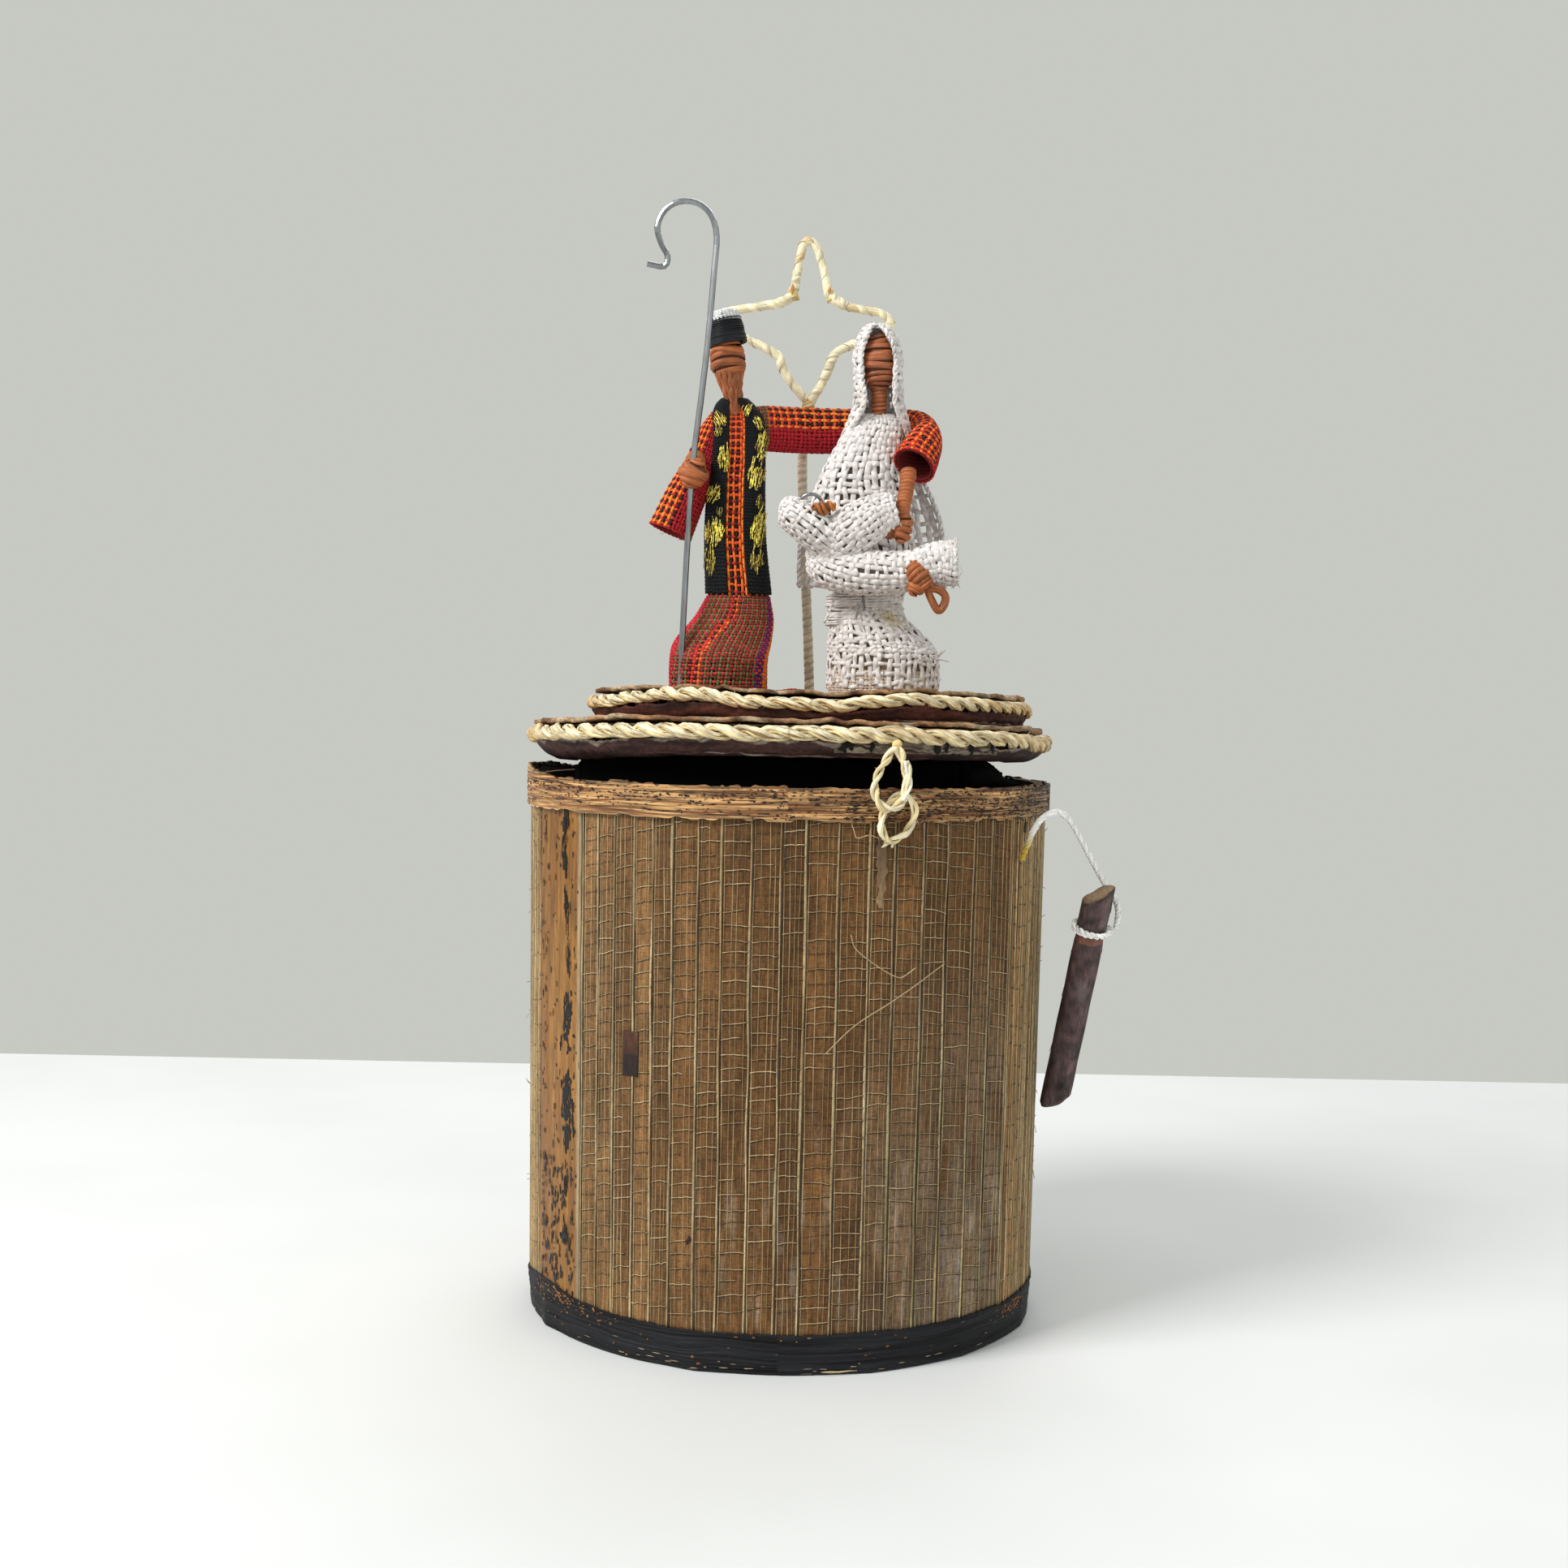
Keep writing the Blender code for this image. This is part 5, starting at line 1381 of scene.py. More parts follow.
def rope(name, cad, x=0.0, rise=no_rise, pitch=13.5, seed="rope"):
    """Two strands of raffia, each of a few ribbons, twisted and glued round a disc's edge."""
    low, high = span(cad)
    thick = (high[2] - low[2]) / 2
    ring = (high[0] - low[0]) / 2 - thick
    middle = (low[2] + high[2]) / 2
    angle = round_angles(180)
    wander = 0.25 * field(seed + "wander", field_round(angle), 0 * angle)
    reach = ring + 0.15 * field(seed + "out", field_round(angle), 2 + 0 * angle)
    route = round_at(x, reach, angle, middle + rise(angle) + wander)
    piece = Piece()
    rng = dice(name)
    path = spaced(route, 0.7, True)
    count = len(path)
    ahead = unit(np.roll(path, -1, 0) - np.roll(path, 1, 0))
    side = unit(np.cross(np.array([0, 0, 1.0]), ahead))
    up = np.cross(ahead, side)
    turns = round(lengths(path)[-1] / pitch)
    sway = drift(rng, count, 30, 0.5, True)
    facing = np.degrees(np.arctan2(path[:, 0] - x, -path[:, 1]))
    left = ease(-np.abs((facing + 86) / 16), -1.6, -0.6) + 0.75 * ease(facing, 30, 75)
    for strand in range(2):
        turn = 2 * np.pi * (turns * np.arange(count) / count + strand / 2) + sway
        out = side * np.cos(turn)[:, None] + up * np.sin(turn)[:, None]
        tangent = np.cross(ahead, out)
        swell = 1 + drift(rng, count, 12, 0.10, True)
        for ply in range(5):
            spot = 2 * np.pi * ply / 5 + turn + drift(rng, count, 14, 0.3, True)
            across = np.cos(spot) * thick * 0.36 * swell
            rise_of = (np.sin(spot) * thick * 0.22 + thick * 0.48) * swell
            line = path + out * rise_of[:, None] + tangent * across[:, None]
            stain = np.clip(drift(rng, count, 30, 0.55, True) - 0.45, 0, 0.75)
            tint = blend_of(np.clip(stain + 0.6 * left, 0, 0.85), CREAM if ply % 2 else PALE, HONEY)
            tint = tint * (1 + drift(rng, count, 9, 0.13, True) + rng.normal(0, 0.05))[:, None]
            # Plies at each strand's edges, where the two strands meet, are darkened: painted shade in the
            # gaps.
            deep = ease(np.cos(spot) ** 2, 0.75, 1.0)
            tint = blend_of(deep * 0.45, tint, np.array((0.36, 0.20, 0.06)))
            wide = thick * 0.34 * (1 + drift(rng, count, 5, 0.12, True))
            piece.tubes(line, wide, thick * 0.24, tint[None], normals=out, sides=6, loop=True,
                        seed=f"{name}{strand}{ply}")
        # The brown core shows in the gaps between the strands as painted shade.
        piece.tubes(path + out * (thick * 0.46), thick * 0.46, thick * 0.36, np.array((0.30, 0.18, 0.06)),
                    normals=out, sides=8, loop=True, seed=f"{name}{strand}core")
    frays(piece, route, 30, 3.0, name + "frays", PALE, 0.07)
    return piece.make(name, "rope", "lid", "raffia", [cad])


def frays(piece, route, count, reach, seed, colour, thick=0.09):
    """Loose fibres that stand off a strand."""
    rng = dice(seed)
    paths = []
    for _ in range(count):
        k = rng.integers(1, len(route) - 1)
        ahead = unit(route[k] - route[k - 1])
        away = unit(rng.normal(0, 1, 3) + np.array([0, -0.3, 0.2]))
        size = reach * rng.uniform(0.35, 1.0)
        share = np.linspace(0, 1, 7)[:, None]
        paths.append(route[k] + ahead * share * size * rng.choice([-1, 1])
                     + away * (share**1.7 * size * 0.7 + 0.8))
    piece.tubes(np.array(paths), thick * np.linspace(1, 0.4, 7), thick * np.linspace(1, 0.4, 7),
                colour, sides=4, seed=seed)


def folded_flap():
    """A torn black fold of the neck's card that stands up at the right."""
    knots = np.array([(44.0, 145.6), (49.0, 145.9), (54.0, 144.6), (60.0, 143.4), (66.0, 142.6)])
    turn, top = smooth(knots, 24).T
    low = 141.0 + 0 * top
    share = np.linspace(0, 1, 6)[:, None]
    z = low + (top + 0.25 * field("flap", turn, 0 * turn) - low) * share
    reach = 63.6 + 1.4 * np.sin(np.pi * share) + 0 * turn
    piece = Piece()
    piece.slab(round_box(reach, turn + 0 * share, z), round_box(reach - 0.5, turn + 0 * share, z),
               (0.004, 0.004, 0.0045))
    piece.make("neck_fold", "lining", "root", "lining")


FLUTE_HOLES = np.array([  # angle, half width and half height
    (10.8, 1.0, 1.5), (12.4, 0.6, 1.2), (16.6, 0.8, 1.4), (22.4, 0.5, 1.1),
    (31.5, 1.2, 1.6), (34.0, 0.6, 1.2), (40.6, 1.0, 1.5), (47.5, 0.8, 1.2),
])


def card_edge():
    """The lid card's open flutes, where the bark below the rope is torn away. Their openings are near-black
    flecks: painted shade.
    """
    turn = np.linspace(9, 50, 90)
    share = np.linspace(0, 1, 8)[:, None]
    rise = lid_rise(turn)
    z = 149.3 + 0.3 * rise + (2.3 + 0.5 * rise) * share + 0.12 * field("card edge", turn, 5 * share)
    reach = 67.4 + 0.25 * field("card wear", turn / 2, 3 * share)
    tone = ease(field("card tone", turn / 3, 2 * share), -1.2, 1.2)
    piece = Piece()
    tint = blend_of(tone, (0.13, 0.10, 0.065), (0.30, 0.26, 0.18))
    piece.slab(round_box(reach, turn + 0 * share, z), round_box(reach - 0.6, turn + 0 * share, z), tint)
    # Near-black flecks for the flutes' openings: painted shade inside them.
    angles, wide, tall = FLUTE_HOLES.T
    flecks(piece, lambda z: 68.15 + 0 * z, angles, 150.3 + 0.7 * lid_rise(angles), wide, tall,
           (0.004, 0.003, 0.003), "flute holes")
    piece.make("card_edge", "dark_bark", "lid", "card")


def make_lid():
    dark = bark_colour((0.035, 0.014, 0.016), (0.10, 0.04, 0.035), (0.30, 0.24, 0.19))
    brown = bark_colour((0.12, 0.052, 0.024), (0.36, 0.20, 0.095), (0.52, 0.40, 0.26))
    sheet_disc("under_cover", "lid_under_cover", dark, "dark_bark", "bark_dark", rag=0.3, inset=3.0)
    skirt("under_cover_edge", 0.0, 58.3, 147.2, 150.8, skirt_colour,
          torn_at=((29, 17, 1.5), (52, 5, 0.8), (318, 5, 0.8)), rise=lid_rise, lean=9.7, sag=1.3,
          replaces=["lid_cover_lip"])
    flutes("lid_card", "lid_core", rise=lid_rise)
    rope("lower_rope", "lid_rope", rise=lid_rise, seed="lower")
    sheet_disc("top_cover", "lid_top_cover", brown, "dark_bark", "bark_brown", rag=1.1, thick=1.1,
               rise=lambda a: lid_rise(a) + 0.1 + 0.3 * field("cover lift", np.asarray(a) / 11, 0 * a))
    sheet_disc("tier_under", "tier_under_cover", dark, "dark_bark", "bark_dark", x=TIER_X,
               rise=lambda a: 1.3 * np.clip(np.cos(np.radians(a)), 0, 1), rag=0.5)
    skirt("tier_under_edge", TIER_X, 55.2, 156.3, 158.7, tier_colour, torn_at=((300, 8, 0.6), (40, 5, 0.6)),
          rise=lambda a: 0.75 * tier_rise(a), lean=3.2)
    flutes("tier_card", "tier_core", x=TIER_X, rise=lambda a: 0.3 * tier_rise(a))
    rope("upper_rope", "tier_rope", x=TIER_X, rise=lambda a: 0.75 * tier_rise(a), pitch=12.0, seed="upper")
    folded_flap()
    card_edge()
    sheet_disc("tier_top", "tier_top_cover", brown, "dark_bark", "bark_brown", x=TIER_X, rag=1.0, thick=0.9,
               rise=lambda a: 0.6 * tier_rise(a) + 0.3)


# ---------------------------------------------------------------- loops, string and peg

STRING_ROUTE = [(58.9, -38.1, 122.9), (60.2, -38.9, 126.6), (61.8, -39.1, 130.8), (64.2, -38.6, 133.9),
                (67.7, -37.8, 135.2), (71.1, -35.4, 133.2), (74.8, -31.6, 128.0), (78.9, -27.8, 121.3),
                (82.2, -25.7, 116.2), (84.6, -25.9, 112.6), (85.5, -27.1, 109.6), (85.2, -27.9, 106.6),
                (84.75, -28.1, 104.9)]
STRING_THICK = 1.7
STRING_LAY = 3.3  # millimetres along the string for each turn of its plies
PEG_TOP = np.array((79.7, -31.0, 114.1))
PEG_BOTTOM = np.array((72.2, -14.0, 57.6))
PEG_RADIUS = 3.75
PEG_TIE = 10.2  # from the peg's upper end
LOOP_PIVOT = np.array((25.2, -67.8, 151.2))
LID_LOOP = [(-0.3, 0, 0), (-2.6, -0.9, -3.1), (-4.8, -2.2, -7.5), (-4.8, -2.9, -11.7), (-2, -2.8, -14.3),
            (1.2, -2.4, -12.7), (2.4, -1.6, -7.9), (1.6, -0.7, -3.3)]
BODY_LOOP = [(24, 129.2), (22, 132.6), (22.6, 136.4), (25.2, 139.6), (28.4, 139.4), (30, 135.6), (27.8, 131)]
WHITE = np.array((1.0, 1.0, 0.985))


def make_string():
    """The cord of three plies with its dyed end, its loose fibres, and its route."""
    piece = Piece()
    route = spaced(STRING_ROUTE, 0.35)
    count = len(route)
    share = np.linspace(0, 1, count)
    thin = STRING_THICK / 2 * (0.78 + 0.16 * ease(share, 0.0, 0.15))
    dyed = blend_of(ease(share, 0.05, 0.16), (0.72, 0.50, 0.06), WHITE)
    ahead = unit(np.gradient(route, axis=0))
    normal = steady_normals(ahead)
    side = np.cross(normal, ahead)
    for ply, tone in enumerate((1.0, 0.97, 0.93)):
        turn = 2 * np.pi * (lengths(route) / STRING_LAY + ply / 3)
        out = side * np.cos(turn)[:, None] + normal * np.sin(turn)[:, None]
        swell = 1 + drift(dice(f"string{ply}"), count, 6, 0.07)
        piece.tubes(route + out * (thin * 0.54)[:, None], thin * 0.62 * swell, thin * 0.54 * swell,
                    (dyed * tone)[None], normals=out, sides=8, seed=f"string{ply}")
    cord = piece.make("string_cord", "string", "root", "string", ["peg_string"])
    loose = Piece()
    frays(loose, route[:14], 9, 4.5, "string end", (0.70, 0.52, 0.12), 0.10)
    frays(loose, route, 16, 1.6, "string fuzz", WHITE * 0.95, 0.045)
    fuzz = loose.make("string_fuzz", "string", "root", "string")
    return cord, fuzz, route


PEG_BARK = np.array((0.075, 0.042, 0.042))
PEG_WOOD = np.array((0.42, 0.27, 0.15))
PEG_LOW_WOOD = np.array((0.62, 0.43, 0.25))
PEG_SLANTS = (0.75, 0.6)  # of its upper and lower cut ends
PEG_AXIS = unit(PEG_BOTTOM - PEG_TOP)
PEG_SIDE = unit(np.cross(PEG_AXIS, (0, 1.0, 0)))
PEG_FACE = unit(np.cross(PEG_AXIS, PEG_SIDE))


def make_peg():
    """The stick with its bark, slanting ends, tie groove and knot."""
    axis, side, face = PEG_AXIS, PEG_SIDE, PEG_FACE
    length = np.linalg.norm(PEG_BOTTOM - PEG_TOP)
    rng = dice("peg")
    sides, rows = 48, 150
    turn = 2 * np.pi * np.arange(sides) / sides
    out = side * np.cos(turn)[:, None] + face * np.sin(turn)[:, None]
    wave = sum(rng.normal(0, 0.045) * np.cos(k * turn + rng.uniform(0, 6)) for k in range(2, 6))
    rings, tints = [], []

    def ring(along, radius, slant, tint):
        shear = -np.cos(turn) * slant * radius
        place = (PEG_TOP + axis * (length * along))[None] + out * (radius * (1 + wave))[:, None]
        rings.append(place + axis * shear[:, None])
        tints.append(np.broadcast_to(tint, (sides, 3)) * (1 + rng.normal(0, 0.04, (sides, 1))))

    for share, tone in ((0.05, 0.7), (0.5, 0.7), (0.93, 0.45)):
        ring(0.0, PEG_RADIUS * share, PEG_SLANTS[0], PEG_WOOD * tone)
    for k in range(rows):
        along = 0.004 + 0.992 * k / (rows - 1)
        slant = PEG_SLANTS[0] * (1 - ease(along, 0, 0.25)) + PEG_SLANTS[1] * ease(along, 0.75, 1.0)
        gone = along * length - PEG_TIE
        groove = 0.34 * hump(gone, 0.0, 1.0) + 0.2 * hump(gone, 2.0, 1.1)
        round_knot = (turn - 4.4 + np.pi) % (2 * np.pi) - np.pi
        bump = 0.22 * hump(gone, 9, 2.4) * hump(round_knot, 0, 0.5)
        radius = PEG_RADIUS * (1 - groove / PEG_RADIUS + 0.012 * math.sin(along * 22)) + bump - 0.03
        shade = PEG_BARK * (1 + 0.5 * field("peg bark", turn * 2, along * 30 + 0 * turn))[:, None]
        stripped = ease(gone, 0.7, 1.1) * (1 - ease(gone, 2.7, 3.1))
        shade = blend_of(stripped * np.ones(sides), shade, (0.22, 0.085, 0.055))
        grey = ease(field("peg grey", turn * 1.5, along * 9 + 0 * turn), 0.2, 1.6) * 0.5
        shade = blend_of(grey, shade, (0.17, 0.13, 0.125))
        ring(along, radius, slant, shade)
    for share in (0.95, 0.5, 0.05):
        ring(1.0, PEG_RADIUS * share, PEG_SLANTS[1], PEG_LOW_WOOD)
    piece = Piece()
    points, faces = capped(np.array(rings))
    piece.add(points, faces[:, ::-1], np.concatenate(tints))
    for number in range(46):
        row = rng.integers(4, rows - 4)
        which = rng.integers(0, sides)
        start = rings[row][which]
        strip = start + axis * np.linspace(0, rng.uniform(0.8, 3.0), 5)[:, None]
        strip = strip + out[which] * np.linspace(0, 1, 5)[:, None] ** 2 * rng.uniform(0, 0.35)
        piece.tubes(strip, rng.uniform(0.08, 0.28), 0.07, PEG_BARK * rng.uniform(0.6, 1.8), sides=4,
                    normals=np.tile(out[which], (5, 1)), seed=f"flake{number}")
    return piece.make("peg_stick", "twig", "peg", "twig", ["toggle_peg"])


def make_tie():
    """Two turns of string round the peg, and their knot."""
    tie = Piece()
    axis, side, face = PEG_AXIS, PEG_SIDE, PEG_FACE
    at = PEG_TOP + axis * PEG_TIE
    reach = PEG_RADIUS + 0.55
    for turned, radius, lift in ((0.0, reach, 0.0), (0.35, reach + 0.15, -1.3)):
        angle = np.linspace(0, 2 * np.pi, 26, endpoint=False)
        loop = at + side * (np.cos(angle) * radius)[:, None] + face * (np.sin(angle) * radius)[:, None]
        loop = loop + axis * (lift * 0.5 + turned * np.cos(angle - 0.6))[:, None]
        twisted(tie, loop, 0.8, 3.0, [WHITE, WHITE * 0.93], step=0.4, loop=True, seed=f"tie{lift}")
    knot = at + side * (reach + 0.2) + face * (-1.2)
    wound_ball(tie, knot, (1.6, 1.5, 1.5), 3.5, 0.55, 0.45, WHITE, seed="tie knot", steps=22)
    return tie.make("peg_wrap", "string", "peg", "string", ["peg_tie"])


def make_cords():
    cord, fuzz, route = make_string()
    peg = make_peg()
    tie = make_tie()


def make_latch():
    points = LOOP_PIVOT + np.array(LID_LOOP)
    piece = Piece()
    twisted(piece, points, 1.2, 10.0, [CREAM * 1.05, PALE], step=0.5, loop=True, seed="lid loop", rough=0.2)
    doubled = points[[7, 6, 5]] + (0.7, -0.9, 0.4)
    twisted(piece, doubled, 0.9, 9.0, [PALE, WHITE * (1, 0.97, 0.85)], step=0.5, seed="lid loop double",
            rough=0.2)
    wound_ball(piece, LOOP_PIVOT + (0.1, 0.5, 0.9), (1.2, 1.0, 1.2), 3, 0.8, 0.3, CREAM * (1, 0.85, 0.7),
               seed="lid loop knot")
    frays(piece, spaced(points, 1.5), 10, 2.4, "lid loop fibres", WHITE, 0.06)
    piece.make("upper_loop", "raffia", "lid_loop", "raffia", ["lid_loop"])

    radius = outer_radius("core_tube")
    ring = []
    for x, z in BODY_LOOP:
        reach = radius(z) + 3.55
        ring.append((x, -math.sqrt(reach**2 - x**2), z))
    piece = Piece()
    twisted(piece, ring, 1.1, 9.0, [PALE * 0.95, CREAM], step=0.5, loop=True, seed="body loop", rough=0.22)
    ends = np.array(ring[0])
    for shift, drop in ((-1.6, 1.9), (0.9, 1.4)):
        tail = [ends, ends + (shift * 0.5, 1.2, -drop * 0.4), ends + (shift, 2.2, -drop)]
        twisted(piece, tail, 0.6, 5.0, [PALE * 0.8, CREAM * 0.8], step=0.4, seed=f"body loop tail{shift}")
    frays(piece, spaced(ring, 1.5), 8, 2.2, "body loop fibres", PALE, 0.06)
    piece.make("lower_loop", "raffia", "root", "raffia", ["body_loop"])


def make_hinge():
    low, high = span("hinge_twine")
    middle, reach = (low + high) / 2, (high[0] - low[0]) / 2
    piece = Piece()
    bar = [middle - (reach, 0, 0), middle, middle + (reach, 0, 0)]
    twisted(piece, bar, (high[2] - low[2]) / 2, 3.4, [PALE, CREAM], step=0.4, seed="hinge bar")
    piece.make("hinge_bar", "raffia", "root", "raffia", ["hinge_twine"])
    for side in ("left", "right"):
        node = "hinge_loop_" + side
        low, high = span(node)
        middle, half = (low + high) / 2, (high - low) / 2
        turn = np.linspace(0, 2 * np.pi, 14, endpoint=False)
        ring = np.stack([middle[0] + 0 * turn, middle[1] + (half[1] - 0.7) * np.cos(turn),
                         middle[2] + (half[2] - 0.7) * np.sin(turn)], 1)
        piece = Piece()
        twisted(piece, ring, 0.7, 3.2, [CREAM, PALE], step=0.4, loop=True, seed=node)
        piece.make("stitch_" + side, "raffia", "lid", "raffia", [node])


# ---------------------------------------------------------------- star and crook

POLE = [(5.3, 163.5), (4.6, 178.3), (3.7, 194), (2.7, 211.5), (2.1, 229), (3.1, 241.8)]
STAR = [(3.3, 243.6), (-2.5, 250.5), (-5.6, 256.4), (-12.7, 260.1), (-20, 263.8), (-22.6, 266.4),
        (-19, 268), (-5.4, 270.5), (-1.6, 272.9), (-0.3, 279), (1, 285.9), (2.7, 287.4), (4.8, 285.9),
        (7, 279.5), (8.8, 272.8), (13.5, 270), (22.8, 268.2), (25.4, 265.6), (22.6, 262.5), (14, 259.2),
        (10.2, 256.6), (7.6, 250.2)]
STAR_DEPTH = 11.6
STAR_RADII = (1.25, 1.15, 1.3, 1.1, 1.05, 1.2, 1.1, 1.15, 1.35, 1.2, 1.05, 1.2, 1.1, 1.1, 1.35, 1.1, 1.1,
              1.25, 1.2, 1.1, 1.3, 1.15, 1.3)  # at each point of the star and back at the first
POLE_STRAW = np.array((0.80, 0.72, 0.55))
STAR_STRAW = np.array((0.95, 0.87, 0.60))
GLUE_BEADS = (  # centre and half sizes
    ((3.0, 10.1, 243.4), (0.7, 0.5, 1.2)), ((-1.6, 10.2, 274.2), (0.5, 0.4, 1.4)),
    ((8.6, 10.2, 274.0), (0.5, 0.4, 0.9)), ((3.4, 10.0, 240.4), (0.8, 0.4, 0.8)),
)
HALO = np.array((4.3, -19.0, 212.6))


def make_star():
    pole = np.array([(x, STAR_DEPTH, z) for x, z in POLE])
    star = np.array([(x, STAR_DEPTH, z) for x, z in STAR])
    piece = Piece()
    wound(piece, pole, 1.32, 2.1, POLE_STRAW, step_turn=18, overlap=1.12, thick=0.06, seed="pole",
          lean=0.03, rough=0.4)
    piece.make("pole_wrap", "raffia", "lid", "straw", ["star_pole"])
    piece = Piece()
    ring = np.vstack([star, star[:1] + (0.3, -0.3, -0.6)])
    path = spaced(ring, 0.5)
    rng = dice("star")
    girth = np.interp(np.linspace(0, 1, len(path)), np.linspace(0, 1, len(STAR_RADII)), STAR_RADII)
    girth = girth * (0.96 + drift(rng, len(path), 9, 0.05))
    stained = blend_of(np.clip(drift(rng, len(path), 14, 0.5) - 0.35, 0, 0.6), STAR_STRAW, HONEY)
    out = unit(np.cross(unit(np.gradient(path, axis=0)), (0.0, 1.0, 0.0)))
    piece.tubes(path, girth, girth, stained[None], normals=out, sides=12, seed="star body")
    wound(piece, ring, np.array(STAR_RADII) * 1.02, 5.4, STAR_STRAW, step_turn=30, overlap=0.42,
          thick=0.10, seed="star", stain=HONEY, rough=0.6)
    for k, (first, last) in enumerate(((7, 9), (14, 15), (17, 19), (20, 22))):
        stretch = smooth(star[first:last + 1], 40)
        wound(piece, stretch, 1.34, 2.6, STAR_STRAW * 0.98, step_turn=24, overlap=0.6, thick=0.12,
              seed=f"star over{k}", rough=0.8)
    for place, size in ((star[0] + (0.2, -0.4, -1.4), 1.75), (star[8] + (0.3, -0.2, 0.2), 1.35),
                        (star[14], 1.35)):
        bend = place + np.array([(-0.5, 0, 1.3), (0, 0, 0), (0.4, 0, -1.5)])
        wound(piece, bend, size, 0.9, CREAM * (0.95, 0.85, 0.7), overlap=1.4, seed=f"joint{size}{place[0]}")
    frays(piece, spaced(star, 2), 12, 2.0, "star fibres", PALE, 0.06)
    piece.make("star_wrap", "raffia", "lid", "straw", ["star_frame"])
    glue = Piece()
    for at, size in GLUE_BEADS:
        glue.closed(ball(9, 12, 0.03) * size + at, (0.58, 0.27, 0.045))
    glue.make("glue_beads", "glue", "lid", "straw")


def make_wires():
    """The crook, which keeps its CAD shape, and the ring behind the baby's head."""
    paint("crook", "wire")
    turn = 2 * np.pi * np.arange(60) / 60
    halo = Piece()
    ring = HALO + np.stack([3.0 * np.cos(turn), -1.2 * np.sin(turn), 2.9 * np.sin(turn)], 1)
    halo.tubes(ring, 0.5, 0.5, (0.36, 0.37, 0.37), normals=unit(ring - HALO), sides=10, loop=True,
               seed="halo")
    halo.make("halo_ring", "wire", "lid", "wire", ["baby_halo"])


# ---------------------------------------------------------------- figures


def check_yarns(kind, number, u, v):
    """Warps black and yellow, wefts red."""
    even = (np.asarray(number) % 2 == 0)[..., None]
    if kind == "warp":
        return np.where(even, BLACK, YELLOW)
    return np.where(even, RED * (1, 0.8, 0.8), RED * (1.15, 2.2, 1.4))


def robe_top_yarns(kind, number, u, v):
    """Orange and black warps, with two yellow lines down the front, and red wefts."""
    middle = np.abs((np.asarray(u) + 0.5) % 1 - 0.5)[..., None]
    even = (np.asarray(number) % 2 == 0)[..., None]
    if kind == "weft":
        return np.where(even, RED * (0.9, 0.8, 0.8), RED * (1.25, 2.6, 1.4))
    tint = np.where(even, BLACK, (0.84, 0.15, 0.015))
    return np.where((middle > 0.047) & (middle < 0.062), YELLOW, tint)


def robe_skirt_yarns(kind, number, u, v):
    """Green and red speckles, with a bright stripe down the middle that drifts to the left."""
    even = (np.asarray(number) % 2 == 0)[..., None]
    turn = ((np.asarray(u) + 0.5) % 1 - 0.5)[..., None]
    stripe = turn - (-0.008 - 0.062 * ease(-v, -0.95, -0.2))[..., None]
    if kind == "weft":
        tone = ease(field("skirt red", number * 0.7, u * 20), -1.5, 1.2)
        tint = blend_of(tone, (0.30, 0.020, 0.018), (0.60, 0.035, 0.040))
        orange = hump(turn, 0.245, 0.02) + 0.5 * hump(stripe, 0, 0.010)
        return blend_of(np.clip(orange[..., 0], 0, 1) * 0.8, tint, (0.90, 0.20, 0.015))
    tint = np.where(even, (0.105, 0.20, 0.060), (0.085, 0.060, 0.022))
    tint = np.where(np.abs(stripe) < 0.026, np.where(even, RED * 0.9, (0.03, 0.012, 0.010)), tint)
    tint = np.where(np.abs(stripe - 0.018) < 0.006, YELLOW * 0.9, tint)
    tint = np.where((turn < -0.175) & (stripe < -0.05), (0.55, 0.018, 0.04), tint)
    tint = np.where((turn > 0.19) & (turn < 0.235), (0.075, 0.025, 0.20), tint)
    return np.where((turn > 0.235) & (turn < 0.26), (0.90, 0.22, 0.02), tint)


def robe_slices(grow=0.0):
    """The robe's slices above its skirt, drawn in to the cloth's own width, up to the neck."""
    rows = [row for row in levels_of("man_robe") if 188 < row[0] < 238]
    slim = lambda z: np.interp(z, (190, 205, 218, 230, 237), (0.90, 0.88, 0.85, 0.79, 0.77))
    rows = [(z, x, y, wide * slim(z), deep) for z, x, y, wide, deep in rows]
    rows = rows + [(240.2, -16.2, -2.8, 4.7, 3.0), (242.0, -16.4, -3.0, 3.0, 2.4)]
    return [(z, x, y, wide + grow, deep + grow) for z, x, y, wide, deep in rows]


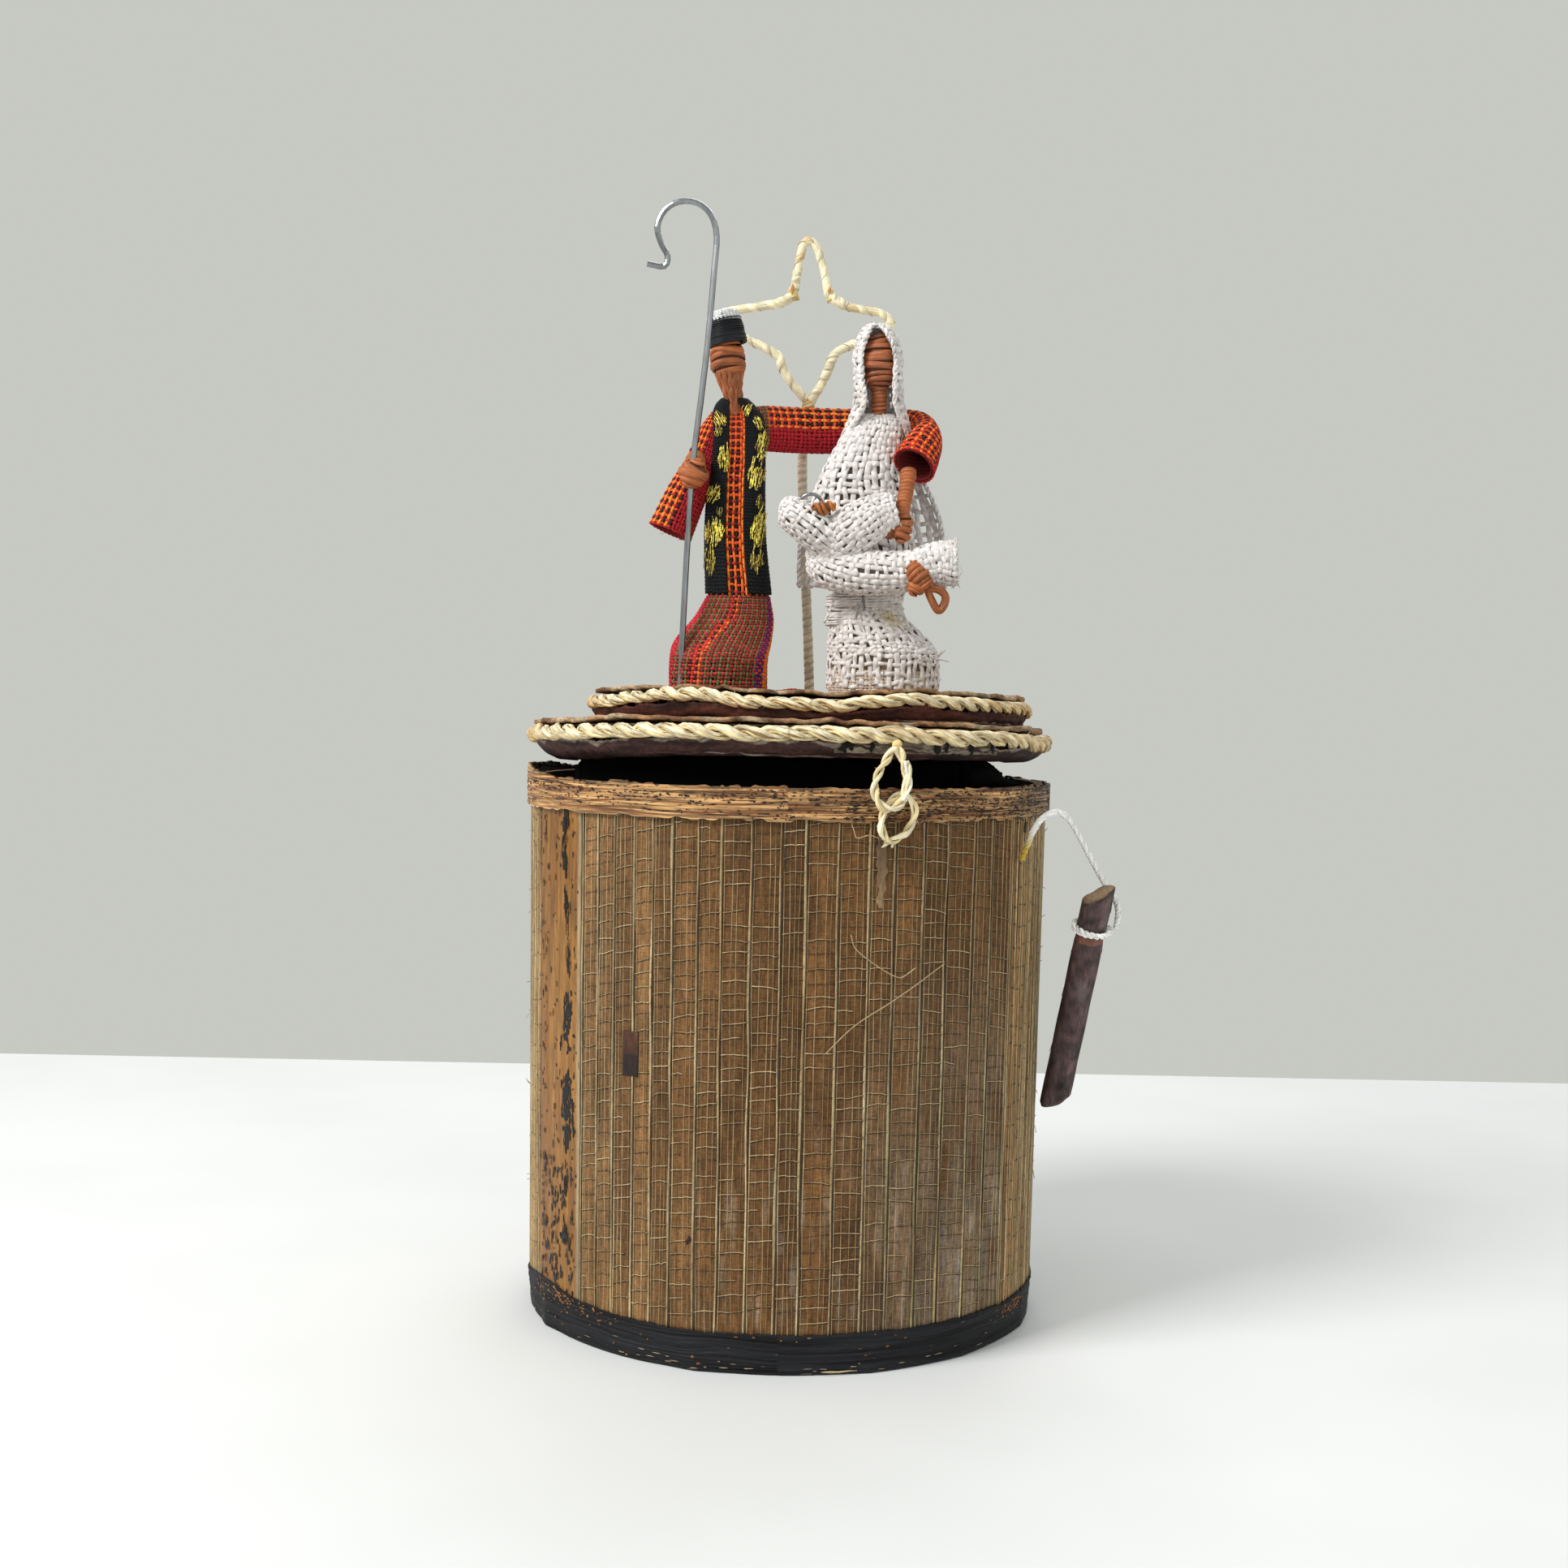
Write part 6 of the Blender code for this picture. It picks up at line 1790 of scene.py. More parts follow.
def make_robe():
    piece = Piece()
    shape = garment(robe_slices(-0.3))
    weave(piece, shape, 44, 52, robe_top_yarns, (0.46, 0.46), 0.2, 0.17, "robe top", sides=4)
    backing(piece, shape, 0.55, (0.05, 0.01, 0.01))
    piece.make("robe_top", "cloth", "lid", "robe", ["man_robe"])

    slices = []
    for z, x, y, wide, deep in levels_of("man_robe"):
        if z < 191:
            bulge = 1.0 - ease(z, 172, 182)
            slim = 0.9 * ease(z, 180, 190)
            slices.append((z, x - 0.3 * bulge, y - 2.6 * bulge, wide - slim, deep + 2.2 * bulge))
    piece = Piece()
    folds = lambda u, v: 0.5 * np.sin(2 * np.pi * (u * 4 + 0.3 * v)) * (1 - v) ** 1.2
    shape = garment(slices, twist=-0.03, folds=folds)
    weave(piece, shape, 68, 34, robe_skirt_yarns, (0.47, 0.46), 0.22, 0.20, "robe skirt", sides=4)
    backing(piece, shape, 0.5, (0.06, 0.012, 0.012))
    hem = shape.ring(0.01, 60)
    twisted(piece, hem, 0.4, 2.5, [RED * 0.6, (0.3, 0.02, 0.06)], step=0.7, loop=True, seed="robe hem")
    frays(piece, hem, 26, 1.6, "robe hem threads", RED * 0.7, 0.07)
    piece.make("robe_skirt", "cloth", "lid", "robe")

    strip = Piece()
    line = np.array([(-7, -9.6, 164.6), (-3.5, -9.8, 164.1), (0.5, -9.4, 164.7), (4.2, -9.0, 164.2)])
    for k in range(4):
        twisted(strip, line + (0, 0.5 * k - 1, 0.25 * (k % 2)), 0.38, 2.0, [DARK_RED, RED * 0.5], step=0.6,
                seed=f"train{k}")
    strip.make("robe_train", "cloth", "lid", "robe")


def panel_shape(low_turn, high_turn, grow):
    """A stole panel from one turn of the robe to another, drawn in towards the neck."""
    slices = robe_slices(grow)
    slices[0] = (190.0, *slices[0][1:])
    close = 1 - 0.65 * ease(np.linspace(0, 1, 120), 0.78, 0.97)
    ends = [(turn * close if abs(turn) < 45 else turn) / 360 for turn in (low_turn, high_turn)]
    return garment(slices, start=ends[0], end=ends[1])


def satin(kind, number, u, v):
    """Black yarns whose wefts differ a little."""
    tone = 1 + 0.35 * np.sin(np.asarray(number) * 2.4)
    return np.array((0.007, 0.008, 0.011)) * (tone[..., None] if kind == "weft" else 0.8)


GOLD_MARKS = {  # x, z, width, height, lean in degrees and brightness
    "left": ((-20.2, 236.3, 3.6, 4.6, 30, 1.0), (-20.4, 233.0, 2.6, 3.0, 0, 0.7),
             (-18.4, 226.0, 4.0, 7.2, 0, 0.9), (-21.6, 216.3, 4.0, 5.6, -24, 1.1),
             (-21.0, 206.2, 5.2, 8.6, -6, 1.2), (-22.0, 198.6, 3.2, 8.0, 0, 0.6),
             (-19.6, 211.6, 2.0, 3.0, 0, 0.4)),
    "right": ((-13.2, 238.9, 2.6, 4.4, -20, 1.1), (-10.2, 235.4, 2.4, 3.6, 20, 0.9),
              (-9.0, 229.6, 3.4, 8.0, -8, 1.1), (-10.4, 222.0, 4.2, 9.6, -8, 1.1),
              (-9.2, 214.5, 2.2, 4.0, 0, 0.5), (-9.4, 207.3, 4.2, 11.4, -8, 1.1),
              (-9.8, 199.0, 3.4, 7.0, -4, 0.8)),
}


def lame(piece, shape, marks, seed):
    """Thin flat strips of metal thread inside leaf outlines on a panel."""
    rng = dice(seed)
    rows, columns = 70, 30
    u, v = np.meshgrid(np.linspace(0.02, 0.98, columns), np.linspace(0.01, 0.99, rows))
    skin, out = shape.at(u, v)
    spots, away = skin.reshape(-1, 3), out.reshape(-1, 3)
    for x, z, wide, tall, lean, bright in marks:
        tilt = math.radians(lean)
        count = int(wide / 0.24)
        for k in range(count):
            across = (k + 0.5) / count * 2 - 1
            reach = tall / 2 * math.sqrt(max(0, 1 - across**2)) * rng.uniform(0.65, 1.15)
            low, high = -reach, reach
            if rng.uniform() < 0.35:
                high = rng.uniform(-0.1, 0.6) * reach
            elif rng.uniform() < 0.3:
                low = rng.uniform(-0.6, 0.1) * reach
            if high - low < 0.8:
                continue
            steps = max(4, int((high - low) / 0.6))
            along = np.linspace(low, high, steps)
            sway = across * wide / 2 + drift(rng, steps, 4, 0.1)
            px = x + sway * math.cos(tilt) - along * math.sin(tilt)
            pz = z + sway * math.sin(tilt) + along * math.cos(tilt)
            near = np.argmin((spots[:, 0] - px[:, None]) ** 2 + (spots[:, 2] - pz[:, None]) ** 2, axis=1)
            far = np.hypot(spots[near, 0] - px, spots[near, 2] - pz)
            keep = far < 0.8
            if keep.sum() < 4:
                continue
            line = np.stack([px, spots[near, 1], pz], 1)[keep]
            normal = away[near][keep]
            line = smooth(line, len(line)) + normal * (0.42 + 0.08 * rng.normal(0, 1, (len(line), 1)))
            tone = rng.uniform(0.55, 1.15) * bright
            tint = np.array((1.0, 0.84, 0.13)) * tone
            if rng.uniform() < 0.2:
                tint = np.array((0.45, 0.25, 0.06)) * tone
            bend = unit(normal + rng.normal(0, 0.28, 3))
            piece.tubes(line, 0.17 * rng.uniform(0.7, 1.3), 0.045, tint, normals=bend, sides=4,
                        seed=f"{seed}{x}{k}")


def make_stole():
    """The two satin panels, each with the threads and brocade on it."""
    panels = []
    for name, low, high in (("left", -86, -19), ("right", 17, 86)):
        piece = Piece()
        shape = panel_shape(low, high, 0.6)
        weave(piece, shape, 18, 96, satin, (0.5, 0.34), 0.16, 0.10, "stole" + name, closed=False, sides=4)
        rows, columns = 40, 16
        u, v = np.meshgrid(np.linspace(0.0, 1.0, columns), np.linspace(0.0, 1.0, rows))
        place, out = shape.at(u, v)
        threads = piece.make("panel_threads_" + name, "satin", "lid", "stole")
        piece = Piece()
        piece.slab(place - out * 0.05, place - out * 0.45, (0.010, 0.010, 0.012))
        made = piece.make("panel_" + name, "satin", "lid", "stole", ["man_stole_" + name])
        gold = Piece()
        lame(gold, shape, GOLD_MARKS[name], "gold" + name)
        brocade = gold.make("brocade_" + name, "gold", "lid", "stole")
        panels.append((made, [threads, brocade]))
    return panels


SOFT_EDGE = 0.02


def sleeve_yarns(edge, seam=None):
    """Check on one side of the sleeve and plain dark red on the other."""
    def pick(kind, number, u, v):
        turn = np.asarray(u) % 1
        within = 1 - ease(turn, edge[1], edge[1] + SOFT_EDGE)
        share = 1 - ease(turn, edge[0] - SOFT_EDGE, edge[0]) * within
        tint = check_yarns(kind, number, u, v)
        tint = blend_of(share, tint, DARK_RED * (1.0 if kind == "warp" else 1.25))
        if seam is not None:
            band_of = ease(v, seam[0] - 0.02, seam[0]) * (1 - ease(v, seam[1], seam[1] + 0.015))
            tint = blend_of(band_of * 0.85, tint, (0.10, 0.075, 0.035))
        return tint
    return pick


BELL = [(-20.8, -1.0, 238.0, 1.8, 1.8), (-22.4, -2.0, 233.0, 3.2, 2.8), (-25.4, -3.2, 223.5, 4.4, 3.4),
        (-28.9, -4.2, 216, 5.2, 4.2), (-32.9, -5.0, 206.4, 5.8, 4.8)]
LONG_ARM = [(-10.2, -1.2, 234.6, 5.6, 2.2), (-7.4, 0.0, 234.8, 5.8, 2.6), (-1, 3.4, 235, 5.9, 2.8),
            (8, 6.4, 235.3, 5.9, 2.8), (18, 7.4, 235.6, 5.7, 2.8), (27, 6.4, 236.2, 5.2, 2.8),
            (33.0, 2.4, 235.0, 5.2, 3.2), (34.8, -3.4, 232.0, 5.4, 4.0), (33.4, -8.0, 228.6, 5.8, 4.8),
            (31.4, -11.2, 224.4, 6.0, 5.4)]
# The inside of the red sleeves, darker than the cloth: painted shade.
SLEEVE_INSIDE_SHADE = (0.16, 0.008, 0.01)
MAN_SKIN = np.array((0.40, 0.115, 0.032))


def make_man():
    paint("man_core", "robe_stuffing")
    make_robe()
    panels = make_stole()
    make_man_sleeves()
    make_man_hands()
    make_man_head()
    make_cap()
    return panels


def make_man_sleeves():
    shape = limb(BELL)
    piece = Piece()
    weave(piece, shape, 34, 36, sleeve_yarns((0.02, 0.56)), (0.5, 0.46), 0.2, 0.17, "bell", sides=4)
    tube_wall(piece, shape, 0.5, SLEEVE_INSIDE_SHADE)
    rim = shape.ring(1.0, 40)
    twisted(piece, rim, 0.42, 2.4, [RED * 0.8, DARK_RED], step=0.6, loop=True, seed="bell rim")
    frays(piece, rim, 12, 1.4, "bell threads", RED, 0.06)
    piece.make("bell_sleeve", "cloth", "lid", "check", ["man_sleeve_right"])

    shape = limb(LONG_ARM, rows=160, facing=None)
    piece = Piece()
    weave(piece, shape, 30, 60, sleeve_yarns((0.48, 0.98), seam=(0.035, 0.085)), (0.5, 0.46), 0.2, 0.17,
          "long arm", sides=4)
    tube_wall(piece, shape, 0.5, SLEEVE_INSIDE_SHADE)
    for end in (0.0, 1.0):
        twisted(piece, shape.ring(end, 40), 0.4, 2.4, [DARK_RED, RED * 0.8], step=0.6, loop=True,
                seed=f"arm rim{end}")
    piece.make("long_sleeve", "cloth", "lid", "check", ["man_sleeve_left"])


def make_man_hands():
    skin = MAN_SKIN
    piece = Piece()
    wrist = [(-26.2, -7.0, 226.0), (-26.6, -9.6, 223.2), (-26.8, -12.0, 221.4)]
    wound(piece, wrist, [2.6, 3.0, 2.6], 1.5, skin, seed="wrist", thick=0.3)
    wound_ball(piece, (-26.6, -12.4, 221.0), (4.0, 3.2, 4.1), 6, 1.15, 0.5, skin * 1.05, lean=25,
               wander=0.28, seed="fist", steps=30)
    piece.make("fist", "wrap", "lid", "wrap", ["man_hand_right"])
    piece = Piece()
    arm = [(29.9, -13.0, 222.6), (29.2, -15.6, 217.6), (28.3, -18.2, 212.8), (27.6, -20.0, 209.4)]
    wound(piece, arm, [2.3, 2.1, 2.0, 2.2], 1.15, skin * 1.08, thick=0.28, overlap=1.25, seed="forearm")
    wound_ball(piece, (28.2, -21.2, 207.0), (2.7, 2.1, 4.2), 6, 0.9, 0.35, skin, wander=0.15,
               seed="palm", lean=8)
    wound_ball(piece, (24.8, -20.6, 206.4), (2.1, 1.7, 2.4), 5, 0.7, 0.35, skin * 0.62, wander=0.2,
               seed="thumb", lean=-20)
    piece.make("left_hand", "wrap", "lid", "wrap", ["man_hand_left"])


NECK_STATIONS = ((248.8, -18.0, 3.5, 3.3), (246.4, -17.7, 3.1, 3.0), (244.2, -17.2, 2.5, 2.5),
                 (241.8, -16.8, 2.0, 2.1), (239.4, -16.4, 1.7, 1.8), (237.4, -16.2, 1.3, 1.5))
NECK_LINE = [(-18.0, -4.3, 251.0), (-17.4, -4.3, 245.0), (-16.6, -4.3, 240.0), (-16.2, -4.3, 237.4)]


def make_man_head():
    """A bundle of strands for the neck, over a core, and a wound head."""
    piece = Piece()
    rng = dice("neck fibres")
    strands = 15
    depth = NECK_LINE[0][1]
    for k in range(strands):
        turn = 2 * np.pi * k / strands
        line = [(x + wide * math.sin(turn), depth - deep * math.cos(turn), z)
                for z, x, wide, deep in NECK_STATIONS]
        line = smooth(line, 30)
        line[:, :2] += drift(rng, 30, 5, 0.16)[:, None]
        out = unit((line - (-17.4, depth, 0)) * (1, 1, 0))
        wide = np.interp(np.linspace(0, 1, 30), (0, 0.5, 1), (0.95, 0.7, 0.42))
        wide = wide * (1 + drift(rng, 30, 6, 0.15))
        thick = 0.42 * (1 + drift(rng, 30, 6, 0.2))
        piece.tubes(line, wide, thick, MAN_SKIN * rng.uniform(0.8, 1.2), normals=out, sides=6,
                    seed=f"neck{k}")
    # The core under the strands is half the skin's colour: painted shade between the strands.
    wound(piece, NECK_LINE, [2.8, 2.0, 1.5, 1.2], 2.0, MAN_SKIN * 0.5, seed="neck core")
    piece.make("neck_strands", "wrap", "lid", "wrap", ["man_neck"])
    piece = Piece()
    wound_ball(piece, (-18.3, -4.2, 252.1), (4.95, 4.5, 6.1), 9, 1.15, 0.42, MAN_SKIN * 1.1, lean=-8,
               wander=0.16, seed="head", steps=32)
    piece.make("head_wrap", "wrap", "lid", "wrap", ["man_head"])


CAP_DOME = [(5.2, 4.35), (6.4, 4.3), (7.3, 4.0), (7.9, 3.0), (8.2, 1.6), (8.3, 0.4)]  # height, radius
CAP_DEPTH = 0.92  # how deep the cap is for its width


def make_cap():
    """A cap of black satin turns with a woven pale top."""
    base = np.array((-18.4, -4.4, 257.0))
    lean = np.array(Matrix.Rotation(math.radians(-12), 3, "Y"))
    turn = np.linspace(0, 2 * np.pi, 64, endpoint=False)
    rng = dice("cap")

    def ring(radius, height, dip=0.0):
        place = np.stack([radius * np.cos(turn), radius * CAP_DEPTH * np.sin(turn),
                          height + dip * np.cos(turn)], 1)
        return place @ lean.T + base

    piece = Piece()
    for k, height in enumerate(np.linspace(-0.6, 5.6, 14)):
        radius = 5.05 - 0.55 * k / 13 + 0.05 * rng.normal()
        piece.tubes(ring(radius, height, dip=0.25 * math.sin(k)), 0.34, 0.15, (0.017, 0.018, 0.022),
                    normals=unit(ring(radius, height) - base), sides=6, loop=True, seed=f"cap{k}")
    outer = np.stack([ring(4.95 - 0.55 * s, -0.7 + 6.4 * s) for s in np.linspace(0, 1, 8)])
    inner = np.stack([ring(4.3 - 0.55 * s, -0.7 + 6.4 * s) for s in np.linspace(0, 1, 8)])
    piece.slab(outer, inner, (0.008, 0.008, 0.01), across=True)
    piece.make("cap_satin", "satin", "lid", "stole", ["man_cap_band"])

    piece = Piece()
    levels = smooth(CAP_DOME, 40)
    heights, radii = levels[:, :1], levels[:, 1:]
    centres = heights * (0, 0, 1) @ lean.T + base
    sides = radii * (1.0, 0, 0) @ lean.T
    fronts = radii * (0, -CAP_DEPTH, 0) @ lean.T
    weave(piece, Shape(centres, sides, fronts), 26, 9, all_one((0.78, 0.79, 0.80)), (0.36, 0.3), 0.17, 0.15,
          "cap top", sides=6)
    # A dark core under the woven top: painted shade seen through its holes.
    piece.closed([ring(r * 0.88, h - 0.35) for h, r in CAP_DOME], (0.10, 0.09, 0.085))
    frays(piece, ring(4.2, 7.4), 16, 1.6, "cap threads", (0.8, 0.8, 0.8), 0.06)
    piece.make("cap_weave", "linen", "lid", "linen", ["man_cap_top"])


def linen_yarns(kind, number, u, v):
    """Pale yarns that differ a little."""
    number = np.asarray(number)
    tone = 1 + 0.07 * np.sin(number * 5.1) + 0.05 * field("linen", number * 1.7, np.asarray(u) * 9 + v * 9)
    return LINEN * tone[..., None]


def skirt_yarns(kind, number, u, v):
    """Linen with a yellow patch of dried glue near the upper edge at the right."""
    turn = (np.asarray(u) + 0.5) % 1 - 0.5
    glue = hump(turn, 0.10, 0.05) * hump(v, 0.74, 0.09)
    return blend_of(glue * 0.75, linen_yarns(kind, number, u, v), (0.60, 0.46, 0.17))


WOMAN_CHEST = [(188.2, 20.4, -6.0, 8.4, 5.8), (195.0, 20.0, -6.2, 10.5, 6.2), (205.0, 18.6, -6.2, 13.2, 6.2),
               (214.0, 17.6, -5.8, 12.8, 5.8), (222.0, 17.8, -5.4, 10.6, 5.2), (230.0, 19.8, -5.0, 8.4, 4.6),
               (236.0, 22.0, -5.0, 6.0, 3.6), (238.2, 22.0, -5.0, 3.6, 2.5)]


WOMAN_SKIN = np.array((0.36, 0.105, 0.036))


def make_woman():
    paint("woman_core", "stuffing")
    make_skirts()
    make_waist()
    make_bodice()
    make_woman_head()
    veil = make_veil()
    make_arms()
    make_woman_hand()
    make_baby_face()
    return veil


def make_skirts():
    piece = Piece()
    low, high = span("woman_underskirt")
    middle, half = (low + high) / 2, (high - low) / 2
    shape = garment([(z, middle[0], middle[1], half[0] + grow, half[1] + grow)
                     for z, grow in ((low[2], 0.0), (low[2] + 3, 0.1), (high[2], -0.4))])
    weave(piece, shape, 70, 9, all_one((0.60, 0.50, 0.40)), (0.52, 0.4), 0.24, 0.14, "underskirt", sides=4)
    # The backing is darker than the yarns: painted shade seen through the gaps.
    backing(piece, shape, 0.5, (0.42, 0.33, 0.25), rows=12)
    piece.make("petticoat", "linen", "lid", "cotton", ["woman_underskirt"])

    piece = Piece()
    rows = levels_of("woman_skirt")
    rows[0] = (165.4, *rows[0][1:])
    folds = lambda u, v: (0.35 * np.sin(2 * np.pi * u * 6) + 0.3 * np.sin(2 * np.pi * u * 3 + 1)) * (1 - v)
    shape = garment(rows, folds=folds)
    weave(piece, shape, 42, 14, skirt_yarns, (0.70, 0.60), 0.29, 0.28, "skirt", sides=8, wobble=0.24,
          steps=4)
    # The backing is darker than the linen: painted shade seen through the weave's holes.
    backing(piece, shape, 0.95, (0.40, 0.30, 0.22), high=0.75)
    frays(piece, shape.at(np.linspace(0.12, 0.3, 20), np.full(20, 0.25))[0], 12, 3.6, "skirt threads",
          LINEN, 0.30)
    frays(piece, shape.at(np.linspace(-0.25, 0.25, 40), np.full(40, 0.03))[0], 22, 2.4, "hem threads",
          LINEN * 0.9, 0.24)
    piece.make("linen_skirt", "linen", "lid", "linen", ["woman_skirt"])


def make_waist():
    """Turns of yarn round the waist, over a core, and their loose ends."""
    rng = dice("woman")
    waist = Piece()
    for k in range(15):
        z = 182.6 + 0.52 * k
        wide = np.interp(z, (183, 186, 190), (10.6, 9.9, 9.7)) + 0.15 * rng.normal()
        at = np.interp(z, (183, 190), (19.8, 19.0))
        line = garment([(z + up, at, -6.0, wide, 6.6) for up in (-0.3, 0, 0.3)])
        ring = line.ring(0.5, 60)
        ring[:, 2] += 0.25 * np.sin(np.linspace(0, 2 * np.pi, 60) + k) + drift(rng, 60, 8, 0.12, True)
        waist.tubes(ring, 0.36, 0.30, LINEN * rng.uniform(0.86, 1.02), sides=8, loop=True, seed=f"waist{k}")
    # The core is darker than the yarns: painted shade between the turns.
    core = garment([(182.2, 19.9, -6, 10.3, 6.3), (186, 19.5, -6, 9.6, 6.1), (190.4, 19.1, -6, 9.3, 6)])
    backing(waist, core, 0.1, (0.55, 0.50, 0.46), rows=10)
    for k, (x, z, drop) in enumerate(((9.4, 188.6, 6), (16.4, 189.5, 6.5), (17.4, 188.8, 5.0))):
        tail = [(x + 1.4, -12.2, z), (x + 0.5, -13.1, z - drop * 0.5), (x + 0.9 * (k - 1), -12.9, z - drop)]
        twisted(waist, tail, 0.42, 3.0, [LINEN, LINEN * 0.95], step=0.5, seed=f"thread{k}")
    waist.make("waist_yarns", "linen", "lid", "linen")


def make_bodice():
    piece = Piece()
    shape = garment(WOMAN_CHEST, twist=0.05)
    weave(piece, shape, 30, 24, linen_yarns, (0.80, 0.70), 0.32, 0.31, "bodice", sides=8, wobble=0.2,
          steps=4)
    # The backing is darker than the linen: painted shade seen through the weave's holes.
    backing(piece, shape, 0.9, (0.20, 0.165, 0.15))
    piece.make("linen_bodice", "linen", "lid", "linen", ["woman_bodice"])


def make_woman_head():
    piece = Piece()
    wound_ball(piece, (21.6, -8.0, 251.6), (5.2, 4.6, 7.8), 13, 0.9, 0.34, WOMAN_SKIN, wander=0.07,
               seed="face", steps=32)
    piece.make("face_wrap", "wrap", "lid", "wrap", ["woman_head"])
    piece = Piece()
    throat = [(22, -6.2, 237.5), (22, -7.2, 241), (21.9, -7.8, 245.2)]
    wound(piece, throat, [2.0, 2.1, 2.4], 1.0, WOMAN_SKIN * 1.05, thick=0.3, seed="throat")
    piece.make("throat_wrap", "wrap", "lid", "wrap", ["woman_neck"])


# Height, centre x, centre y, half width, half depth, and degrees from the back to each edge.
VEIL_ARCS = [(192.6, 21.5, 3, 19.4, 3.5, 96), (203, 21.3, 2.6, 19.2, 3.8, 96), (212, 21.2, 2, 17.8, 4.2, 97),
             (222, 21, 1, 13.4, 4.9, 101), (229, 21.5, -0.8, 10.6, 5.8, 112), (236, 22, -3.6, 8.2, 6.4, 135),
             (241, 22, -5.8, 6.6, 6.4, 147), (247, 21.6, -7.2, 6.2, 6.5, 140),
             (252.5, 21.4, -7.5, 6.3, 6.5, 139), (257, 21.2, -7.5, 5.4, 5.8, 146),
             (260.3, 21, -7.2, 3.6, 3.9, 160), (261.6, 21, -7, 1.5, 1.6, 168)]


def make_veil():
    turns = smooth(VEIL_ARCS, 160)[:, 5] / 360
    folds = lambda u, v: 0.5 * np.sin(2 * np.pi * 3.2 * u + 1) * (1 - v) ** 1.5
    shape = garment([row[:5] for row in VEIL_ARCS], rows=160, start=0.5 - turns, end=0.5 + turns,
                    folds=folds)
    piece = Piece()
    weave(piece, shape, 20, 32, linen_yarns, (0.78, 0.66), 0.31, 0.30, "veil", closed=False, sides=8,
          wobble=0.24, steps=4)
    for side in (0.01, 0.99):
        edge = shape.at(np.full(80, side), np.linspace(0.0, 0.985, 80))[0]
        twisted(piece, edge, 0.75, 3.4, [LINEN * 1.03, LINEN], step=0.6, seed=f"veil edge{side}", rough=0.2)
        frays(piece, edge, 30, 1.5, f"veil fuzz{side}", LINEN, 0.06)
    crown = shape.at(np.linspace(0, 1, 14), np.full(14, 0.99))[0]
    twisted(piece, crown, 0.7, 3.0, [LINEN, LINEN], step=0.5, seed="crown")
    return piece.make("veil_cloth", "linen", "lid", "linen", ["woman_veil"])


SLEEVE_SHADE = (0.28, 0.24, 0.215)


def sleeve(name, stations, warps, wefts, twist=0.0, replaces=(), open_end=True):
    """A tube of linen along stations, open and frayed at its end or closed over a core."""
    shape = limb(stations)
    turned = twist * np.linspace(0, 1, len(shape.start))
    shape.start, shape.end = shape.start + turned, shape.end + turned
    piece = Piece()
    weave(piece, shape, warps, wefts, linen_yarns, (0.73, 0.66), 0.30, 0.29, name, sides=8, wobble=0.2,
          steps=4)
    if open_end:
        tube_wall(piece, shape, 0.85, SLEEVE_SHADE)
        rim = shape.ring(1.0, 30)
        twisted(piece, rim, 0.5, 2.6, [LINEN, LINEN * 0.97], step=0.5, loop=True, seed=name + "rim",
                rough=0.3)
        frays(piece, rim, 34, 2.2, name + "threads", LINEN, 0.20)
    else:
        backing(piece, shape, 0.85, SLEEVE_SHADE)
    piece.make(name, "linen", "lid", "linen", replaces)


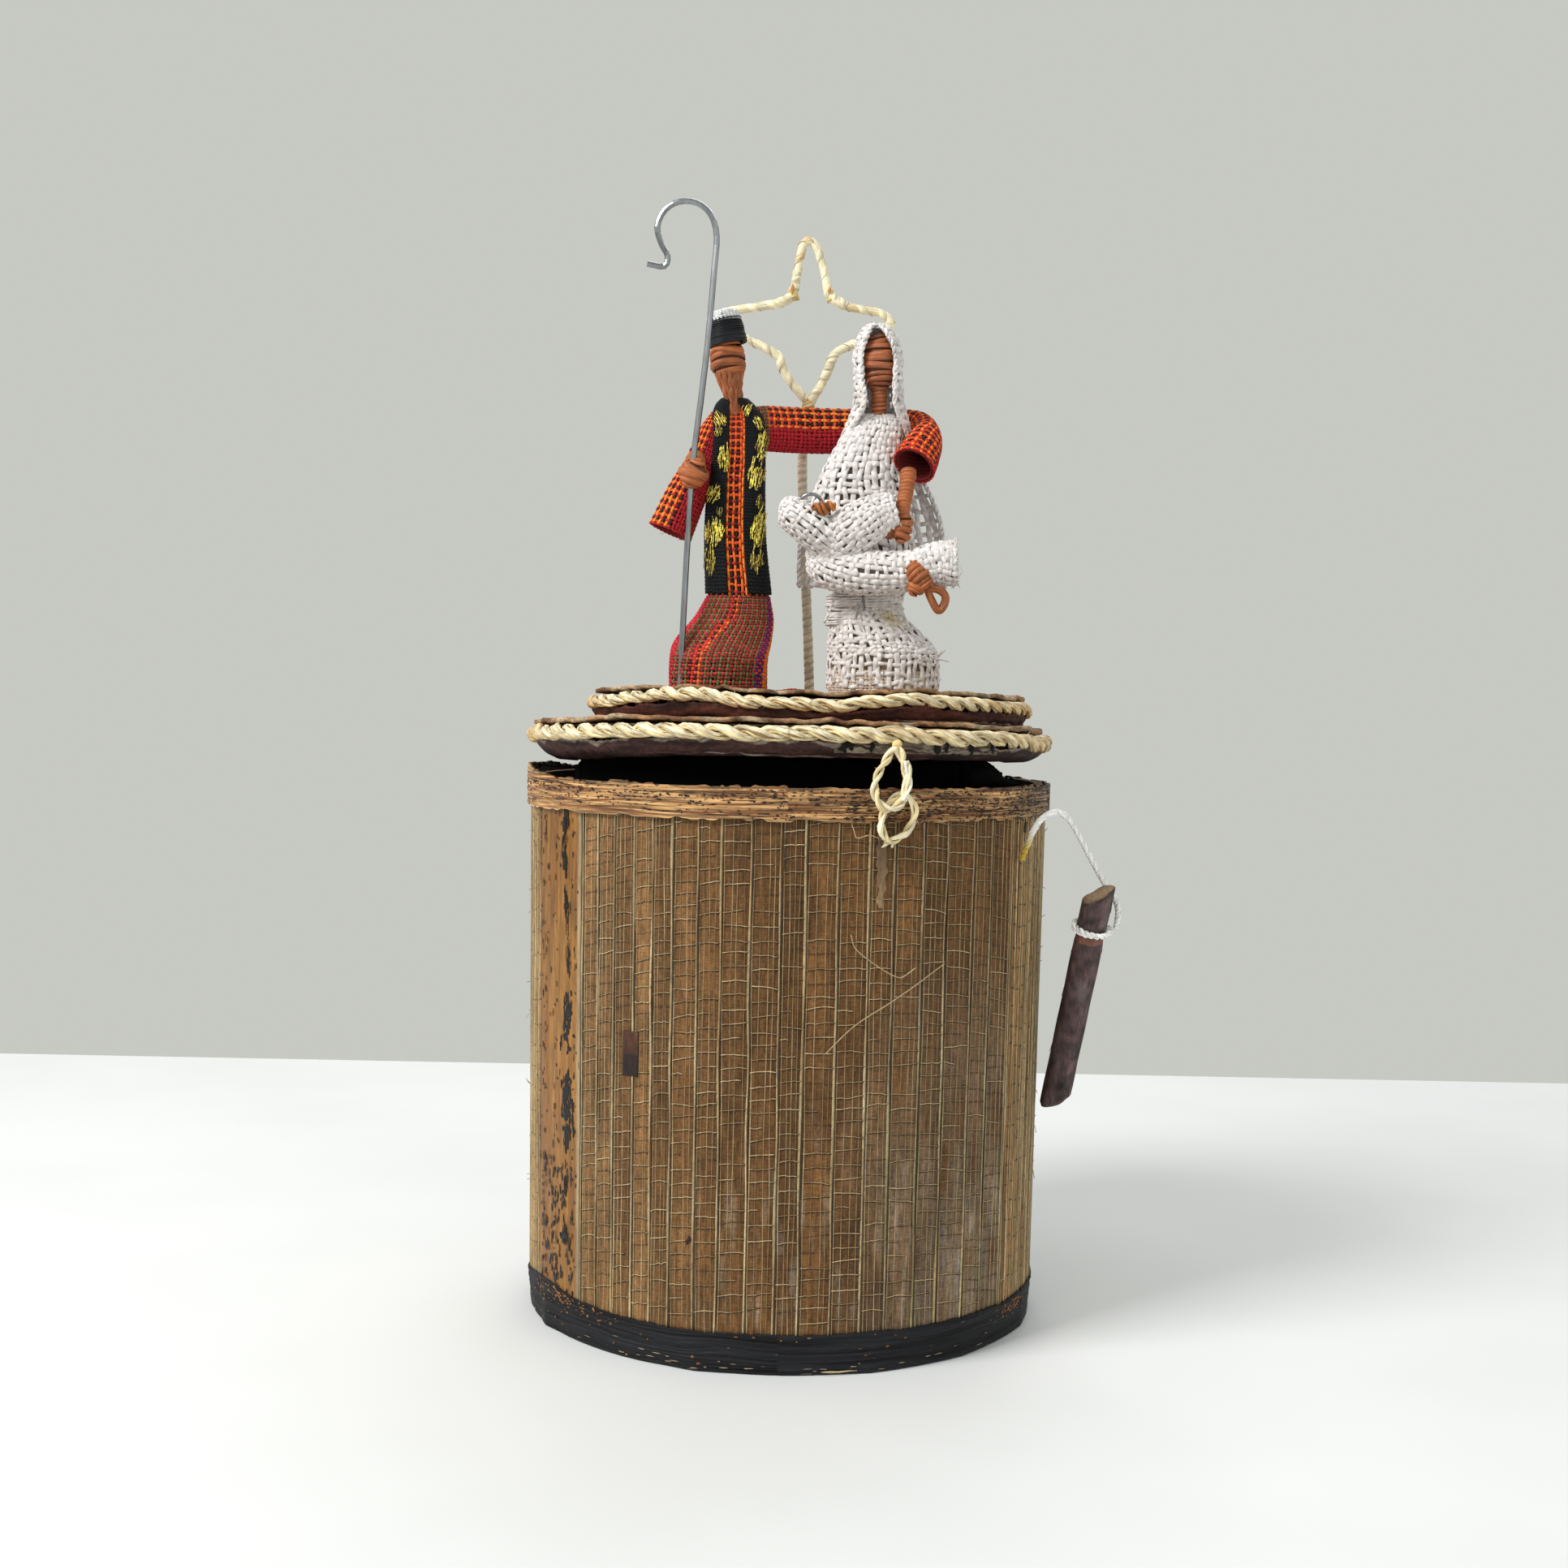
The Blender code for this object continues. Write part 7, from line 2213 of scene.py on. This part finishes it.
CROSSING_SLEEVE = [(5.6, -13.4, 199.0, 3.4, 3.4), (10.5, -16.4, 196.6, 5.2, 4.6),
                   (20, -18.8, 195.6, 5.6, 4.6), (30, -19.4, 196.2, 5.0, 4.2),
                   (37, -19.4, 198.2, 5.2, 4.6), (42.0, -19.2, 198.4, 5.6, 5.0)]
HOLDING_SLEEVE = [(5.4, -14.2, 198.6, 2.8, 2.6), (9.6, -17.4, 202.0, 5.2, 3.6),
                  (16, -20.0, 207.0, 6.0, 3.8), (22.0, -21.0, 210.4, 5.2, 3.4),
                  (26.2, -21.2, 211.8, 4.0, 3.0)]
SWADDLE = [(-3.0, -17.5, 211.8, 1.5, 2.0), (-1.8, -17.8, 211.4, 3.6, 4.2), (1.4, -18.3, 209.4, 4.5, 5.4),
           (5.5, -18.2, 206.4, 4.8, 5.6), (10, -17.0, 203.4, 4.8, 4.8), (15, -15.2, 201.0, 4.4, 4.2),
           (18, -14.0, 199.8, 3.4, 3.4)]


def make_arms():
    sleeve("crossing_sleeve", CROSSING_SLEEVE, 20, 24, twist=0.12, replaces=["woman_sleeve"])
    sleeve("holding_sleeve", HOLDING_SLEEVE, 20, 16, twist=-0.08)
    sleeve("swaddle", SWADDLE, 22, 15, replaces=["baby_swaddle"], open_end=False)


FINGER_LOOP = [(35.0, -22.8, 191.2), (37.4, -22.4, 191.4), (39.5, -21.8, 189.8), (39.2, -21.8, 187.4),
               (37.8, -21.9, 186.0), (36.3, -22.2, 188.0)]


def make_woman_hand():
    skin = np.array((0.42, 0.125, 0.035))
    piece = Piece()
    palm = [(30.6, -22.0, 197.2), (32.6, -23.2, 194.4), (34.6, -23.2, 191.4)]
    wound(piece, palm, [2.7, 3.0, 2.2], 1.15, skin, thick=0.32, overlap=1.15, seed="hand")
    wound_ball(piece, (32.4, -23.4, 192.2), (2.5, 2.0, 3.4), 6, 0.85, 0.32, skin * 0.95, seed="knuckle",
               lean=38)
    ribbon = spaced(FINGER_LOOP, 0.4, True)
    out = unit(ribbon - (37.6, -22.0, 188.6))
    for shift in (-0.7, 0.7):
        piece.tubes(ribbon + (0, shift, 0.25 * shift), 0.95, 1.0, skin * (0.95 + 0.1 * shift), normals=out,
                    sides=8, loop=True, seed=f"finger loop{shift}")
    piece.make("hand_wrap", "wrap", "lid", "wrap", ["woman_hand"])


def make_baby_face():
    piece = Piece()
    wound_ball(piece, (7.4, -22.2, 211.8), (1.9, 1.8, 3.5), 5, 0.6, 0.3, (0.50, 0.15, 0.03), lean=80,
               wander=0.12, seed="baby face")
    piece.make("baby_face", "wrap", "lid", "wrap", ["baby_head"])


set_stage()
make_cords()
make_box()
make_lid()
make_latch()
make_hinge()
make_star()
make_wires()
panels = make_man()
veil = make_woman()
